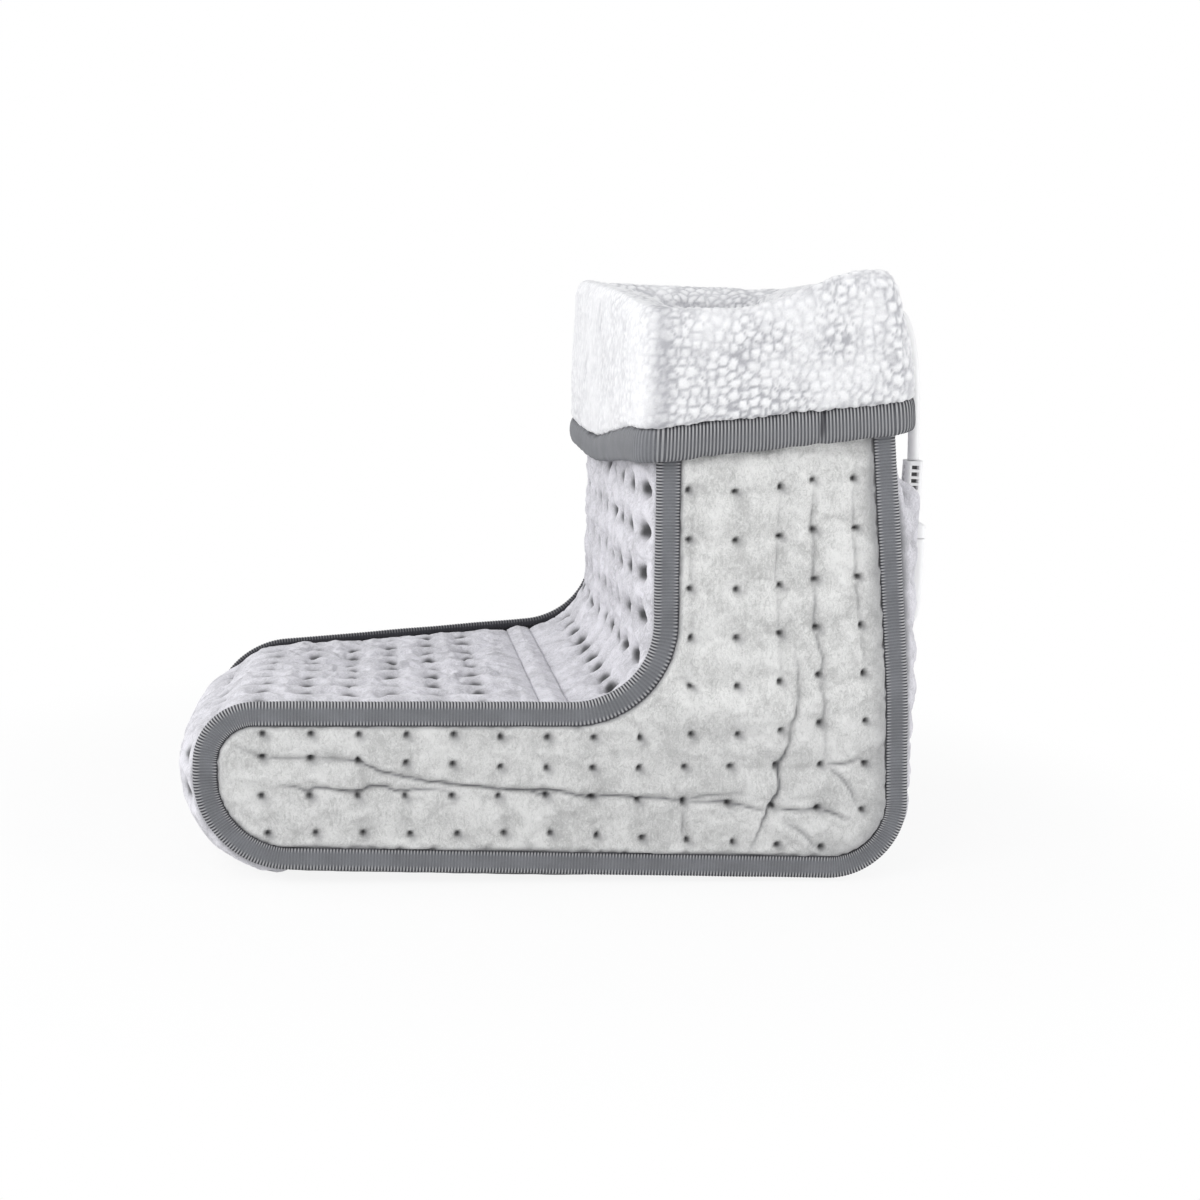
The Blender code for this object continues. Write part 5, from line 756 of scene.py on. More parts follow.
class Nodes:
    """The shader nodes of a material or a world."""

    def __init__(self, holder):
        holder.use_nodes = True
        self.nodes = holder.node_tree.nodes
        self.links = holder.node_tree.links

    def add(self, kind, settings=None, sockets=None):
        """A node of a kind, with its settings first and then its sockets' values or links."""
        node = self.nodes.new(kind)
        for key, value in (settings or {}).items():
            setattr(node, key, value)
        for key, value in (sockets or {}).items():
            self.feed(node.inputs[key], value)
        return node

    def feed(self, socket, value):
        """Links a signal to a socket, or sets the socket's own value."""
        if isinstance(value, Signal):
            self.links.new(value.socket, socket)
        elif isinstance(value, bpy.types.NodeSocket):
            self.links.new(value, socket)
        elif hasattr(value, "__len__") and len(value) == 3 and socket.type == 'RGBA':
            socket.default_value = (*value, 1.0)
        else:
            socket.default_value = value


class Finish(Nodes):
    """A material with a Principled shader and the steps that the finishes here share."""

    def __init__(self, name):
        self.material = bpy.data.materials.new(name)
        super().__init__(self.material)
        self.shader = self.nodes["Principled BSDF"]

    def place(self):
        return self.add('ShaderNodeTexCoord').outputs["Object"]

    def level_place(self):
        """X and Y of the place as two signals."""
        split = self.add('ShaderNodeSeparateXYZ', None, {0: self.place()})
        return Signal(self, split.outputs[0]), Signal(self, split.outputs[1])

    def along(self):
        """Metres along a tape, from the piece's own UV map."""
        node = self.add('ShaderNodeUVMap', {"uv_map": "surface"})
        split = self.add('ShaderNodeSeparateXYZ', None, {0: node.outputs[0]})
        return Signal(self, split.outputs[0])

    def share(self, label):
        """A value that the piece carries on its points."""
        node = self.add('ShaderNodeAttribute', {"attribute_name": label})
        return Signal(self, node.outputs["Fac"])

    def noise(self, size, detail=2.0, roughness=0.5, stretch=None, bend=0.0):
        """Noise with features of about the given size in metres, stretched or warped if asked."""
        where = self.place()
        if stretch:
            where = self.add('ShaderNodeMapping', None, {0: where, "Scale": stretch}).outputs[0]
        node = self.add('ShaderNodeTexNoise', None,
                        {"Vector": where, "Scale": 1 / size, "Detail": detail,
                         "Roughness": roughness, "Distortion": bend})
        return Signal(self, node.outputs[0])

    def cells(self, size):
        """Distance to the nearest of scattered points, in cells of the given size."""
        node = self.add('ShaderNodeTexVoronoi', None, {"Vector": self.place(), "Scale": 1 / size})
        return Signal(self, node.outputs["Distance"])

    def mix(self, share, first, second):
        """A colour between two, by a share."""
        node = self.add('ShaderNodeMix', {"data_type": 'RGBA'},
                        {"Factor": share, 6: first, 7: second})
        return node.outputs[2]

    def bump(self, height, depth):
        """A bump of the given depth in metres."""
        sockets = {"Height": height, "Distance": depth, "Strength": 1.0}
        return self.add('ShaderNodeBump', None, sockets).outputs[0]

    def done(self, **values):
        """Sets the shader's sockets and returns the material."""
        for key, value in values.items():
            self.feed(self.shader.inputs[key.replace("_", " ")], value)
        return self.material


def tinted(colour, factor=1.0):
    """A colour made lighter or darker by a factor, as plain numbers."""
    return tuple(min(1.0, value * factor) for value in colour)


def plush(name, colour, shade):
    """Short brushed pile: fine warped strokes, soft clouds, and painted shade in tufts, folds and
    along seams.
    """
    made = Finish(name)
    pit, fold = made.share("pit"), made.share("fold")
    strokes = made.noise(0.0019, 3.0, 0.62, bend=1.4, stretch=(1.0, 1.0, 0.6))
    fine = made.noise(0.0006, 2.0, 0.6, bend=0.6)
    clouds = made.noise(0.012)
    parted_pile_and_painted_shade = (strokes * 0.5 + fine * 0.3 + clouds * 0.4).step(0.42, 0.74)
    base = made.mix(parted_pile_and_painted_shade, tinted(colour, 0.70), tinted(colour, 1.12))
    # Painted shade from the fold share: in folds, beside tufts, along the seams and low down.
    base = made.mix((fold * (strokes.step(0.2, 0.6) * 0.3 + 0.7)).clipped(), base, shade)
    # Painted shade: near black in the tuft holes.
    base = made.mix(pit, base, tinted(shade, 0.22))
    height = strokes * 0.7 + fine * 0.45
    return made.done(Base_Color=base, Roughness=0.92, Sheen_Weight=0.25, Sheen_Roughness=0.5,
                     Normal=made.bump(height, 0.0006))


def ribbed_tape(name, settings):
    """Grosgrain: ribs across the tape, a painted highlight on the crests at both edges and painted
    shade between them.
    """
    made = Finish(name)
    along = made.along()
    ribs = (along * (2 * math.pi / settings.rib_pitch)).wave() * 0.5 + 0.5
    weave = made.noise(0.0006, 2.0, 0.6)
    clouds = made.noise(0.012)
    dark = tinted(settings.groove_shade_colour)
    body = made.mix((clouds * 0.6 + weave * 0.4).step(0.3, 0.7),
                    tinted(settings.colour, 0.86), tinted(settings.colour, 1.15))
    # Painted highlight on the rib crests and painted shade in the grooves, where the edge share asks
    # for it.
    crest = made.mix(ribs.step(0.25, 0.85), dark, tinted(settings.rib_highlight_colour))
    base = made.mix(made.share("edge"), body, crest)
    # Painted shade on the tape's inner leg, fold and edges; on the cuff's binding also its dark
    # stitches.
    base = made.mix(made.share("painted_shade_and_stitches"), base, dark)
    height = ribs * 0.8 + weave * 0.35
    return made.done(Base_Color=base, Roughness=0.78, Sheen_Weight=0.1, Sheen_Roughness=0.4,
                     Normal=made.bump(height, 0.00025))


def curly_fleece(name, settings):
    """Curls of wool: painted shade in the crevices, each curl with its own tone and fine fibres."""
    made = Finish(name)
    fibres = made.noise(0.0006, 3.0, 0.65)
    tone = made.noise(settings.curl * 1.4, 1.0, 0.4)
    cell = made.cells(settings.curl * 0.36)
    # Painted shade in the crevices between curls; tone and fibres vary at random.
    base = made.mix((made.share("painted_crevice_shade") * 0.92 + (1 - fibres.step(0.30, 0.62)) * 0.12
                     + tone.step(0.45, 0.8) * 0.12).clipped(),
                    tinted(settings.colour), tinted(settings.crevice_shade_colour))
    height = (1 - cell) * 0.5 + fibres * 0.8
    return made.done(Base_Color=base, Roughness=0.95, Sheen_Weight=0.2, Sheen_Roughness=0.6,
                     Normal=made.bump(height, 0.0006))


def plain_weave(name, colour, thread):
    """Plain weave: two crossed waves of threads, lighter on the crests."""
    made = Finish(name)
    x, y = made.level_place()
    warp, weft = ((way * (math.pi / thread)).wave() for way in (x, y))
    threads = (warp * weft) * 0.5 + 0.5
    clouds = made.noise(0.02)
    base = made.mix((threads * 0.7 + clouds * 0.4).step(0.2, 0.9),
                    tinted(colour, 0.6), tinted(colour, 1.2))
    return made.done(Base_Color=base, Roughness=0.9, Normal=made.bump(threads, 0.0002))


def moulded(name, colour, roughness, grain=0.0007):
    """Moulded plastic: faint grain in the gloss and a barely uneven skin."""
    made = Finish(name)
    skin = made.noise(grain)
    clouds = made.noise(0.015)
    base = made.mix(clouds.step(0.3, 0.7), tinted(colour, 0.97), tinted(colour, 1.02))
    return made.done(Base_Color=base, Roughness=clouds * 0.12 + (roughness - 0.06),
                     Normal=made.bump(skin, 0.00004))


def slotted(name, colour):
    """Soft moulded sleeve, with painted shade in its slots."""
    made = Finish(name)
    skin = made.noise(0.0012)
    # Painted shade, near black, in the slots.
    base = made.mix(made.share("slot").step(0.25, 0.9), colour, tinted(colour, 0.10))
    return made.done(Base_Color=base, Roughness=skin * 0.1 + 0.40,
                     Normal=made.bump(skin, 0.00004))


def brushed_metal(name, colour):
    """Turned metal: fine scratches in the gloss."""
    made = Finish(name)
    scratches = made.noise(0.0008, 3.0, 0.6, stretch=(1.0, 14.0, 14.0))
    base = made.mix(scratches, tinted(colour, 0.88), colour)
    return made.done(Base_Color=base, Metallic=1.0, Roughness=scratches * 0.25 + 0.22,
                     Normal=made.bump(scratches, 0.00003))


def lit_lens(name, colour):
    """Tinted lamp lens under a clear coat."""
    made = Finish(name)
    grain = made.noise(0.0009, 1.0)
    base = made.mix(grain, tinted(colour, 0.8), colour)
    return made.done(Base_Color=base, Roughness=grain * 0.1 + 0.12, Coat_Weight=0.6)


def finish(name):
    """The named finish, made once from the settings."""
    found = bpy.data.materials.get(name)
    if found is not None:
        return found
    scene = bpy.context.scene
    quilt, fitting = scene.warmer_quilt, scene.warmer_fitting
    # The painted shade colour for the plush; inside plush the same name is the pile's random
    # parting.
    parted_pile_and_painted_shade = tinted(quilt.painted_shade_colour)
    lead = tinted(fitting.lead_colour)
    maker, *values = {
        "side plush": (plush, tinted(quilt.side_colour), parted_pile_and_painted_shade),
        "gusset plush": (plush, tinted(quilt.gusset_colour), parted_pile_and_painted_shade),
        "ribbed tape": (ribbed_tape, scene.warmer_trim),
        "curly fleece": (curly_fleece, scene.warmer_fleece),
        "sole cloth": (plain_weave, (0.22, 0.22, 0.23), 0.0011),
        "mat cloth": (plain_weave, (0.80, 0.78, 0.72), 0.0008),
        "white plastic": (moulded, tinted(fitting.white_colour), 0.38),
        "grey plastic": (moulded, tinted(fitting.grey_colour), 0.46, 0.0004),
        "lead sheath": (moulded, lead, 0.45, 0.0012),
        "slotted sheath": (slotted, lead),
        "heating wire": (moulded, (0.55, 0.20, 0.12), 0.5),
        "circuit board": (moulded, (0.05, 0.22, 0.10), 0.5),
        "lamp lens": (lit_lens, (0.90, 0.25, 0.10)),
        "brass": (brushed_metal, (0.72, 0.56, 0.28)),
        "steel": (brushed_metal, (0.62, 0.62, 0.62)),
    }[name]
    return maker(name, *values)


# ---- quilted panels ----------------------------------------------------------------

def tufted(points, tufts, radius, smear=(0.0016, -0.0014), lean=0.0):
    """What quilting does round tufts: shares of swell, hole, painted dark centre and painted shade.

    The swell grows with the distance to the nearest tuft as 1 - exp(-(distance / reach) ** 2)
    and the hole falls off with the square of that distance over the tuft's radius. The painted
    dark centre stands in for the shadow in each hole, and the painted shade lies a little beside
    the tuft, moved by the smear. Lean makes the hole gentle on its left side and steep on its
    right, by squeezing the distance across.
    """
    nearest, beside = np.full(len(points), 1.0), np.full(len(points), 1.0)
    for tuft in tufts:
        apart = points - tuft
        beside = np.minimum(beside, np.linalg.norm(apart - smear, axis=1))
        squeeze = np.where(apart[:, 1] < 0, 1 / (1 + lean), 1 + lean / 4)
        nearest = np.minimum(nearest, np.hypot(apart[:, 0], apart[:, 1] * squeeze))
    swell = 1 - np.exp(-(nearest / TUFT_REACH) ** 2)
    hole = np.exp(-(nearest / radius) ** 2)
    # Painted shade: the dark centre of each hole; the last share is the painted shade beside the
    # tuft.
    painted_core_shade = np.exp(-(nearest / radius) ** 3)
    return swell, hole, painted_core_shade, np.exp(-(beside / radius / 1.4) ** 2)


def tuft_distance(points, tufts):
    """Distance from each point to the nearest tuft."""
    return np.min(np.linalg.norm(points[:, None, :] - tufts[None, :, :], axis=2), axis=1)


def wrinkled(station, y, from_ends, amount):
    """Soft folds across a strip and small puckers where a seam gathers its two ends.

    The folds are smooth noise stretched across the boot; a pucker is a cosine along the
    seam, its phase bent by noise, and fades with the distance from the seam.
    """
    along, across = np.broadcast_arrays(station / 2 * QUILT_PITCH, y)
    folds = soft_noise(np.stack([along * 3.0, across], axis=-1), 0.016, 71)
    folds = folds + 0.5 * soft_noise(np.stack([along * 2.2, across * 1.4], axis=-1), 0.008, 73)
    bent = soft_noise(np.stack([across, along * 0.2], axis=-1), 0.015, 79) * 1.6
    pucker = (np.cos(across * math.tau / PUCKER_PITCH + bent)
              * np.exp(-from_ends / PUCKER_REACH))
    return amount * (folds + 1.6 * pucker)


def gusset_flat(station, y):
    """Places on the gusset laid flat: half a quilt pitch along for each station, y across."""
    along = (station / 2 + 0 * y) * QUILT_PITCH
    return np.stack([along.ravel(), (y + 0 * station).ravel()], axis=-1)


def panel_shares(painted_core_shade, shade):
    """The painted shade that the plush's colour needs, on a panel's front and then on its back: dark
    centres of the holes, and shade beside tufts, in folds and along seams as the fold share.
    """
    return {"pit": np.concatenate([painted_core_shade, 0 * painted_core_shade]), "fold": np.concatenate([shade, 0 * shade])}


def rough_pile(points, coarse, fine, seed):
    """Uneven height of brushed pile: two smooth noises, each a (size, height)."""
    return (soft_noise(points, fine[0], seed) * fine[1]
            + soft_noise(points, coarse[0], seed + 1) * coarse[1])


def quilted_gusset(name, first, last, replaced, settings, tuft_rows=True, seed=1, raised=0.0,
                   grid_scale=1.0, finish_name="gusset plush", slot="plush", socket=False,
                   folds=0.0, puff=None):
    """A strip of the gusset: crowned across, tufted on the quilting grid, settled as cloth.

    A strip with its own puff is only displaced: it lies between the boot and the floor.
    """
    ends = np.interp((first, last), STATIONS, TRAVELLED)
    step = settings.grid * grid_scale
    rows = max(6, round(float(ends[1] - ends[0]) / step) + 1)
    edge = TAPE_INNER_BACK - GAP
    columns = round(2 * edge / step) + 1
    station = np.interp(np.linspace(*ends, rows), TRAVELLED, STATIONS)[:, None]
    y = np.linspace(-edge, edge, columns)[None, :]
    base = over_outline(station, y, -SEAM_DEPTH + raised + crown(station, y))
    if socket:
        low, high = (back_station(level) for level in SOCKET_FLAT_Z)
        along = smooth_band(station, low - 1.2, high + 1.2, 1.0)
        beside = smooth_band(y, PLUG_Y - QUILT_PITCH, PLUG_Y + QUILT_PITCH, 0.006)
        base[..., 0] += (SOCKET_SEAT_X - GAP - base[..., 0]) * (along * beside)
    flat = gusset_flat(station, y)
    tufts = np.full((1, 2), NO_TUFT)
    if tuft_rows:
        lines = range(math.ceil((first + TUFT_END_ROOM) / 2),
                      math.floor((last - TUFT_END_ROOM) / 2) + 1)
        tufts = np.array([(row * QUILT_PITCH, column * QUILT_PITCH)
                          for row in lines for column in range(-4, 5)])
    radius = settings.gusset_pit_radius
    swell = tufted(flat, tufts, radius)[0].reshape(rows, columns)
    from_ends = steps_from_ends(rows)[:, None] * step
    from_sides = edge - np.abs(y)
    rim = 1 - np.exp(-np.minimum(from_ends / 3, from_sides) / 0.0030)
    lift = (settings.gusset_puff if puff is None else puff) * swell * rim
    lift = lift - TUFT_PULL * (1 - swell)
    lift = lift + wrinkled(station, y, from_ends, folds) * swell * rim
    grid = base - grid_normals(base) * lift[..., None]
    if puff is None:
        held = (from_ends < step / 2) | (from_sides < step / 2)
        held |= (tuft_distance(flat, tufts) < radius * 0.6).reshape(rows, columns)
        quads, _ = grid_faces(rows, columns)
        grid = settled(grid.reshape(-1, 3), quads[:, ::-1], held.ravel(), settings)
        grid = grid.reshape(rows, columns, 3)
    fine = doubled(doubled(grid, 0), 1)
    station, y = doubled(station, 0), doubled(y, 1)
    # Painted shade: a dark centre in each dimple, also moved onto its far wall, and shade beside it.
    _, hole, painted_core_shade, shade = tufted(gusset_flat(station, y), tufts, radius, (0.0, 0.0024), lean=0.8)
    painted_core_shade = np.maximum(painted_core_shade, 0.92 * np.clip(2.4 * shade - 1.1, 0, 1))
    pile = rough_pile(fine, (0.012, 0.00022), (0.0035, 0.00012), seed)
    sunk = settings.gusset_pit_depth * hole.reshape(fine.shape[:2])
    fine = fine - grid_normals(fine) * (pile - sunk)[..., None]
    fine[..., 2] = np.maximum(fine[..., 2], 0.0)
    back_height = INNER_LEVEL + inner_swell(station, y)
    depth = np.minimum(-SEAM_DEPTH + raised + crown(station, y) - PANEL_LEAST, back_height)
    back = over_outline(station, y, depth)
    if socket:
        back[..., 0] = np.minimum(back[..., 0], SOCKET_SEAT_X - GAP - PANEL_THICKNESS)
    quads, _ = grid_faces(*fine.shape[:2])
    points, faces = walled(fine.reshape(-1, 3), back.reshape(-1, 3), quads[:, ::-1])
    # Painted shadow line along the seams at both edges of the strip.
    seam = np.exp(-((edge - np.abs(y)) / 0.0016) ** 2) + 0 * station
    return piece(name, points, faces, finish(finish_name), replaces=replaced, slot=slot,
                 shares=panel_shares(painted_core_shade, np.maximum(0.8 * shade, seam.ravel())))


def smooth_band(value, low, high, soft):
    """1 between low and high, falling smoothly to 0 over a soft margin outside."""
    return eased(np.minimum(value - low, high - value) / soft + 1)


def side_tufts():
    """Tuft places (x, z): foot rows bend with the boot, shaft columns lean and climb."""
    found = []
    columns = TUFT_FIRST_X + TUFT_PITCH_X * np.arange(FOOT_COLUMNS)
    for number, heights in enumerate(FOOT_ROW_Z):
        for x in columns + (LOW_ROW_SHIFT if number == 0 else 0.0):
            found.append((x, float(np.interp(x, FOOT_ROW_X, heights))))
    for x, rise, lean in zip(SHAFT_COLUMN_X, SHAFT_COLUMN_RISE, SHAFT_COLUMN_LEAN):
        for row in range(-1, SHAFT_ROWS):
            found.append((x + lean * row, SHAFT_ROW_Z + rise - SHAFT_ROW_PITCH * row))
    for x in columns[columns < TOE_ROW_END_X]:
        found.append((x, TOE_ROW_Z - TOE_ROW_DROP * (x > TOE_ROW_DROP_X)))
    return np.array(found)


def depth_inside(points, side):
    """Distance from a side's outline inwards to each (x, z), negative outside it."""
    places, normals = (LEFT_PLACES, LEFT_NORMALS) if side < 0 else (RIGHT_PLACES, RIGHT_NORMALS)
    depth = []
    for first in range(0, len(points), POINTS_AT_ONCE):
        block = points[first:first + POINTS_AT_ONCE]
        apart = np.linalg.norm(block[:, None, :] - places[None, :, :], axis=2)
        near = apart.argmin(axis=1)
        sign = np.sum((block - places[near]) * normals[near], axis=1)
        depth.append(np.where(sign > 0, -1, 1) * apart.min(axis=1))
    return np.concatenate(depth)


def kept_part(shape, kept):
    """Quads of a grid with all corners kept and renumbered, the points used, all new numbers."""
    quads, _ = grid_faces(*shape)
    quads = quads[kept.ravel()[quads].all(axis=1)]
    used = np.unique(quads)
    number = np.full(kept.size, -1)
    number[used] = np.arange(len(used))
    return number[quads], used, number


def side_relief(points, depth, tufts, folds, settings):
    """A side's height and its shares of hole, fold, painted dark centre and painted shade at each
    (x, z).

    Every fold fades towards its ends with the root of a sine and falls off across with the
    square of the distance. The painted shade gathers tufts and folds, a shadow line along the
    seam, shadow beside the tape at the back and at the heel, and is darker low down.
    """
    swell, hole, painted_core_shade, shade = tufted(points, tufts, settings.pit_radius)
    x, z = points[:, 0], points[:, 1]
    rise = np.clip((depth - TAPE_WIDTH - 0.0002) / 0.0035, 0, 1)
    rise = np.sqrt(rise * (2 - rise))
    low = np.clip((0.205 - z) / 0.02, 0.12, 1)
    fold, thin = np.zeros(len(points)), np.zeros(len(points))
    for share, line in folds:
        apart, along = line_distance(points, line)
        taper = np.sqrt(np.clip(np.sin(np.pi * np.clip(along, 0.02, 0.98)), 0, 1))
        fold = np.maximum(fold, share * taper * np.exp(-(apart / FOLD_WIDTH) ** 2))
        thin = np.maximum(thin, share * taper * np.exp(-(apart / FOLD_LINE_WIDTH) ** 2))
    # Painted shade: dark lines in the folds, a shadow line at the seam, shadow beside the tape at
    # the heel and in a band beside the back tape up the shaft, and darker towards the floor.
    thin = np.clip(1.5 * thin * (0.5 + 0.5 * eased((0.070 - z) / 0.020)), 0, 1)
    inside = depth - TAPE_WIDTH
    seam = np.exp(-(inside / 0.0011) ** 2)
    heel = eased((x - 0.100) / 0.040) * np.exp(-(inside / 0.0060) ** 2)
    band = (eased((x - 0.080) / 0.012) * eased((z - 0.09) / 0.07)
            * np.exp(-(np.maximum(inside - 0.0015, 0) / 0.0028) ** 2))
    shade = np.maximum.reduce([0.55 * shade, thin, 0.35 * fold, 0.6 * heel, 0.80 * band, seam])
    shade = shade + 0.14 * eased((0.090 - z) / 0.020) * (1 - shade)
    height = (SIDE_LEAST_RISE + settings.puff * swell) * rise * low
    return height, hole * rise, fold * rise, painted_core_shade, shade


def side_panel(name, side, replaced, settings, seed):
    """A flat side: cloth over filling, tied down at tufts and pressed in along its folds."""
    step = settings.grid
    places = LEFT_PLACES if side < 0 else RIGHT_PLACES
    xs = np.arange(places[:, 0].min(), places[:, 0].max() + step, step)
    zs = np.arange(0.0, SIDE_TOP_Z + step, step)

    def flat_grid(xs, zs):
        return np.stack(np.meshgrid(xs, zs, indexing='ij'), axis=-1).reshape(-1, 2)

    flat = flat_grid(xs, zs)
    depth = depth_inside(flat, side)
    quads, used, number = kept_part((len(xs), len(zs)), depth > SIDE_EDGE_DEPTH)
    tufts = side_tufts()
    tufts = tufts[depth_inside(tufts, side) > TAPE_WIDTH + TUFT_TAPE_ROOM]
    folds = [(share, through(np.array(line) * 0.001, 60)) for share, line in SIDE_FOLDS]
    flat, depth = flat[used], depth[used]
    height, _, fold = side_relief(flat, depth, tufts, folds, settings)[:3]
    tied = tuft_distance(flat, tufts) < settings.pit_radius * 1.1
    height = height - TIE_PULL * tied * (height > 0) - settings.fold_depth * 0.4 * fold
    start = np.stack([flat[:, 0], side * (SIDE_FACE + height), flat[:, 1]], axis=-1)
    held = (depth < TAPE_WIDTH + 0.0004) | tied
    moved = settled(start, quads if side < 0 else quads[:, ::-1], held, settings)
    smooth = refine_patch(moved, number.reshape(len(xs), len(zs)))
    kept = ~np.isnan(smooth[..., 0])
    quads, used, _ = kept_part(kept.shape, kept)
    front = smooth.reshape(-1, 3)[used]
    flat = flat_grid(*(line[0] + step / 2 * np.arange(2 * len(line) - 1) for line in (xs, zs)))
    flat = flat[used]
    depth = depth_inside(flat, side)
    _, hole, fold, painted_core_shade, shade = side_relief(flat, depth, tufts, folds, settings)
    rise = np.clip((depth - TAPE_WIDTH) / 0.004, 0, 1)
    pile = rough_pile(front, (0.011, 0.0002), (0.0030, 0.00012), seed)
    front[:, 1] += side * (pile * rise - settings.pit_depth * hole - settings.fold_depth * fold)
    limit = np.where(depth < TAPE_WIDTH + 0.0002, SIDE_FACE, 1.0)
    front[:, 1] = side * np.clip(side * front[:, 1], SIDE_FACE - 0.0040, limit)
    back = front.copy()
    back[:, 1] = side * (SIDE_FACE - PANEL_THICKNESS)
    back[depth < 2 * GAP - INNER_LEVEL, 1] = side * (SIDE_FACE - 0.0006)
    points, faces = walled(front, back, quads if side < 0 else quads[:, ::-1])
    return piece(name, points, faces, finish("side plush"), replaces=replaced, slot="plush",
                 shares=panel_shares(painted_core_shade, shade))


def refine_patch(values, number):
    """A patch's points on a grid twice as fine: new points are means of kept neighbours."""
    rows, columns = number.shape
    coarse = np.full((rows, columns, 3), np.nan)
    coarse[number >= 0] = values[number[number >= 0]]
    fine = np.full((2 * rows - 1, 2 * columns - 1, 3), np.nan)
    fine[::2, ::2] = coarse

    def middles(before, start, end, after):
        plain = (start + end) / 2
        curved = (9 * (start + end) - before - after) / 16
        return np.where(np.isnan(curved), plain, curved)

    padded = np.pad(coarse, ((1, 1), (0, 0), (0, 0)), constant_values=np.nan)
    fine[1::2, ::2] = middles(padded[:-3], padded[1:-2], padded[2:-1], padded[3:])
    whole = fine[:, ::2]
    padded = np.pad(whole, ((0, 0), (1, 1), (0, 0)), constant_values=np.nan)
    fine[:, 1::2] = middles(padded[:, :-3], padded[:, 1:-2], padded[:, 2:-1], padded[:, 3:])
    return fine


# ---- tapes -------------------------------------------------------------------------

def cuff_edge_height(x):
    """Height of the cuff's lower edge on a side, which climbs towards the back."""
    share = (x - SHAFT_FRONT_X) / (SHAFT_BACK_X - SHAFT_FRONT_X)
    return SHAFT_TOP_Z - CUFF_FRONT_DROP + (CUFF_FRONT_DROP - CUFF_BACK_DROP) * share


def cuff_heights(places, beside, beyond):
    """Heights round the cuff of the binding's foot, the fleece's edge and the rim.

    In front the rim arches towards the middle, by 1 less the square of the share of the
    half width, to the power 3/4. The edge sinks from the left front corner to the right
    one, and the rim climbs to the left back corner.
    """
    level = round_cuff(places, beside, beyond, np.full((1, 1), SHAFT_TOP_Z))
    x, y = level[..., 0], level[..., 1]
    half = HALF + CUFF_CLEARANCE
    share = np.clip(y / half, -1, 1)
    ahead = eased(((SHAFT_FRONT_X + SHAFT_BACK_X) / 2 - x) / 0.040)
    front = (1 - share ** 2) ** 0.75 * ahead
    dip = eased((share + 1.05) / 1.30) * ahead
    edge = cuff_edge_height(x) - CUFF_DIP * dip
    foot = edge - GAP - CUFF_BINDING_HEIGHT + CUFF_BINDING_NARROWING * dip
    share = (x - CUFF_RISE_START_X) / (CUFF_RISE_END_X - CUFF_RISE_START_X)
    climb = eased(share) * np.clip((half - y) / (2 * half), 0, 1)
    rim = SHAFT_TOP_Z + CUFF_RIM_RISE + CUFF_RIM_ARCH * front + CUFF_CORNER_RISE * climb
    return foot, edge, rim


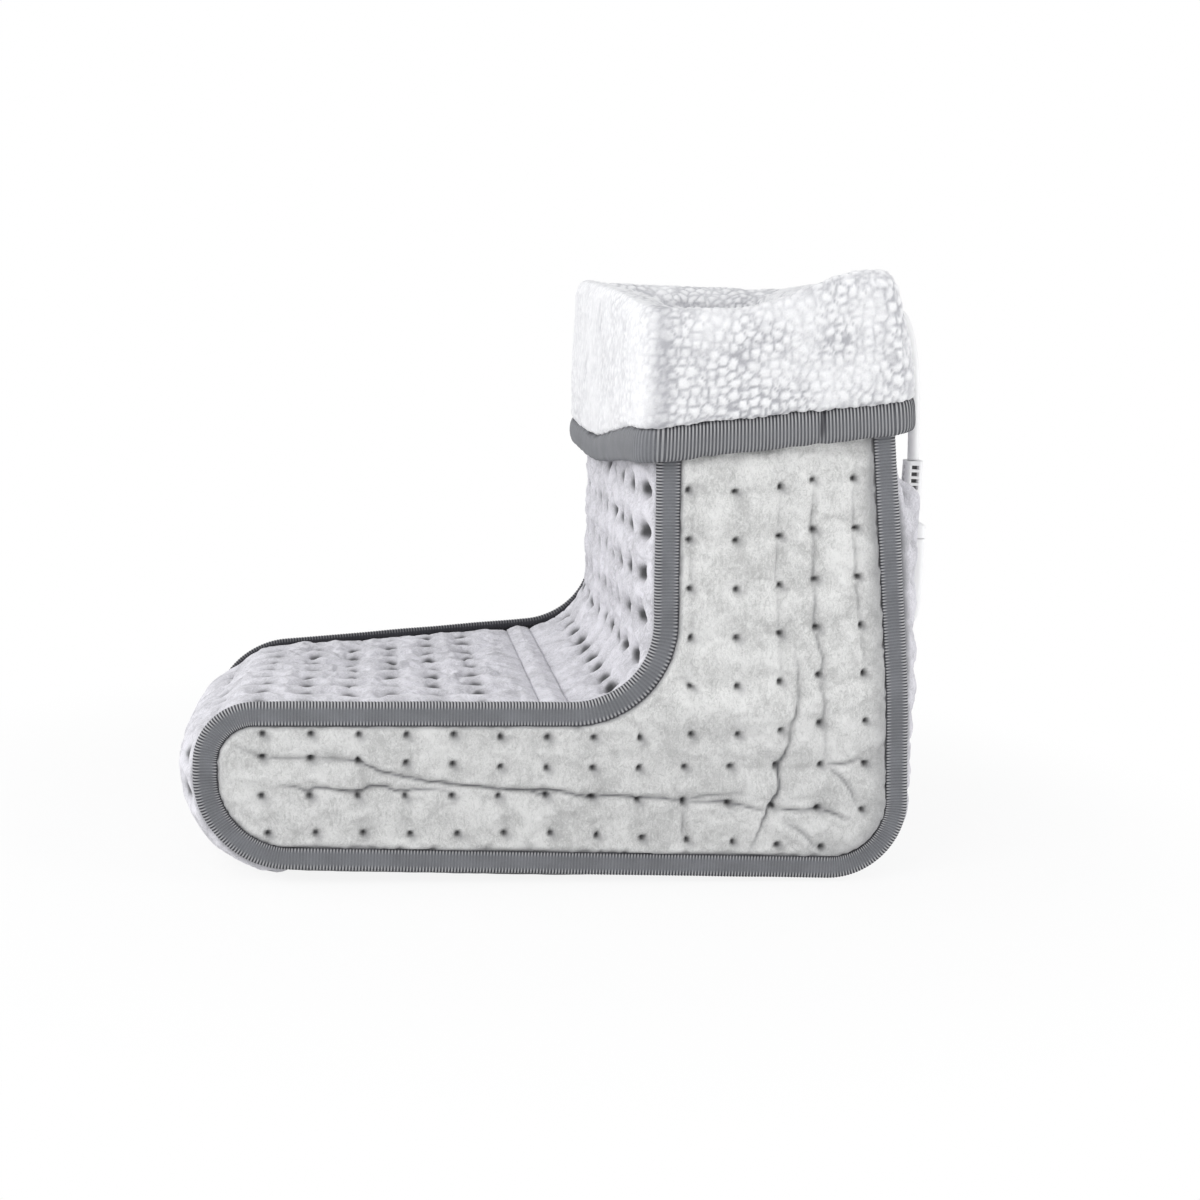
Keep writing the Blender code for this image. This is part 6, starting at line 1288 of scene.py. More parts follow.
def side_tape(name, side, replaced, settings):
    """Folded tape carried along a side's outline, with a rib across it at each rib pitch.

    The profile is a wide leg on the side, a round fold over the seam and a narrow leg on
    the gusset; each rib lifts the outer face by a cosine wave along the outline.
    """
    places = LEFT_PLACES if side < 0 else RIGHT_PLACES
    travelled = travelled_along(places)
    front, back = slice(ANKLE_START * STATION_FINE), slice(HEEL_END * STATION_FINE, None)
    tops = [cuff_edge_height(x) - CUFF_BINDING_HEIGHT + 0.006
            for x in (SHAFT_FRONT_X, SHAFT_BACK_X)]
    first = np.interp(-tops[0], -places[front, 1], travelled[front])
    last = np.interp(tops[1], places[back, 1], travelled[back])
    rows = round((last - first) / (settings.rib_pitch / 5))
    along = np.linspace(first, last, rows)
    station = np.interp(along, travelled, STATIONS)[:, None]
    bend = 0.0016
    arc = np.linspace(0, math.pi / 2, 5)
    outer = [(HALF, -TAPE_WIDTH * share) for share in (1, 0.92, 0.75, 0.5, 0.3)]
    outer += [(HALF - bend * (1 - math.cos(a)), -bend * (1 - math.sin(a))) for a in arc]
    fold_start = len(outer) + 1
    outer += [(TAPE_INNER_BACK + bend * (1 - math.sin(a)) * 0.4, -bend * (1 - math.cos(a)))
              for a in arc]
    outer = np.array(outer + [(TAPE_INNER_BACK, -TAPE_INNER_WIDTH)])
    inner = [(TAPE_INNER_BACK + TAPE_THICKNESS, -TAPE_INNER_WIDTH),
             (TAPE_INNER_BACK + TAPE_THICKNESS, -TAPE_THICKNESS * 1.5),
             (HALF - TAPE_THICKNESS, -TAPE_THICKNESS * 1.5), (HALF - TAPE_THICKNESS, -TAPE_WIDTH)]
    profile = np.concatenate([outer, inner])
    width = np.cumsum(np.linalg.norm(np.diff(outer, axis=0, prepend=outer[:1]), axis=1))
    tangents = np.gradient(outer, axis=0)
    face = np.stack([-tangents[:, 1], tangents[:, 0]], axis=-1)
    face = face / np.linalg.norm(face, axis=1, keepdims=True)
    if face[1, 0] < 0:
        face = -face
    lift = np.zeros((rows, len(profile), 2))
    ribs = (0.5 + 0.5 * np.cos(2 * np.pi * along / settings.rib_pitch))[:, None]
    wobble = soft_noise(np.stack([along, along * 0], axis=-1), 0.02, 11)[:, None] * 0.00025
    turn = TAPE_WIDTH - bend
    marks = (0, 0.0012, 0.0027, turn - 0.0014, turn, width[-1])
    edge_gain = np.interp(width, marks, (1.0, 0.8, 0.12, 0.15, 0.9, 1.0))
    amount = (settings.rib_height * ribs * edge_gain[None, :]
              + wobble * (width / width[-1])[None, :])
    lift[:, :len(outer)] = face[None] * amount[..., None]
    y = side * (profile[None, :, 0] + lift[..., 0])
    height = profile[None, :, 1] + lift[..., 1]
    x, z, nx, nz = rail(station, side * HALF)
    rings = np.stack([x + nx * height, y, np.maximum(z + nz * height, 0.0)], axis=-1)
    points, quads, corners, caps = loft(rings)
    run = np.concatenate([width, width[-1] + np.array((0.0007, 0.005, 0.008, 0.02))])
    run_closed = np.append(run, run[-1] + 0.0007)
    uv = np.stack([along[np.minimum(corners[..., 0], rows - 1)], run_closed[corners[..., 1]]],
                  axis=-1)
    # Where the painted rib highlight and groove shade show: strongest at both edges of the tape.
    edge = np.tile(np.interp(run, marks, (1.0, 0.85, 0.05, 0.08, 0.95, 1.0)), rows)
    # Painted shade on the inner leg, the fold, the inside faces and the outer edge.
    painted_shade_and_stitches = np.zeros((rows, len(profile)))
    painted_shade_and_stitches[:, fold_start:] = 0.75
    painted_shade_and_stitches[:, len(outer) - 2:] = 1.0
    painted_shade_and_stitches[:, 0] = 0.9
    made = piece(name, points, quads, finish("ribbed tape"), replaces=replaced, slot="tape",
                 corner_uv=uv, shares={"edge": edge, "painted_shade_and_stitches": painted_shade_and_stitches.ravel()}, extra_faces=caps)
    return outwards(made)


# ---- cuff --------------------------------------------------------------------------

def cuff_places(spacing):
    """Places round the cuff as (a, b, cx, cy): a and b set the side, c the corner's direction.

    A point is the cuff's centre plus (a, b) times its half size less the corner's radius,
    plus the radius times (cx, cy). Places go round from the front's right end.
    """
    n_front, n_side = (round((length - CUFF_STRAIGHT_LESS) / spacing)
                       for length in (CUFF_WIDE, CUFF_LONG))
    n_corner = max(4, round(CUFF_CORNER_RUN / spacing))
    found = []
    for a, b, out, count, corner, start in (
            ((-1, -1), (1, -1), (-1.0, 0.0), n_front, (-1, -1), math.pi),
            ((-1, 1), (-1, -1), (0.0, -1.0), n_side, (1, -1), math.pi * 1.5),
            ((1, 1), (-1, 1), (1.0, 0.0), n_front, (1, 1), 0.0),
            ((1, -1), (1, 1), (0.0, 1.0), n_side, (-1, 1), math.pi / 2)):
        share = np.arange(count) / count
        found.append(np.stack([a[0] + (a[1] - a[0]) * share, b[0] + (b[1] - b[0]) * share,
                               *(np.full(count, part) for part in out)], axis=-1))
        angle = start + math.pi / 2 * np.arange(n_corner) / n_corner
        found.append(np.stack([*(np.full(n_corner, part) for part in corner),
                               np.cos(angle), np.sin(angle)], axis=-1))
    return np.concatenate(found)


def round_cuff(places, beside, beyond, z):
    """Points round the shaft, a distance beside the sides and beyond front and back."""
    lean = (BACK_BEND[0] - SHAFT_BACK_X) / (SHAFT_TOP_Z - BACK_BEND[1])
    front = SHAFT_FRONT_X - CUFF_CLEARANCE - beyond
    level = np.minimum(z, SHAFT_TOP_Z)
    back = SHAFT_BACK_X + lean * (SHAFT_TOP_Z - level) + CUFF_CLEARANCE + CUFF_BACK_EASE + beyond
    back = back - CUFF_TOP_LEAN * (z - level)
    half = HALF + CUFF_CLEARANCE + beside
    radius = np.maximum(CUFF_CORNER_RADIUS + np.minimum(beside, beyond), CUFF_CORNER_RADIUS / 2)
    a, b, cx, cy = (places[:, None, index] for index in range(4))
    middle = (front + back) / 2
    x = middle + a * ((back - front) / 2 - radius) + cx * radius
    y = b * (half - radius) + cy * radius
    arch = bow(y / half)
    ahead = np.where(x < middle, -CUFF_FRONT_CROWN, CUFF_BACK_CROWN) * arch
    return np.stack([x + ahead, y, z + 0 * x], axis=-1)


def cuff_normals(skin, column):
    """Normals of a ring round the cuff, turned outwards by those in front, at one column."""
    normals = grid_normals(skin, closed_rows=True)
    return -normals if np.mean(normals[:len(skin) // 8, column, 0]) > 0 else normals


def spread(control, count):
    """Control rows spread to a dense count by smooth interpolation along each row."""
    points = through_many(control)
    travelled = travelled_along(points.mean(axis=0))
    wanted = np.linspace(0, travelled[-1], count)
    index = np.interp(wanted, travelled, np.arange(len(travelled)))
    low = np.clip(np.floor(index).astype(int), 0, points.shape[1] - 2)
    share = (index - low)[None, :, None]
    return points[:, low] * (1 - share) + points[:, low + 1] * share


def through_many(control, fine=12):
    """Catmull-Rom pieces with even steps through each row of control points at once."""
    chain = np.moveaxis(extended(np.moveaxis(control, 1, 0)), 0, 1)
    t = (np.arange(fine) / fine)[None, :, None]
    found = []
    for index in range(control.shape[1] - 1):
        p0, p1, p2, p3 = (chain[:, index + shift][:, None] for shift in range(4))
        found.append(0.5 * (2 * p1 + (p2 - p0) * t + (2 * p0 - 5 * p1 + 4 * p2 - p3) * t ** 2
                            + (3 * p1 - p0 - 3 * p2 + p3) * t ** 3))
    found.append(control[:, -1:])
    return np.concatenate(found, axis=1)


def sherpa_cuff(settings, replaced):
    """Fleece ring with a flap outside, a rolled rim and a leg inside, covered in curls.

    Each curl is a dome, the square root of 1 less its distance squared, over one of many
    scattered points; painted shade in the crevices between them is carried as a share for the
    colour.
    """
    places = cuff_places(settings.grid)
    rows = len(places)
    inner_side = -PANEL_THICKNESS - TAPE_THICKNESS - 2 * GAP - CUFF_CLEARANCE
    inner_end = INNER_LEVEL - GAP - CUFF_CLEARANCE - CUFF_BACK_EASE - CUFF_INNER_EASE
    flap, end_flap = CUFF_FLAP - 0.0006, CUFF_END_FLAP - 0.0003
    # Outside: share of the flap's reach, share of the climb from edge to rim, and a lift
    outer = ((0.15, 0, 0.0003), (0.55, 0, 0.0002), (0.85, 0, 0.0012), (0.97, 0, 0.0060),
             (1.0, 0.25, 0), (1.03, 0.5, 0), (1.0, 1, -flap * 1.2), (0.86, 1, -flap * 0.6),
             (0.52, 1, -flap * 0.16), (0.10, 1, 0))
    # Inside, from the rim down: share of the leg's reach and a lift from the rim
    inner = ((0.30, -flap * 0.14), (0.72, -flap * 0.55), (0.95, -flap * 1.2), (1.0, -flap * 2.4))
    control = []
    for share, climb, lift in outer:
        beside, beyond = (np.full((rows, 1), reach * share) for reach in (flap, end_flap))
        _, edge, rim = cuff_heights(places, beside, beyond)
        height = edge + (rim - edge) * climb + lift
        control.append(np.concatenate([beside, beyond, height], axis=1))
    leg_side, leg_end = inner_side - LINING_THICKNESS, inner_end - LINING_THICKNESS
    for share, lift in inner:
        beside, beyond = (np.full((rows, 1), reach * share) for reach in (leg_side, leg_end))
        rim = cuff_heights(places, beside, beyond)[2]
        control.append(np.concatenate([beside, beyond, rim + lift], axis=1))
    for height in (0.0290, 0.0150, 0.0012):
        control.append(np.tile([leg_side, leg_end, LINING_TOP_Z + height], (rows, 1)))
    section = spread(np.stack(control, axis=1), CUFF_COLUMNS)
    skin = round_cuff(places, *np.moveaxis(section, -1, 0))
    normals = cuff_normals(skin, CUFF_COLUMNS // 3 + 1)
    curl = settings.curl
    bent = np.stack([soft_noise(skin, curl * 0.9, 51 + axis) for axis in range(3)], axis=-1)
    near, second = curl_distance(skin * (1.0, 1.0, 1.08) + bent * curl * 0.16, curl, 5)
    dome = np.sqrt(np.clip(1 - (near / 0.92) ** 2, 0, 1))
    gap = np.clip((second - near) / 0.42, 0, 1)
    small, _ = curl_distance(skin, curl * 0.42, 9)
    ahead = eased((SHAFT_FRONT_X + 0.003 - skin[..., 0]) / 0.005)
    strength = np.clip(0.78 + 0.34 * soft_noise(skin, 0.040, 21), 0.4, 1.1) * (1 - 0.45 * ahead)
    lumps = soft_noise(skin, 0.030, 31) * 0.0009 + soft_noise(skin, 0.012, 32) * 0.0006
    lift = (settings.curl_height * strength * (dome * (0.55 + 0.45 * gap) - 0.35)
            + 0.00032 * (1 - small) + lumps)
    ends = np.linspace(0, 1, CUFF_COLUMNS)
    lift *= np.clip(np.minimum(ends, 1 - ends) * 40, 0, 1)[None, :]
    skin = skin + normals * lift[..., None]
    back = [round_cuff(places, *(np.full((rows, 1), value) for value in reach_and_height))
            for reach_and_height in ((inner_side, inner_end, LINING_TOP_Z + GAP),
                                     (inner_side, inner_end, SHAFT_TOP_Z + GAP),
                                     (0.0, 0.0, SHAFT_TOP_Z + GAP))]
    rings = np.concatenate([skin] + back, axis=1)
    quads, _ = grid_faces(rows, rings.shape[1], True, True)
    # Painted shade band down the cuff's near front corner, where it turns.
    bend = (np.exp(-((skin[..., 0] - SHAFT_FRONT_X) / 0.0045) ** 2)
            * eased((-skin[..., 1] - HALF + 0.012) / 0.008))
    drawn = np.clip(0.75 + 0.55 * soft_noise(skin, 0.014, 61), 0.25, 1.2) * strength
    # Painted shade in the crevices and in the corner band; the back rows carry half.
    painted_crevice_shade = np.full(rings.shape[:2], 0.5)
    painted_crevice_shade[:, :CUFF_COLUMNS] = np.clip(1.25 * (1 - gap) ** 1.7 * drawn + 0.48 * bend, 0, 1)
    made = piece("fleece_cuff", rings.reshape(-1, 3), quads, finish("curly fleece"),
                 replaces=replaced, slot="fleece", shares={"painted_crevice_shade": painted_crevice_shade.ravel()})
    outwards(made)
    return made


def cuff_tape(settings, replaced):
    """Ribbed tape folded round the cuff's lower edge, with uneven puckers along its top."""
    pitch = settings.rib_pitch
    places = cuff_places(pitch / 5)
    rows = len(places)
    angle = np.arange(rows) / rows * 2 * math.pi
    ring = np.stack([np.cos(angle), np.sin(angle)], axis=-1)
    wobble = soft_noise(ring, 0.05, 41)[:, None] * 0.0005
    pucker = soft_noise(ring, 0.012, 42)[:, None] * 0.0004
    # Share of the thickness, share of the climb from the binding's foot to its top, and a lift
    control = ((0.05, 1, -0.0006), (0.02, 0.5, 0), (0.04, 0, 0.0016), (0.28, 0, 0.0002),
               (0.65, 0, 0.0002), (0.92, 0, 0.0018), (1.02, 0, 0.0045), (1.04, 0.5, 0),
               (1.00, 1, -0.0035), (0.82, 1, -0.0008), (0.50, 1, -0.0002))
    rings = []
    for out, climb, lift in control:
        reach = np.full((rows, 1), CUFF_BINDING_THICKNESS * out)
        foot, edge, _ = cuff_heights(places, reach, reach)
        height = foot + (edge + 0.0004 - foot) * climb + lift
        height = height + wobble * (1 - climb) + pucker * climb
        rings.append(np.concatenate([reach, reach, height], axis=1))
    section = spread(np.stack(rings, axis=1), BINDING_COLUMNS)
    skin = round_cuff(places, *np.moveaxis(section, -1, 0))
    normals = cuff_normals(skin, BINDING_COLUMNS * 2 // 3)
    ribs = 0.5 + 0.5 * np.cos(2 * np.pi * (np.arange(rows) * pitch / 5) / pitch)
    share = np.linspace(0, 1, BINDING_COLUMNS)[None, :]
    plain = 1 - 0.75 * eased((SHAFT_FRONT_X + 0.001 - skin[..., 0]) / 0.004)
    # Share of rib height across the binding, and where the painted rib highlight and groove shade
    # show.
    edge = np.interp(share, (0, 0.35, 0.5, 0.72, 0.85, 1.0), (0.2, 0.7, 0.65, 0.5, 0.9, 1.0))
    edge = edge * plain
    # A pressed-in nip on the left side, with painted shade in it.
    nip = (np.exp(-((skin[..., 0] - CUFF_NIP_X) / 0.0013) ** 2) * (skin[..., 1] < 0)
           * eased((share - 0.5) / 0.2))
    lift = settings.rib_height * ribs[:, None] * edge - 0.0011 * nip
    skin = skin + normals * lift[..., None]
    stitch = np.clip(0.45 + 1.4 * soft_noise(ring, 0.035, 43), 0, 1)[:, None]
    quads, corners = grid_faces(rows, BINDING_COLUMNS, True, True)
    uv = np.stack([corners[..., 0] * pitch / 5, corners[..., 1] * 0.001], axis=-1)
    # Painted shade in the nip, and dark stitches along the top edge.
    painted_shade_and_stitches = np.maximum(0.8 * nip, stitch * eased((share - 0.90) / 0.06))
    made = piece("cuff_tape", skin.reshape(-1, 3), quads, finish("ribbed tape"),
                 replaces=replaced, slot="tape", corner_uv=uv,
                 shares={"edge": edge.ravel(), "painted_shade_and_stitches": painted_shade_and_stitches.ravel()})
    return outwards(made)


# ---- linings -----------------------------------------------------------------------

def lining_patch(name, outer, inner, settings, replaced, seed):
    """Fleece with curls on its inner face, closed by a plain back."""
    normals = grid_normals(inner)
    if np.mean(np.sum(normals * (inner - outer), axis=-1)) < 0:
        normals = -normals
    near, second = curl_distance(inner, settings.curl, seed)
    gap = np.clip((second - near) / 0.30, 0, 1)
    lift = settings.curl_height * 0.7 * (np.sqrt(np.clip(1 - near ** 2, 0, 1)) - 0.5)
    rows, columns = inner.shape[:2]
    rim = np.minimum.outer(steps_from_ends(rows), steps_from_ends(columns))
    inner = inner + normals * (lift * np.clip(rim / 2, 0, 1))[..., None]
    quads, _ = grid_faces(rows, columns)
    points, faces = walled(inner.reshape(-1, 3), outer.reshape(-1, 3), quads)
    # Painted shade in the crevices between curls.
    painted_crevice_shade = np.concatenate([((1 - gap) ** 1.5).ravel(), np.zeros(gap.size)])
    made = piece(name, points, faces, finish("curly fleece"), replaces=replaced, slot="fleece",
                 shares={"painted_crevice_shade": painted_crevice_shade})
    outwards(made)
    return made


def gusset_lining(name, first, last, space, settings, replaced, seed):
    """Fleece inside a strip of the gusset, parallel to its inside."""
    length = float(np.interp(last, STATIONS, TRAVELLED) - np.interp(first, STATIONS, TRAVELLED))
    rows, columns = max(4, round(length / LINING_GRID)), 88
    edge = SIDE_FACE - PANEL_THICKNESS - GAP - LINING_THICKNESS - GAP
    station = np.linspace(first + 0.02, last - 0.02, rows)[:, None]
    y = np.linspace(-edge, edge, columns)[None, :]
    height = INNER_LEVEL + inner_swell(station, y) - GAP - space
    limit = SOCKET_SEAT_X - 2 * GAP - PANEL_THICKNESS - MAT_SPACE
    outer, inner = (over_outline(station, y, height - deep) for deep in (0.0, LINING_THICKNESS))
    outer[..., 0] = np.minimum(outer[..., 0], limit)
    inner[..., 0] = np.minimum(inner[..., 0], limit - LINING_THICKNESS)
    return lining_patch(name, outer, inner, settings, replaced, seed)


# ---- fittings ----------------------------------------------------------------------

def rounded_ring(centre, width, depth, radius, z, steps=8):
    """A level rounded rectangle, width along Y and depth along X."""
    angle = (np.pi / 2 * (np.arange(4)[:, None] + np.linspace(0, 1, steps + 1)[None, :])).ravel()
    sx = np.repeat((1, -1, -1, 1), steps + 1)
    sy = np.repeat((1, 1, -1, -1), steps + 1)
    return np.stack([centre[0] + sx * (depth / 2 - radius) + radius * np.cos(angle),
                     centre[1] + sy * (width / 2 - radius) + radius * np.sin(angle),
                     np.full(len(angle), z)], axis=-1)


def solid_loft(name, rings, finish_name, body, replaced, slot, angle=35, shares=None):
    """A closed body through rings, smooth but for edges sharper than an angle."""
    points, quads, _, caps = loft(rings)
    made = piece(name, points, quads, finish(finish_name), body=body, replaces=replaced,
                 slot=slot, extra_faces=caps, shares=shares)
    outwards(made)
    made.data.set_sharp_from_angle(angle=math.radians(angle))
    return made


def plug_ring(z, inset=0.0, corner=SOCKET_CORNER):
    """A level ring round the connector, narrower than the socket by an inset on each side."""
    return rounded_ring((PLUG_X, PLUG_Y), SOCKET_WIDTH - 2 * inset, SOCKET_DEPTH - 2 * inset,
                        corner, z)


def socket_housing():
    """The socket on the boot's back: a rounded box with a drawn-in foot and an open mouth."""
    back_face = PLUG_X - SOCKET_DEPTH / 2
    height = SOCKET_TOP_Z - SOCKET_BOTTOM_Z
    rings = []
    for share in np.linspace(0, 1, 9):
        round_share = math.sin(share * math.pi / 2)
        grow = 0.62 + 0.38 * round_share
        deep = SOCKET_DEPTH * (0.6 + 0.4 * round_share)
        z = SOCKET_BOTTOM_Z + height * 0.3 * (1 - math.cos(share * math.pi / 2))
        rings.append(rounded_ring((back_face + deep / 2, PLUG_Y), SOCKET_WIDTH * grow, deep,
                                  SOCKET_CORNER * grow, z))
    rings += [plug_ring(SOCKET_TOP_Z - drop) for drop in (0.0009, 0.0006, 0.0003)]
    rings.append(plug_ring(SOCKET_TOP_Z, 0.0003, SOCKET_CORNER - 0.0003))
    rings += [plug_ring(z, SOCKET_WALL, SOCKET_CORNER / 2)
              for z in (SOCKET_TOP_Z, SOCKET_TOP_Z - SOCKET_HOLLOW)]
    return solid_loft("boot_socket", rings, "white plastic", "boot", ("socket_housing",),
                      "white_plastic")


def plug_cover():
    """The plug's grip over the socket, rounded at its top edge."""
    low = SOCKET_TOP_Z + GAP
    high = low + PLUG_GRIP_HEIGHT
    rings = [plug_ring(low, 0.00025, SOCKET_CORNER - 0.0002), plug_ring(low + 0.0003)]
    for share in np.linspace(0, 1, 7):
        inset = SOCKET_CORNER * 0.8 * (1 - math.cos(share * math.pi / 2))
        rings.append(plug_ring(high - 0.0024 * (1 - math.sin(share * math.pi / 2)), inset,
                               max(SOCKET_CORNER - inset, 0.0008)))
    return solid_loft("plug_grip", rings, "white plastic", "plug", ("plug_cover",),
                      "white_plastic")


def plug_relief():
    """Slotted strain relief: four spines joined by bars, slots in each face between."""
    bottom = SOCKET_TOP_Z + 2 * GAP + PLUG_GRIP_HEIGHT
    slots, end, slope = 8, 0.0014, 0.0002
    pitch = (RELIEF_LENGTH - 2 * end) / slots
    levels = [(0.0, 0.0)]
    for slot in range(slots):
        low, high = (end + pitch * (slot + 0.5) + reach for reach in (-pitch * 0.25, pitch * 0.25))
        levels += [(low - slope, 0.0), (low, 0.7), (low, 1.0),
                   (high, 1.0), (high, 0.7), (high + slope, 0.0)]
    levels.append((RELIEF_LENGTH, 0.0))
    rings, shade = [], []
    for up, cut in levels:
        width = 0.0092 - 0.0006 * up / RELIEF_LENGTH
        ring = rounded_ring((0.0, 0.0), width, width, width * 0.27, bottom + up, 6)
        ring = evenly(np.concatenate([ring, ring[:1]]), 65)[:-1]
        spine = np.clip((np.minimum(np.abs(ring[:, 0]), np.abs(ring[:, 1])) / (width / 2)
                         - 0.34) / 0.10, 0, 1)
        ring[:, :2] *= (1 - (1 - spine) * cut * 0.42)[:, None]
        # Share of painted shade in each slot.
        shade.append((1 - spine) * cut)
        rings.append(ring + np.array((PLUG_X - RELIEF_SET_IN, PLUG_Y, 0.0)))
    return solid_loft("plug_sleeve", rings, "slotted sheath", "plug", ("plug_strain_relief",),
                      "lead", 30, {"slot": np.concatenate(shade)})


def smooth_route(route):
    """The lead's centreline: a smooth curve through its route, no lower than the floor allows."""
    points = through(route, ROUTE_POINTS)
    points[:, 2] = np.maximum(points[:, 2], CORD_DIAMETER / 2 + CORD_FLOOR_GAP)
    return points


def coil_points(per_turn=36):
    """Turns of the put-away lead: the radius swings in and out, the height climbs a layer."""
    layer_turns = COIL_TURNS / COIL_LAYERS
    swing = COIL_TURN_PITCH * layer_turns / 2
    turns = np.arange(COIL_TURNS * per_turn + 1) / per_turn
    layer = turns / layer_turns
    wave = np.abs((layer % 2) - 1) * 2 - 1
    climbs = np.arange(1, COIL_LAYERS)[:, None] * layer_turns
    share = np.clip((turns[None, :] - climbs) / 0.5 + 0.5, 0, 1)
    climbed = np.sum((1 - np.cos(np.pi * share)) / 2, axis=0)
    z = CORD_DIAMETER / 2 + COIL_LIFT + COIL_TURN_PITCH * climbed
    radius = COIL_MEAN_RADIUS + swing * wave
    angle = math.pi / 2 - math.tau * turns
    return np.stack([COIL_X + radius * np.cos(angle), COIL_Y + radius * np.sin(angle), z], axis=-1)


def tube(points, radius, sides=20):
    """Rings of a round section carried along points without twist."""
    ahead = np.gradient(points, axis=0)
    ahead = ahead / np.linalg.norm(ahead, axis=1, keepdims=True)
    across = np.zeros_like(points)
    side = np.cross(ahead[0], (0.0, 0.0, 1.0))
    if np.linalg.norm(side) < 0.1:
        side = np.cross(ahead[0], (0.0, 1.0, 0.0))
    for index, direction in enumerate(ahead):
        side = side - direction * (side @ direction)
        side = side / np.linalg.norm(side)
        across[index] = side
    up = np.cross(ahead, across)
    angle = math.tau * np.arange(sides) / sides
    return (points[:, None, :] + radius * (np.cos(angle)[None, :, None] * across[:, None, :]
                                           + np.sin(angle)[None, :, None] * up[:, None, :]))


# ---- operators ---------------------------------------------------------------------

class WARMER_OT_stage(bpy.types.Operator):
    """Camera, soft lamps, even sky and a white floor that keeps the boot's shadow."""

    bl_idname = "warmer.stage"
    bl_label = "Stage"

    def execute(self, context):
        scene = context.scene
        settings = scene.warmer_stage
        camera = bpy.data.objects.new("camera", bpy.data.cameras.new("camera"))
        scene.collection.objects.link(camera)
        place, target = Vector(settings.camera_place), Vector(settings.camera_target)
        look = (target - place).normalized()
        right = look.cross(Vector((0, 0, 1))).normalized()
        up = right.cross(look)
        roll = settings.camera_roll
        right, up = (right * math.cos(roll) + up * math.sin(roll),
                     up * math.cos(roll) - right * math.sin(roll))
        camera.matrix_world = Matrix((
            (right.x, up.x, -look.x, place.x), (right.y, up.y, -look.y, place.y),
            (right.z, up.z, -look.z, place.z), (0, 0, 0, 1)))
        camera.data.lens = settings.lens
        camera.data.sensor_width = 36.0
        camera.data.clip_start, camera.data.clip_end = 0.01, 20.0
        scene.camera = camera
        self.floor()
        self.sky(scene, settings)
        aim = Vector((0.0, 0.0, 0.1))
        for name, spot, size, power in (
                ("key_lamp", (-0.75, -1.00, 1.00), 0.9, settings.key_power),
                ("top_lamp", (0.10, 0.10, 1.45), 1.0, settings.fill_power * 0.12),
                ("toe_lamp", (-1.35, 0.05, 0.55), 0.9, settings.fill_power * 2.5),
                ("heel_lamp", (1.15, -0.60, 0.55), 0.9, settings.fill_power * 2.4)):
            lamp = bpy.data.lights.new(name, 'AREA')
            lamp.size = size
            lamp.energy = power
            holder = bpy.data.objects.new(name, lamp)
            scene.collection.objects.link(holder)
            spot = Vector(spot)
            holder.location = spot
            holder.rotation_mode = 'QUATERNION'
            holder.rotation_quaternion = (aim - spot).to_track_quat('-Z', 'Y')
        scene.view_settings.view_transform = 'Standard'
        return {'FINISHED'}

    def floor(self):
        """A white floor: camera and mirror rays see its shadow under white that grows outwards."""
        size = 3.0
        points = [(-size, -size, 0.0), (size, -size, 0.0), (size, size, 0.0), (-size, size, 0.0)]
        made = Finish("floor")
        path = made.add('ShaderNodeLightPath')
        seen = (Signal(made, path.outputs["Is Camera Ray"])
                + Signal(made, path.outputs["Is Glossy Ray"])).clipped()
        x, y = made.level_place()
        far = (x * x + y * y).step(0.03, 0.16)
        grain = made.noise(0.05)
        made.done(Base_Color=made.mix(grain, (0.80, 0.80, 0.80), (0.82, 0.82, 0.82)),
                  Roughness=0.9)
        glow = made.add('ShaderNodeEmission', None, {"Color": (1, 1, 1), "Strength": 1.0})
        blend = made.add('ShaderNodeMixShader', None,
                         {0: seen * (far * 0.12 + 0.88), 1: made.shader.outputs[0],
                          2: glow.outputs[0]})
        made.feed(made.nodes["Material Output"].inputs[0], blend.outputs[0])
        quad = np.array([[0, 1, 2, 3]])
        piece("floor", points, quad, made.material, body=None)

    def sky(self, scene, settings):
        """An even pale sky that is plain white to the camera."""
        world = bpy.data.worlds.new("sky")
        scene.world = world
        made = Nodes(world)
        path = made.add('ShaderNodeLightPath')
        lit = made.nodes["Background"]
        made.feed(lit.inputs["Color"], (0.97, 0.98, 1.0))
        made.feed(lit.inputs["Strength"], settings.sky)
        seen = made.add('ShaderNodeBackground', None, {"Color": (1.0, 1.0, 1.0)})
        blend = made.add('ShaderNodeMixShader', None, {
            0: path.outputs["Is Camera Ray"], 1: lit.outputs[0], 2: seen.outputs[0]})
        made.feed(made.nodes["World Output"].inputs[0], blend.outputs[0])


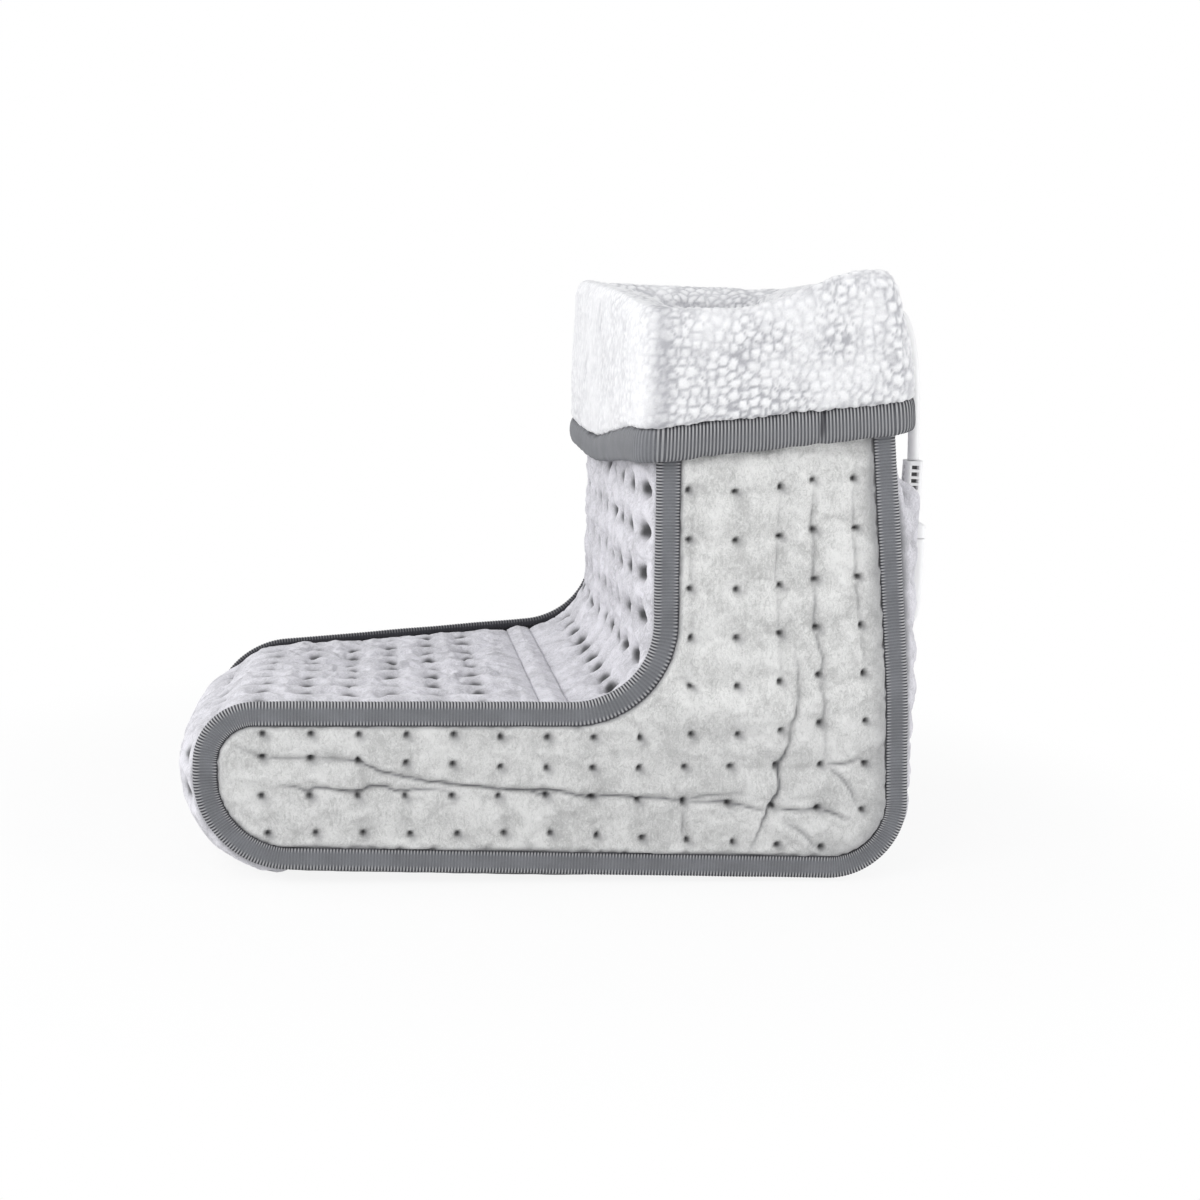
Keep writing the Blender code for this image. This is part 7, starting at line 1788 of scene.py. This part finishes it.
class WARMER_OT_leads(bpy.types.Operator):
    """The lead from the plug to the hand control, and the mains lead with its coil."""

    bl_idname = "warmer.leads"
    bl_label = "Leads"

    def execute(self, context):
        relief_top = SOCKET_TOP_Z + 2 * GAP + PLUG_GRIP_HEIGHT + RELIEF_LENGTH
        part = CONTROL_HEIGHT / 2
        boot_end = CONTROL_X + CONTROL_LENGTH / 2 + CONTROL_RELIEF_LENGTH + GAP
        start = (PLUG_X - RELIEF_SET_IN, PLUG_Y, relief_top + GAP)
        route = ((start,) + BOOT_LEAD_ROUTE
                 + ((boot_end + CORD_DIAMETER * 3, CONTROL_Y, part * 0.9),
                    (boot_end, CONTROL_Y, part)))
        line = smooth_route(route)
        points, quads, _, caps = loft(tube(line, CORD_DIAMETER / 2))
        control_lead = piece("boot_lead", points, quads, finish("lead sheath"), body=None,
                             slot="lead", extra_faces=caps)
        outwards(control_lead)
        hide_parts("control_lead")
        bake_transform(control_lead)
        self.mains(part)
        return {'FINISHED'}

    def mains(self, part):
        """One curve: out of the hand control, along the floor, round the coil, to the plug."""
        mains_end = CONTROL_X - CONTROL_LENGTH / 2 - CONTROL_RELIEF_LENGTH - GAP
        coil = coil_points()
        lead_in = coil[0] - np.array((CORD_DIAMETER, 0.0, 0.0))
        lead_out = coil[-1] + np.array((CORD_DIAMETER, 0.0, 0.0))
        bent = mains_end - CORD_DIAMETER * 3
        first = ((mains_end, CONTROL_Y, part), (bent, CONTROL_Y, part * 0.9)) + MAINS_LEAD_ROUTE
        first = smooth_route(first + (tuple(lead_in),))[:-1:6]
        end = (MAINS_PLUG_X, MAINS_RELIEF_Y + 2 * GAP, MAINS_PLUG_THICKNESS / 2)
        last = smooth_route((tuple(lead_out),) + TAIL_ROUTE + (end,))[::12]
        line = np.concatenate([first, lead_in[None], coil, last, [end]])
        keep = np.append(np.linalg.norm(np.diff(line, axis=0), axis=1) > 0.0008, True)
        line = line[keep]
        curve = bpy.data.curves.new("mains_cord", 'CURVE')
        curve.dimensions = '3D'
        curve.bevel_depth = CORD_DIAMETER / 2
        curve.bevel_resolution = 5
        curve.use_fill_caps = True
        spline = curve.splines.new('POLY')
        spline.points.add(len(line) - 1)
        spline.points.foreach_set("co", np.column_stack([line, np.ones(len(line))]).ravel())
        curve.materials.append(finish("lead sheath"))
        made = bpy.data.objects.new("mains_cord", curve)
        bpy.context.scene.collection.objects.link(made)
        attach(made, "boot")
        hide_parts("mains_lead", "mains_coil", "mains_tail")


class WARMER_OT_sides(bpy.types.Operator):
    """The two flat sides: plush over filling, tufted and folded."""

    bl_idname = "warmer.sides"
    bl_label = "Sides"

    def execute(self, context):
        settings = context.scene.warmer_quilt
        for name, side, node, seed in (("left_side", -1, "side_panel_left", 3),
                                       ("right_side", 1, "side_panel_right", 13)):
            side_panel(name, side, (node,), settings, seed)
        return {'FINISHED'}


class WARMER_OT_gusset(bpy.types.Operator):
    """Shin, ankle hem, instep with toe, sole and back of the gusset."""

    bl_idname = "warmer.gusset"
    bl_label = "Gusset"

    def execute(self, context):
        settings = context.scene.warmer_quilt
        hem_end = ANKLE_END + HEM_WIDTH / (QUILT_PITCH / 2)
        gap = 0.015
        folds = settings.wrinkle
        shin = quilted_gusset("shin", AT_TOP + 0.3, ANKLE_END - gap, ("shin_panel",), settings,
                              seed=23, folds=folds)
        hem = quilted_gusset("ankle_band", ANKLE_END + gap, hem_end - gap, ("ankle_hem",),
                             settings, tuft_rows=False, seed=29, raised=0.0008, folds=folds)
        instep = quilted_gusset("instep", hem_end + gap, TOE_END - gap, ("instep_panel",),
                                settings, seed=31, folds=folds)
        back = quilted_gusset("boot_back", HEEL_START + gap, AT_END - 0.3, ("back_panel",),
                              settings, seed=37, socket=True, folds=folds / 2)
        sole = quilted_gusset("sole", TOE_END + gap, HEEL_START - gap, ("sole_panel",), settings,
                              tuft_rows=False, seed=41, grid_scale=2.0, finish_name="sole cloth",
                              slot="sole_cloth", puff=0.0006)
        return {'FINISHED'}


class WARMER_OT_tapes(bpy.types.Operator):
    """Ribbed tapes folded over both side seams and round the cuff's edge."""

    bl_idname = "warmer.tapes"
    bl_label = "Tapes"

    def execute(self, context):
        settings = context.scene.warmer_trim
        side_tape("left_tape", -1, ("binding_left",), settings)
        side_tape("right_tape", 1, ("binding_right",), settings)
        cuff_tape(settings, ("cuff_binding",))
        return {'FINISHED'}


class WARMER_OT_fleece(bpy.types.Operator):
    """The cuff and the linings, in curly fleece."""

    bl_idname = "warmer.fleece"
    bl_label = "Fleece"

    def execute(self, context):
        settings = context.scene.warmer_fleece
        sherpa_cuff(settings, ("sherpa_cuff",))
        top = back_station(LINING_TOP_Z)
        front = float(np.interp(-LINING_TOP_Z, -LEFT_PLACES[:ANKLE_START * STATION_FINE, 1],
                                STATIONS[:ANKLE_START * STATION_FINE]))
        for name, first, last, space, node, seed in (
                ("shin_fleece", front, ANKLE_END, 0.0006, "lining_shin", 51),
                ("instep_fleece", ANKLE_END, TOE_END, 0.0006, "lining_instep", 53),
                ("sole_fleece", TOE_END, HEEL_START, MAT_SPACE, "lining_sole", 57),
                ("back_fleece", HEEL_START, top, MAT_SPACE, "lining_back", 59)):
            gusset_lining(name, first, last, space, settings, (node,), seed)
        for name, side, node, seed in (("left_fleece", -1, "lining_left", 61),
                                       ("right_fleece", 1, "lining_right", 67)):
            self.side_lining(name, side, node, settings, seed)
        return {'FINISHED'}

    def side_lining(self, name, side, node, settings, seed):
        """Fleece on a side's inner face: a fan of rows from the outline to its middle line."""
        station = np.linspace(0.0, AT_END, 700)
        x, z, nx, nz = rail(station, side * HALF)
        inset = 3 * GAP - INNER_LEVEL
        x, z = x - nx * inset, z - nz * inset
        keep = z < LINING_TOP_Z
        loop = np.stack([x[keep], z[keep]], axis=-1)
        zs = np.arange(loop[:, 1].min() + GAP, LINING_TOP_Z - GAP, LINING_GRID)
        left_at, right_at = span_at(loop, zs)
        share = np.linspace(0, 1, round(0.30 / LINING_GRID))[None, :]
        gx = left_at[:, None] + (right_at - left_at)[:, None] * share
        gz = zs[:, None] + 0 * gx
        face = SIDE_FACE - PANEL_THICKNESS - GAP
        outer = np.stack([gx, np.full_like(gx, side * face), gz], axis=-1)
        inner = np.stack([gx, np.full_like(gx, side * (face - LINING_THICKNESS)), gz], axis=-1)
        lining_patch(name, outer, inner, settings, (node,), seed)


def span_at(loop, levels):
    """Least and greatest x of an open outline at each height."""
    low, high = np.full(len(levels), 9.0), np.full(len(levels), -9.0)
    start, end = loop[:-1], loop[1:]
    for index, level in enumerate(levels):
        crossing = (start[:, 1] - level) * (end[:, 1] - level) <= 0
        a, b = start[crossing], end[crossing]
        share = (level - a[:, 1]) / np.where(b[:, 1] == a[:, 1], 1e-9, b[:, 1] - a[:, 1])
        x = a[:, 0] + (b[:, 0] - a[:, 0]) * np.clip(share, 0, 1)
        low[index], high[index] = x.min(), x.max()
    return low, high


class WARMER_OT_fittings(bpy.types.Operator):
    """The connector at the back and the finishes of the pieces that keep their solids."""

    bl_idname = "warmer.fittings"
    bl_label = "Fittings"

    def execute(self, context):
        socket_housing()
        plug_cover()
        plug_relief()
        finishes = {
            "white_plastic": "white plastic", "grey_plastic": "grey plastic",
            "lead": "lead sheath", "wire": "heating wire", "board": "circuit board",
            "lamp": "lamp lens", "brass": "brass", "steel": "steel", "mat_cloth": "mat cloth",
            "plush": "gusset plush", "tape": "ribbed tape", "fleece": "curly fleece",
            "sole_cloth": "sole cloth"}
        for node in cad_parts.values():
            for slot in node.material_slots:
                kind = slot.material.name.split(".")[0]
                slot.material = finish(finishes.get(kind, "white plastic"))
        return {'FINISHED'}


class WARMER_PT_panel(bpy.types.Panel):
    """Lists the steps that dress the foot warmer, in their order."""

    bl_label = "Foot warmer"
    bl_idname = "WARMER_PT_panel"
    bl_space_type = 'VIEW_3D'
    bl_region_type = 'UI'
    bl_category = "Foot warmer"

    def draw(self, context):
        for operator in OPERATORS:
            self.layout.operator(operator.bl_idname)


GROUPS = {"warmer_quilt": QuiltSettings, "warmer_trim": TrimSettings,
          "warmer_fleece": FleeceSettings, "warmer_fitting": FittingSettings,
          "warmer_stage": StageSettings}
OPERATORS = (WARMER_OT_stage, WARMER_OT_leads, WARMER_OT_fittings, WARMER_OT_tapes,
             WARMER_OT_fleece, WARMER_OT_gusset, WARMER_OT_sides)


def register():
    for name, group in GROUPS.items():
        bpy.utils.register_class(group)
        setattr(bpy.types.Scene, name, bpy.props.PointerProperty(type=group))
    for kind in OPERATORS + (WARMER_PT_panel,):
        bpy.utils.register_class(kind)


def unregister():
    for kind in reversed(OPERATORS + (WARMER_PT_panel,)):
        bpy.utils.unregister_class(kind)
    for name, group in GROUPS.items():
        delattr(bpy.types.Scene, name)
        bpy.utils.unregister_class(group)


def main():
    """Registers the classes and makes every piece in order."""
    register()
    for operator in OPERATORS:
        area, step = operator.bl_idname.split(".")
        getattr(getattr(bpy.ops, area), step)()


if __name__ == "__main__":
    main()
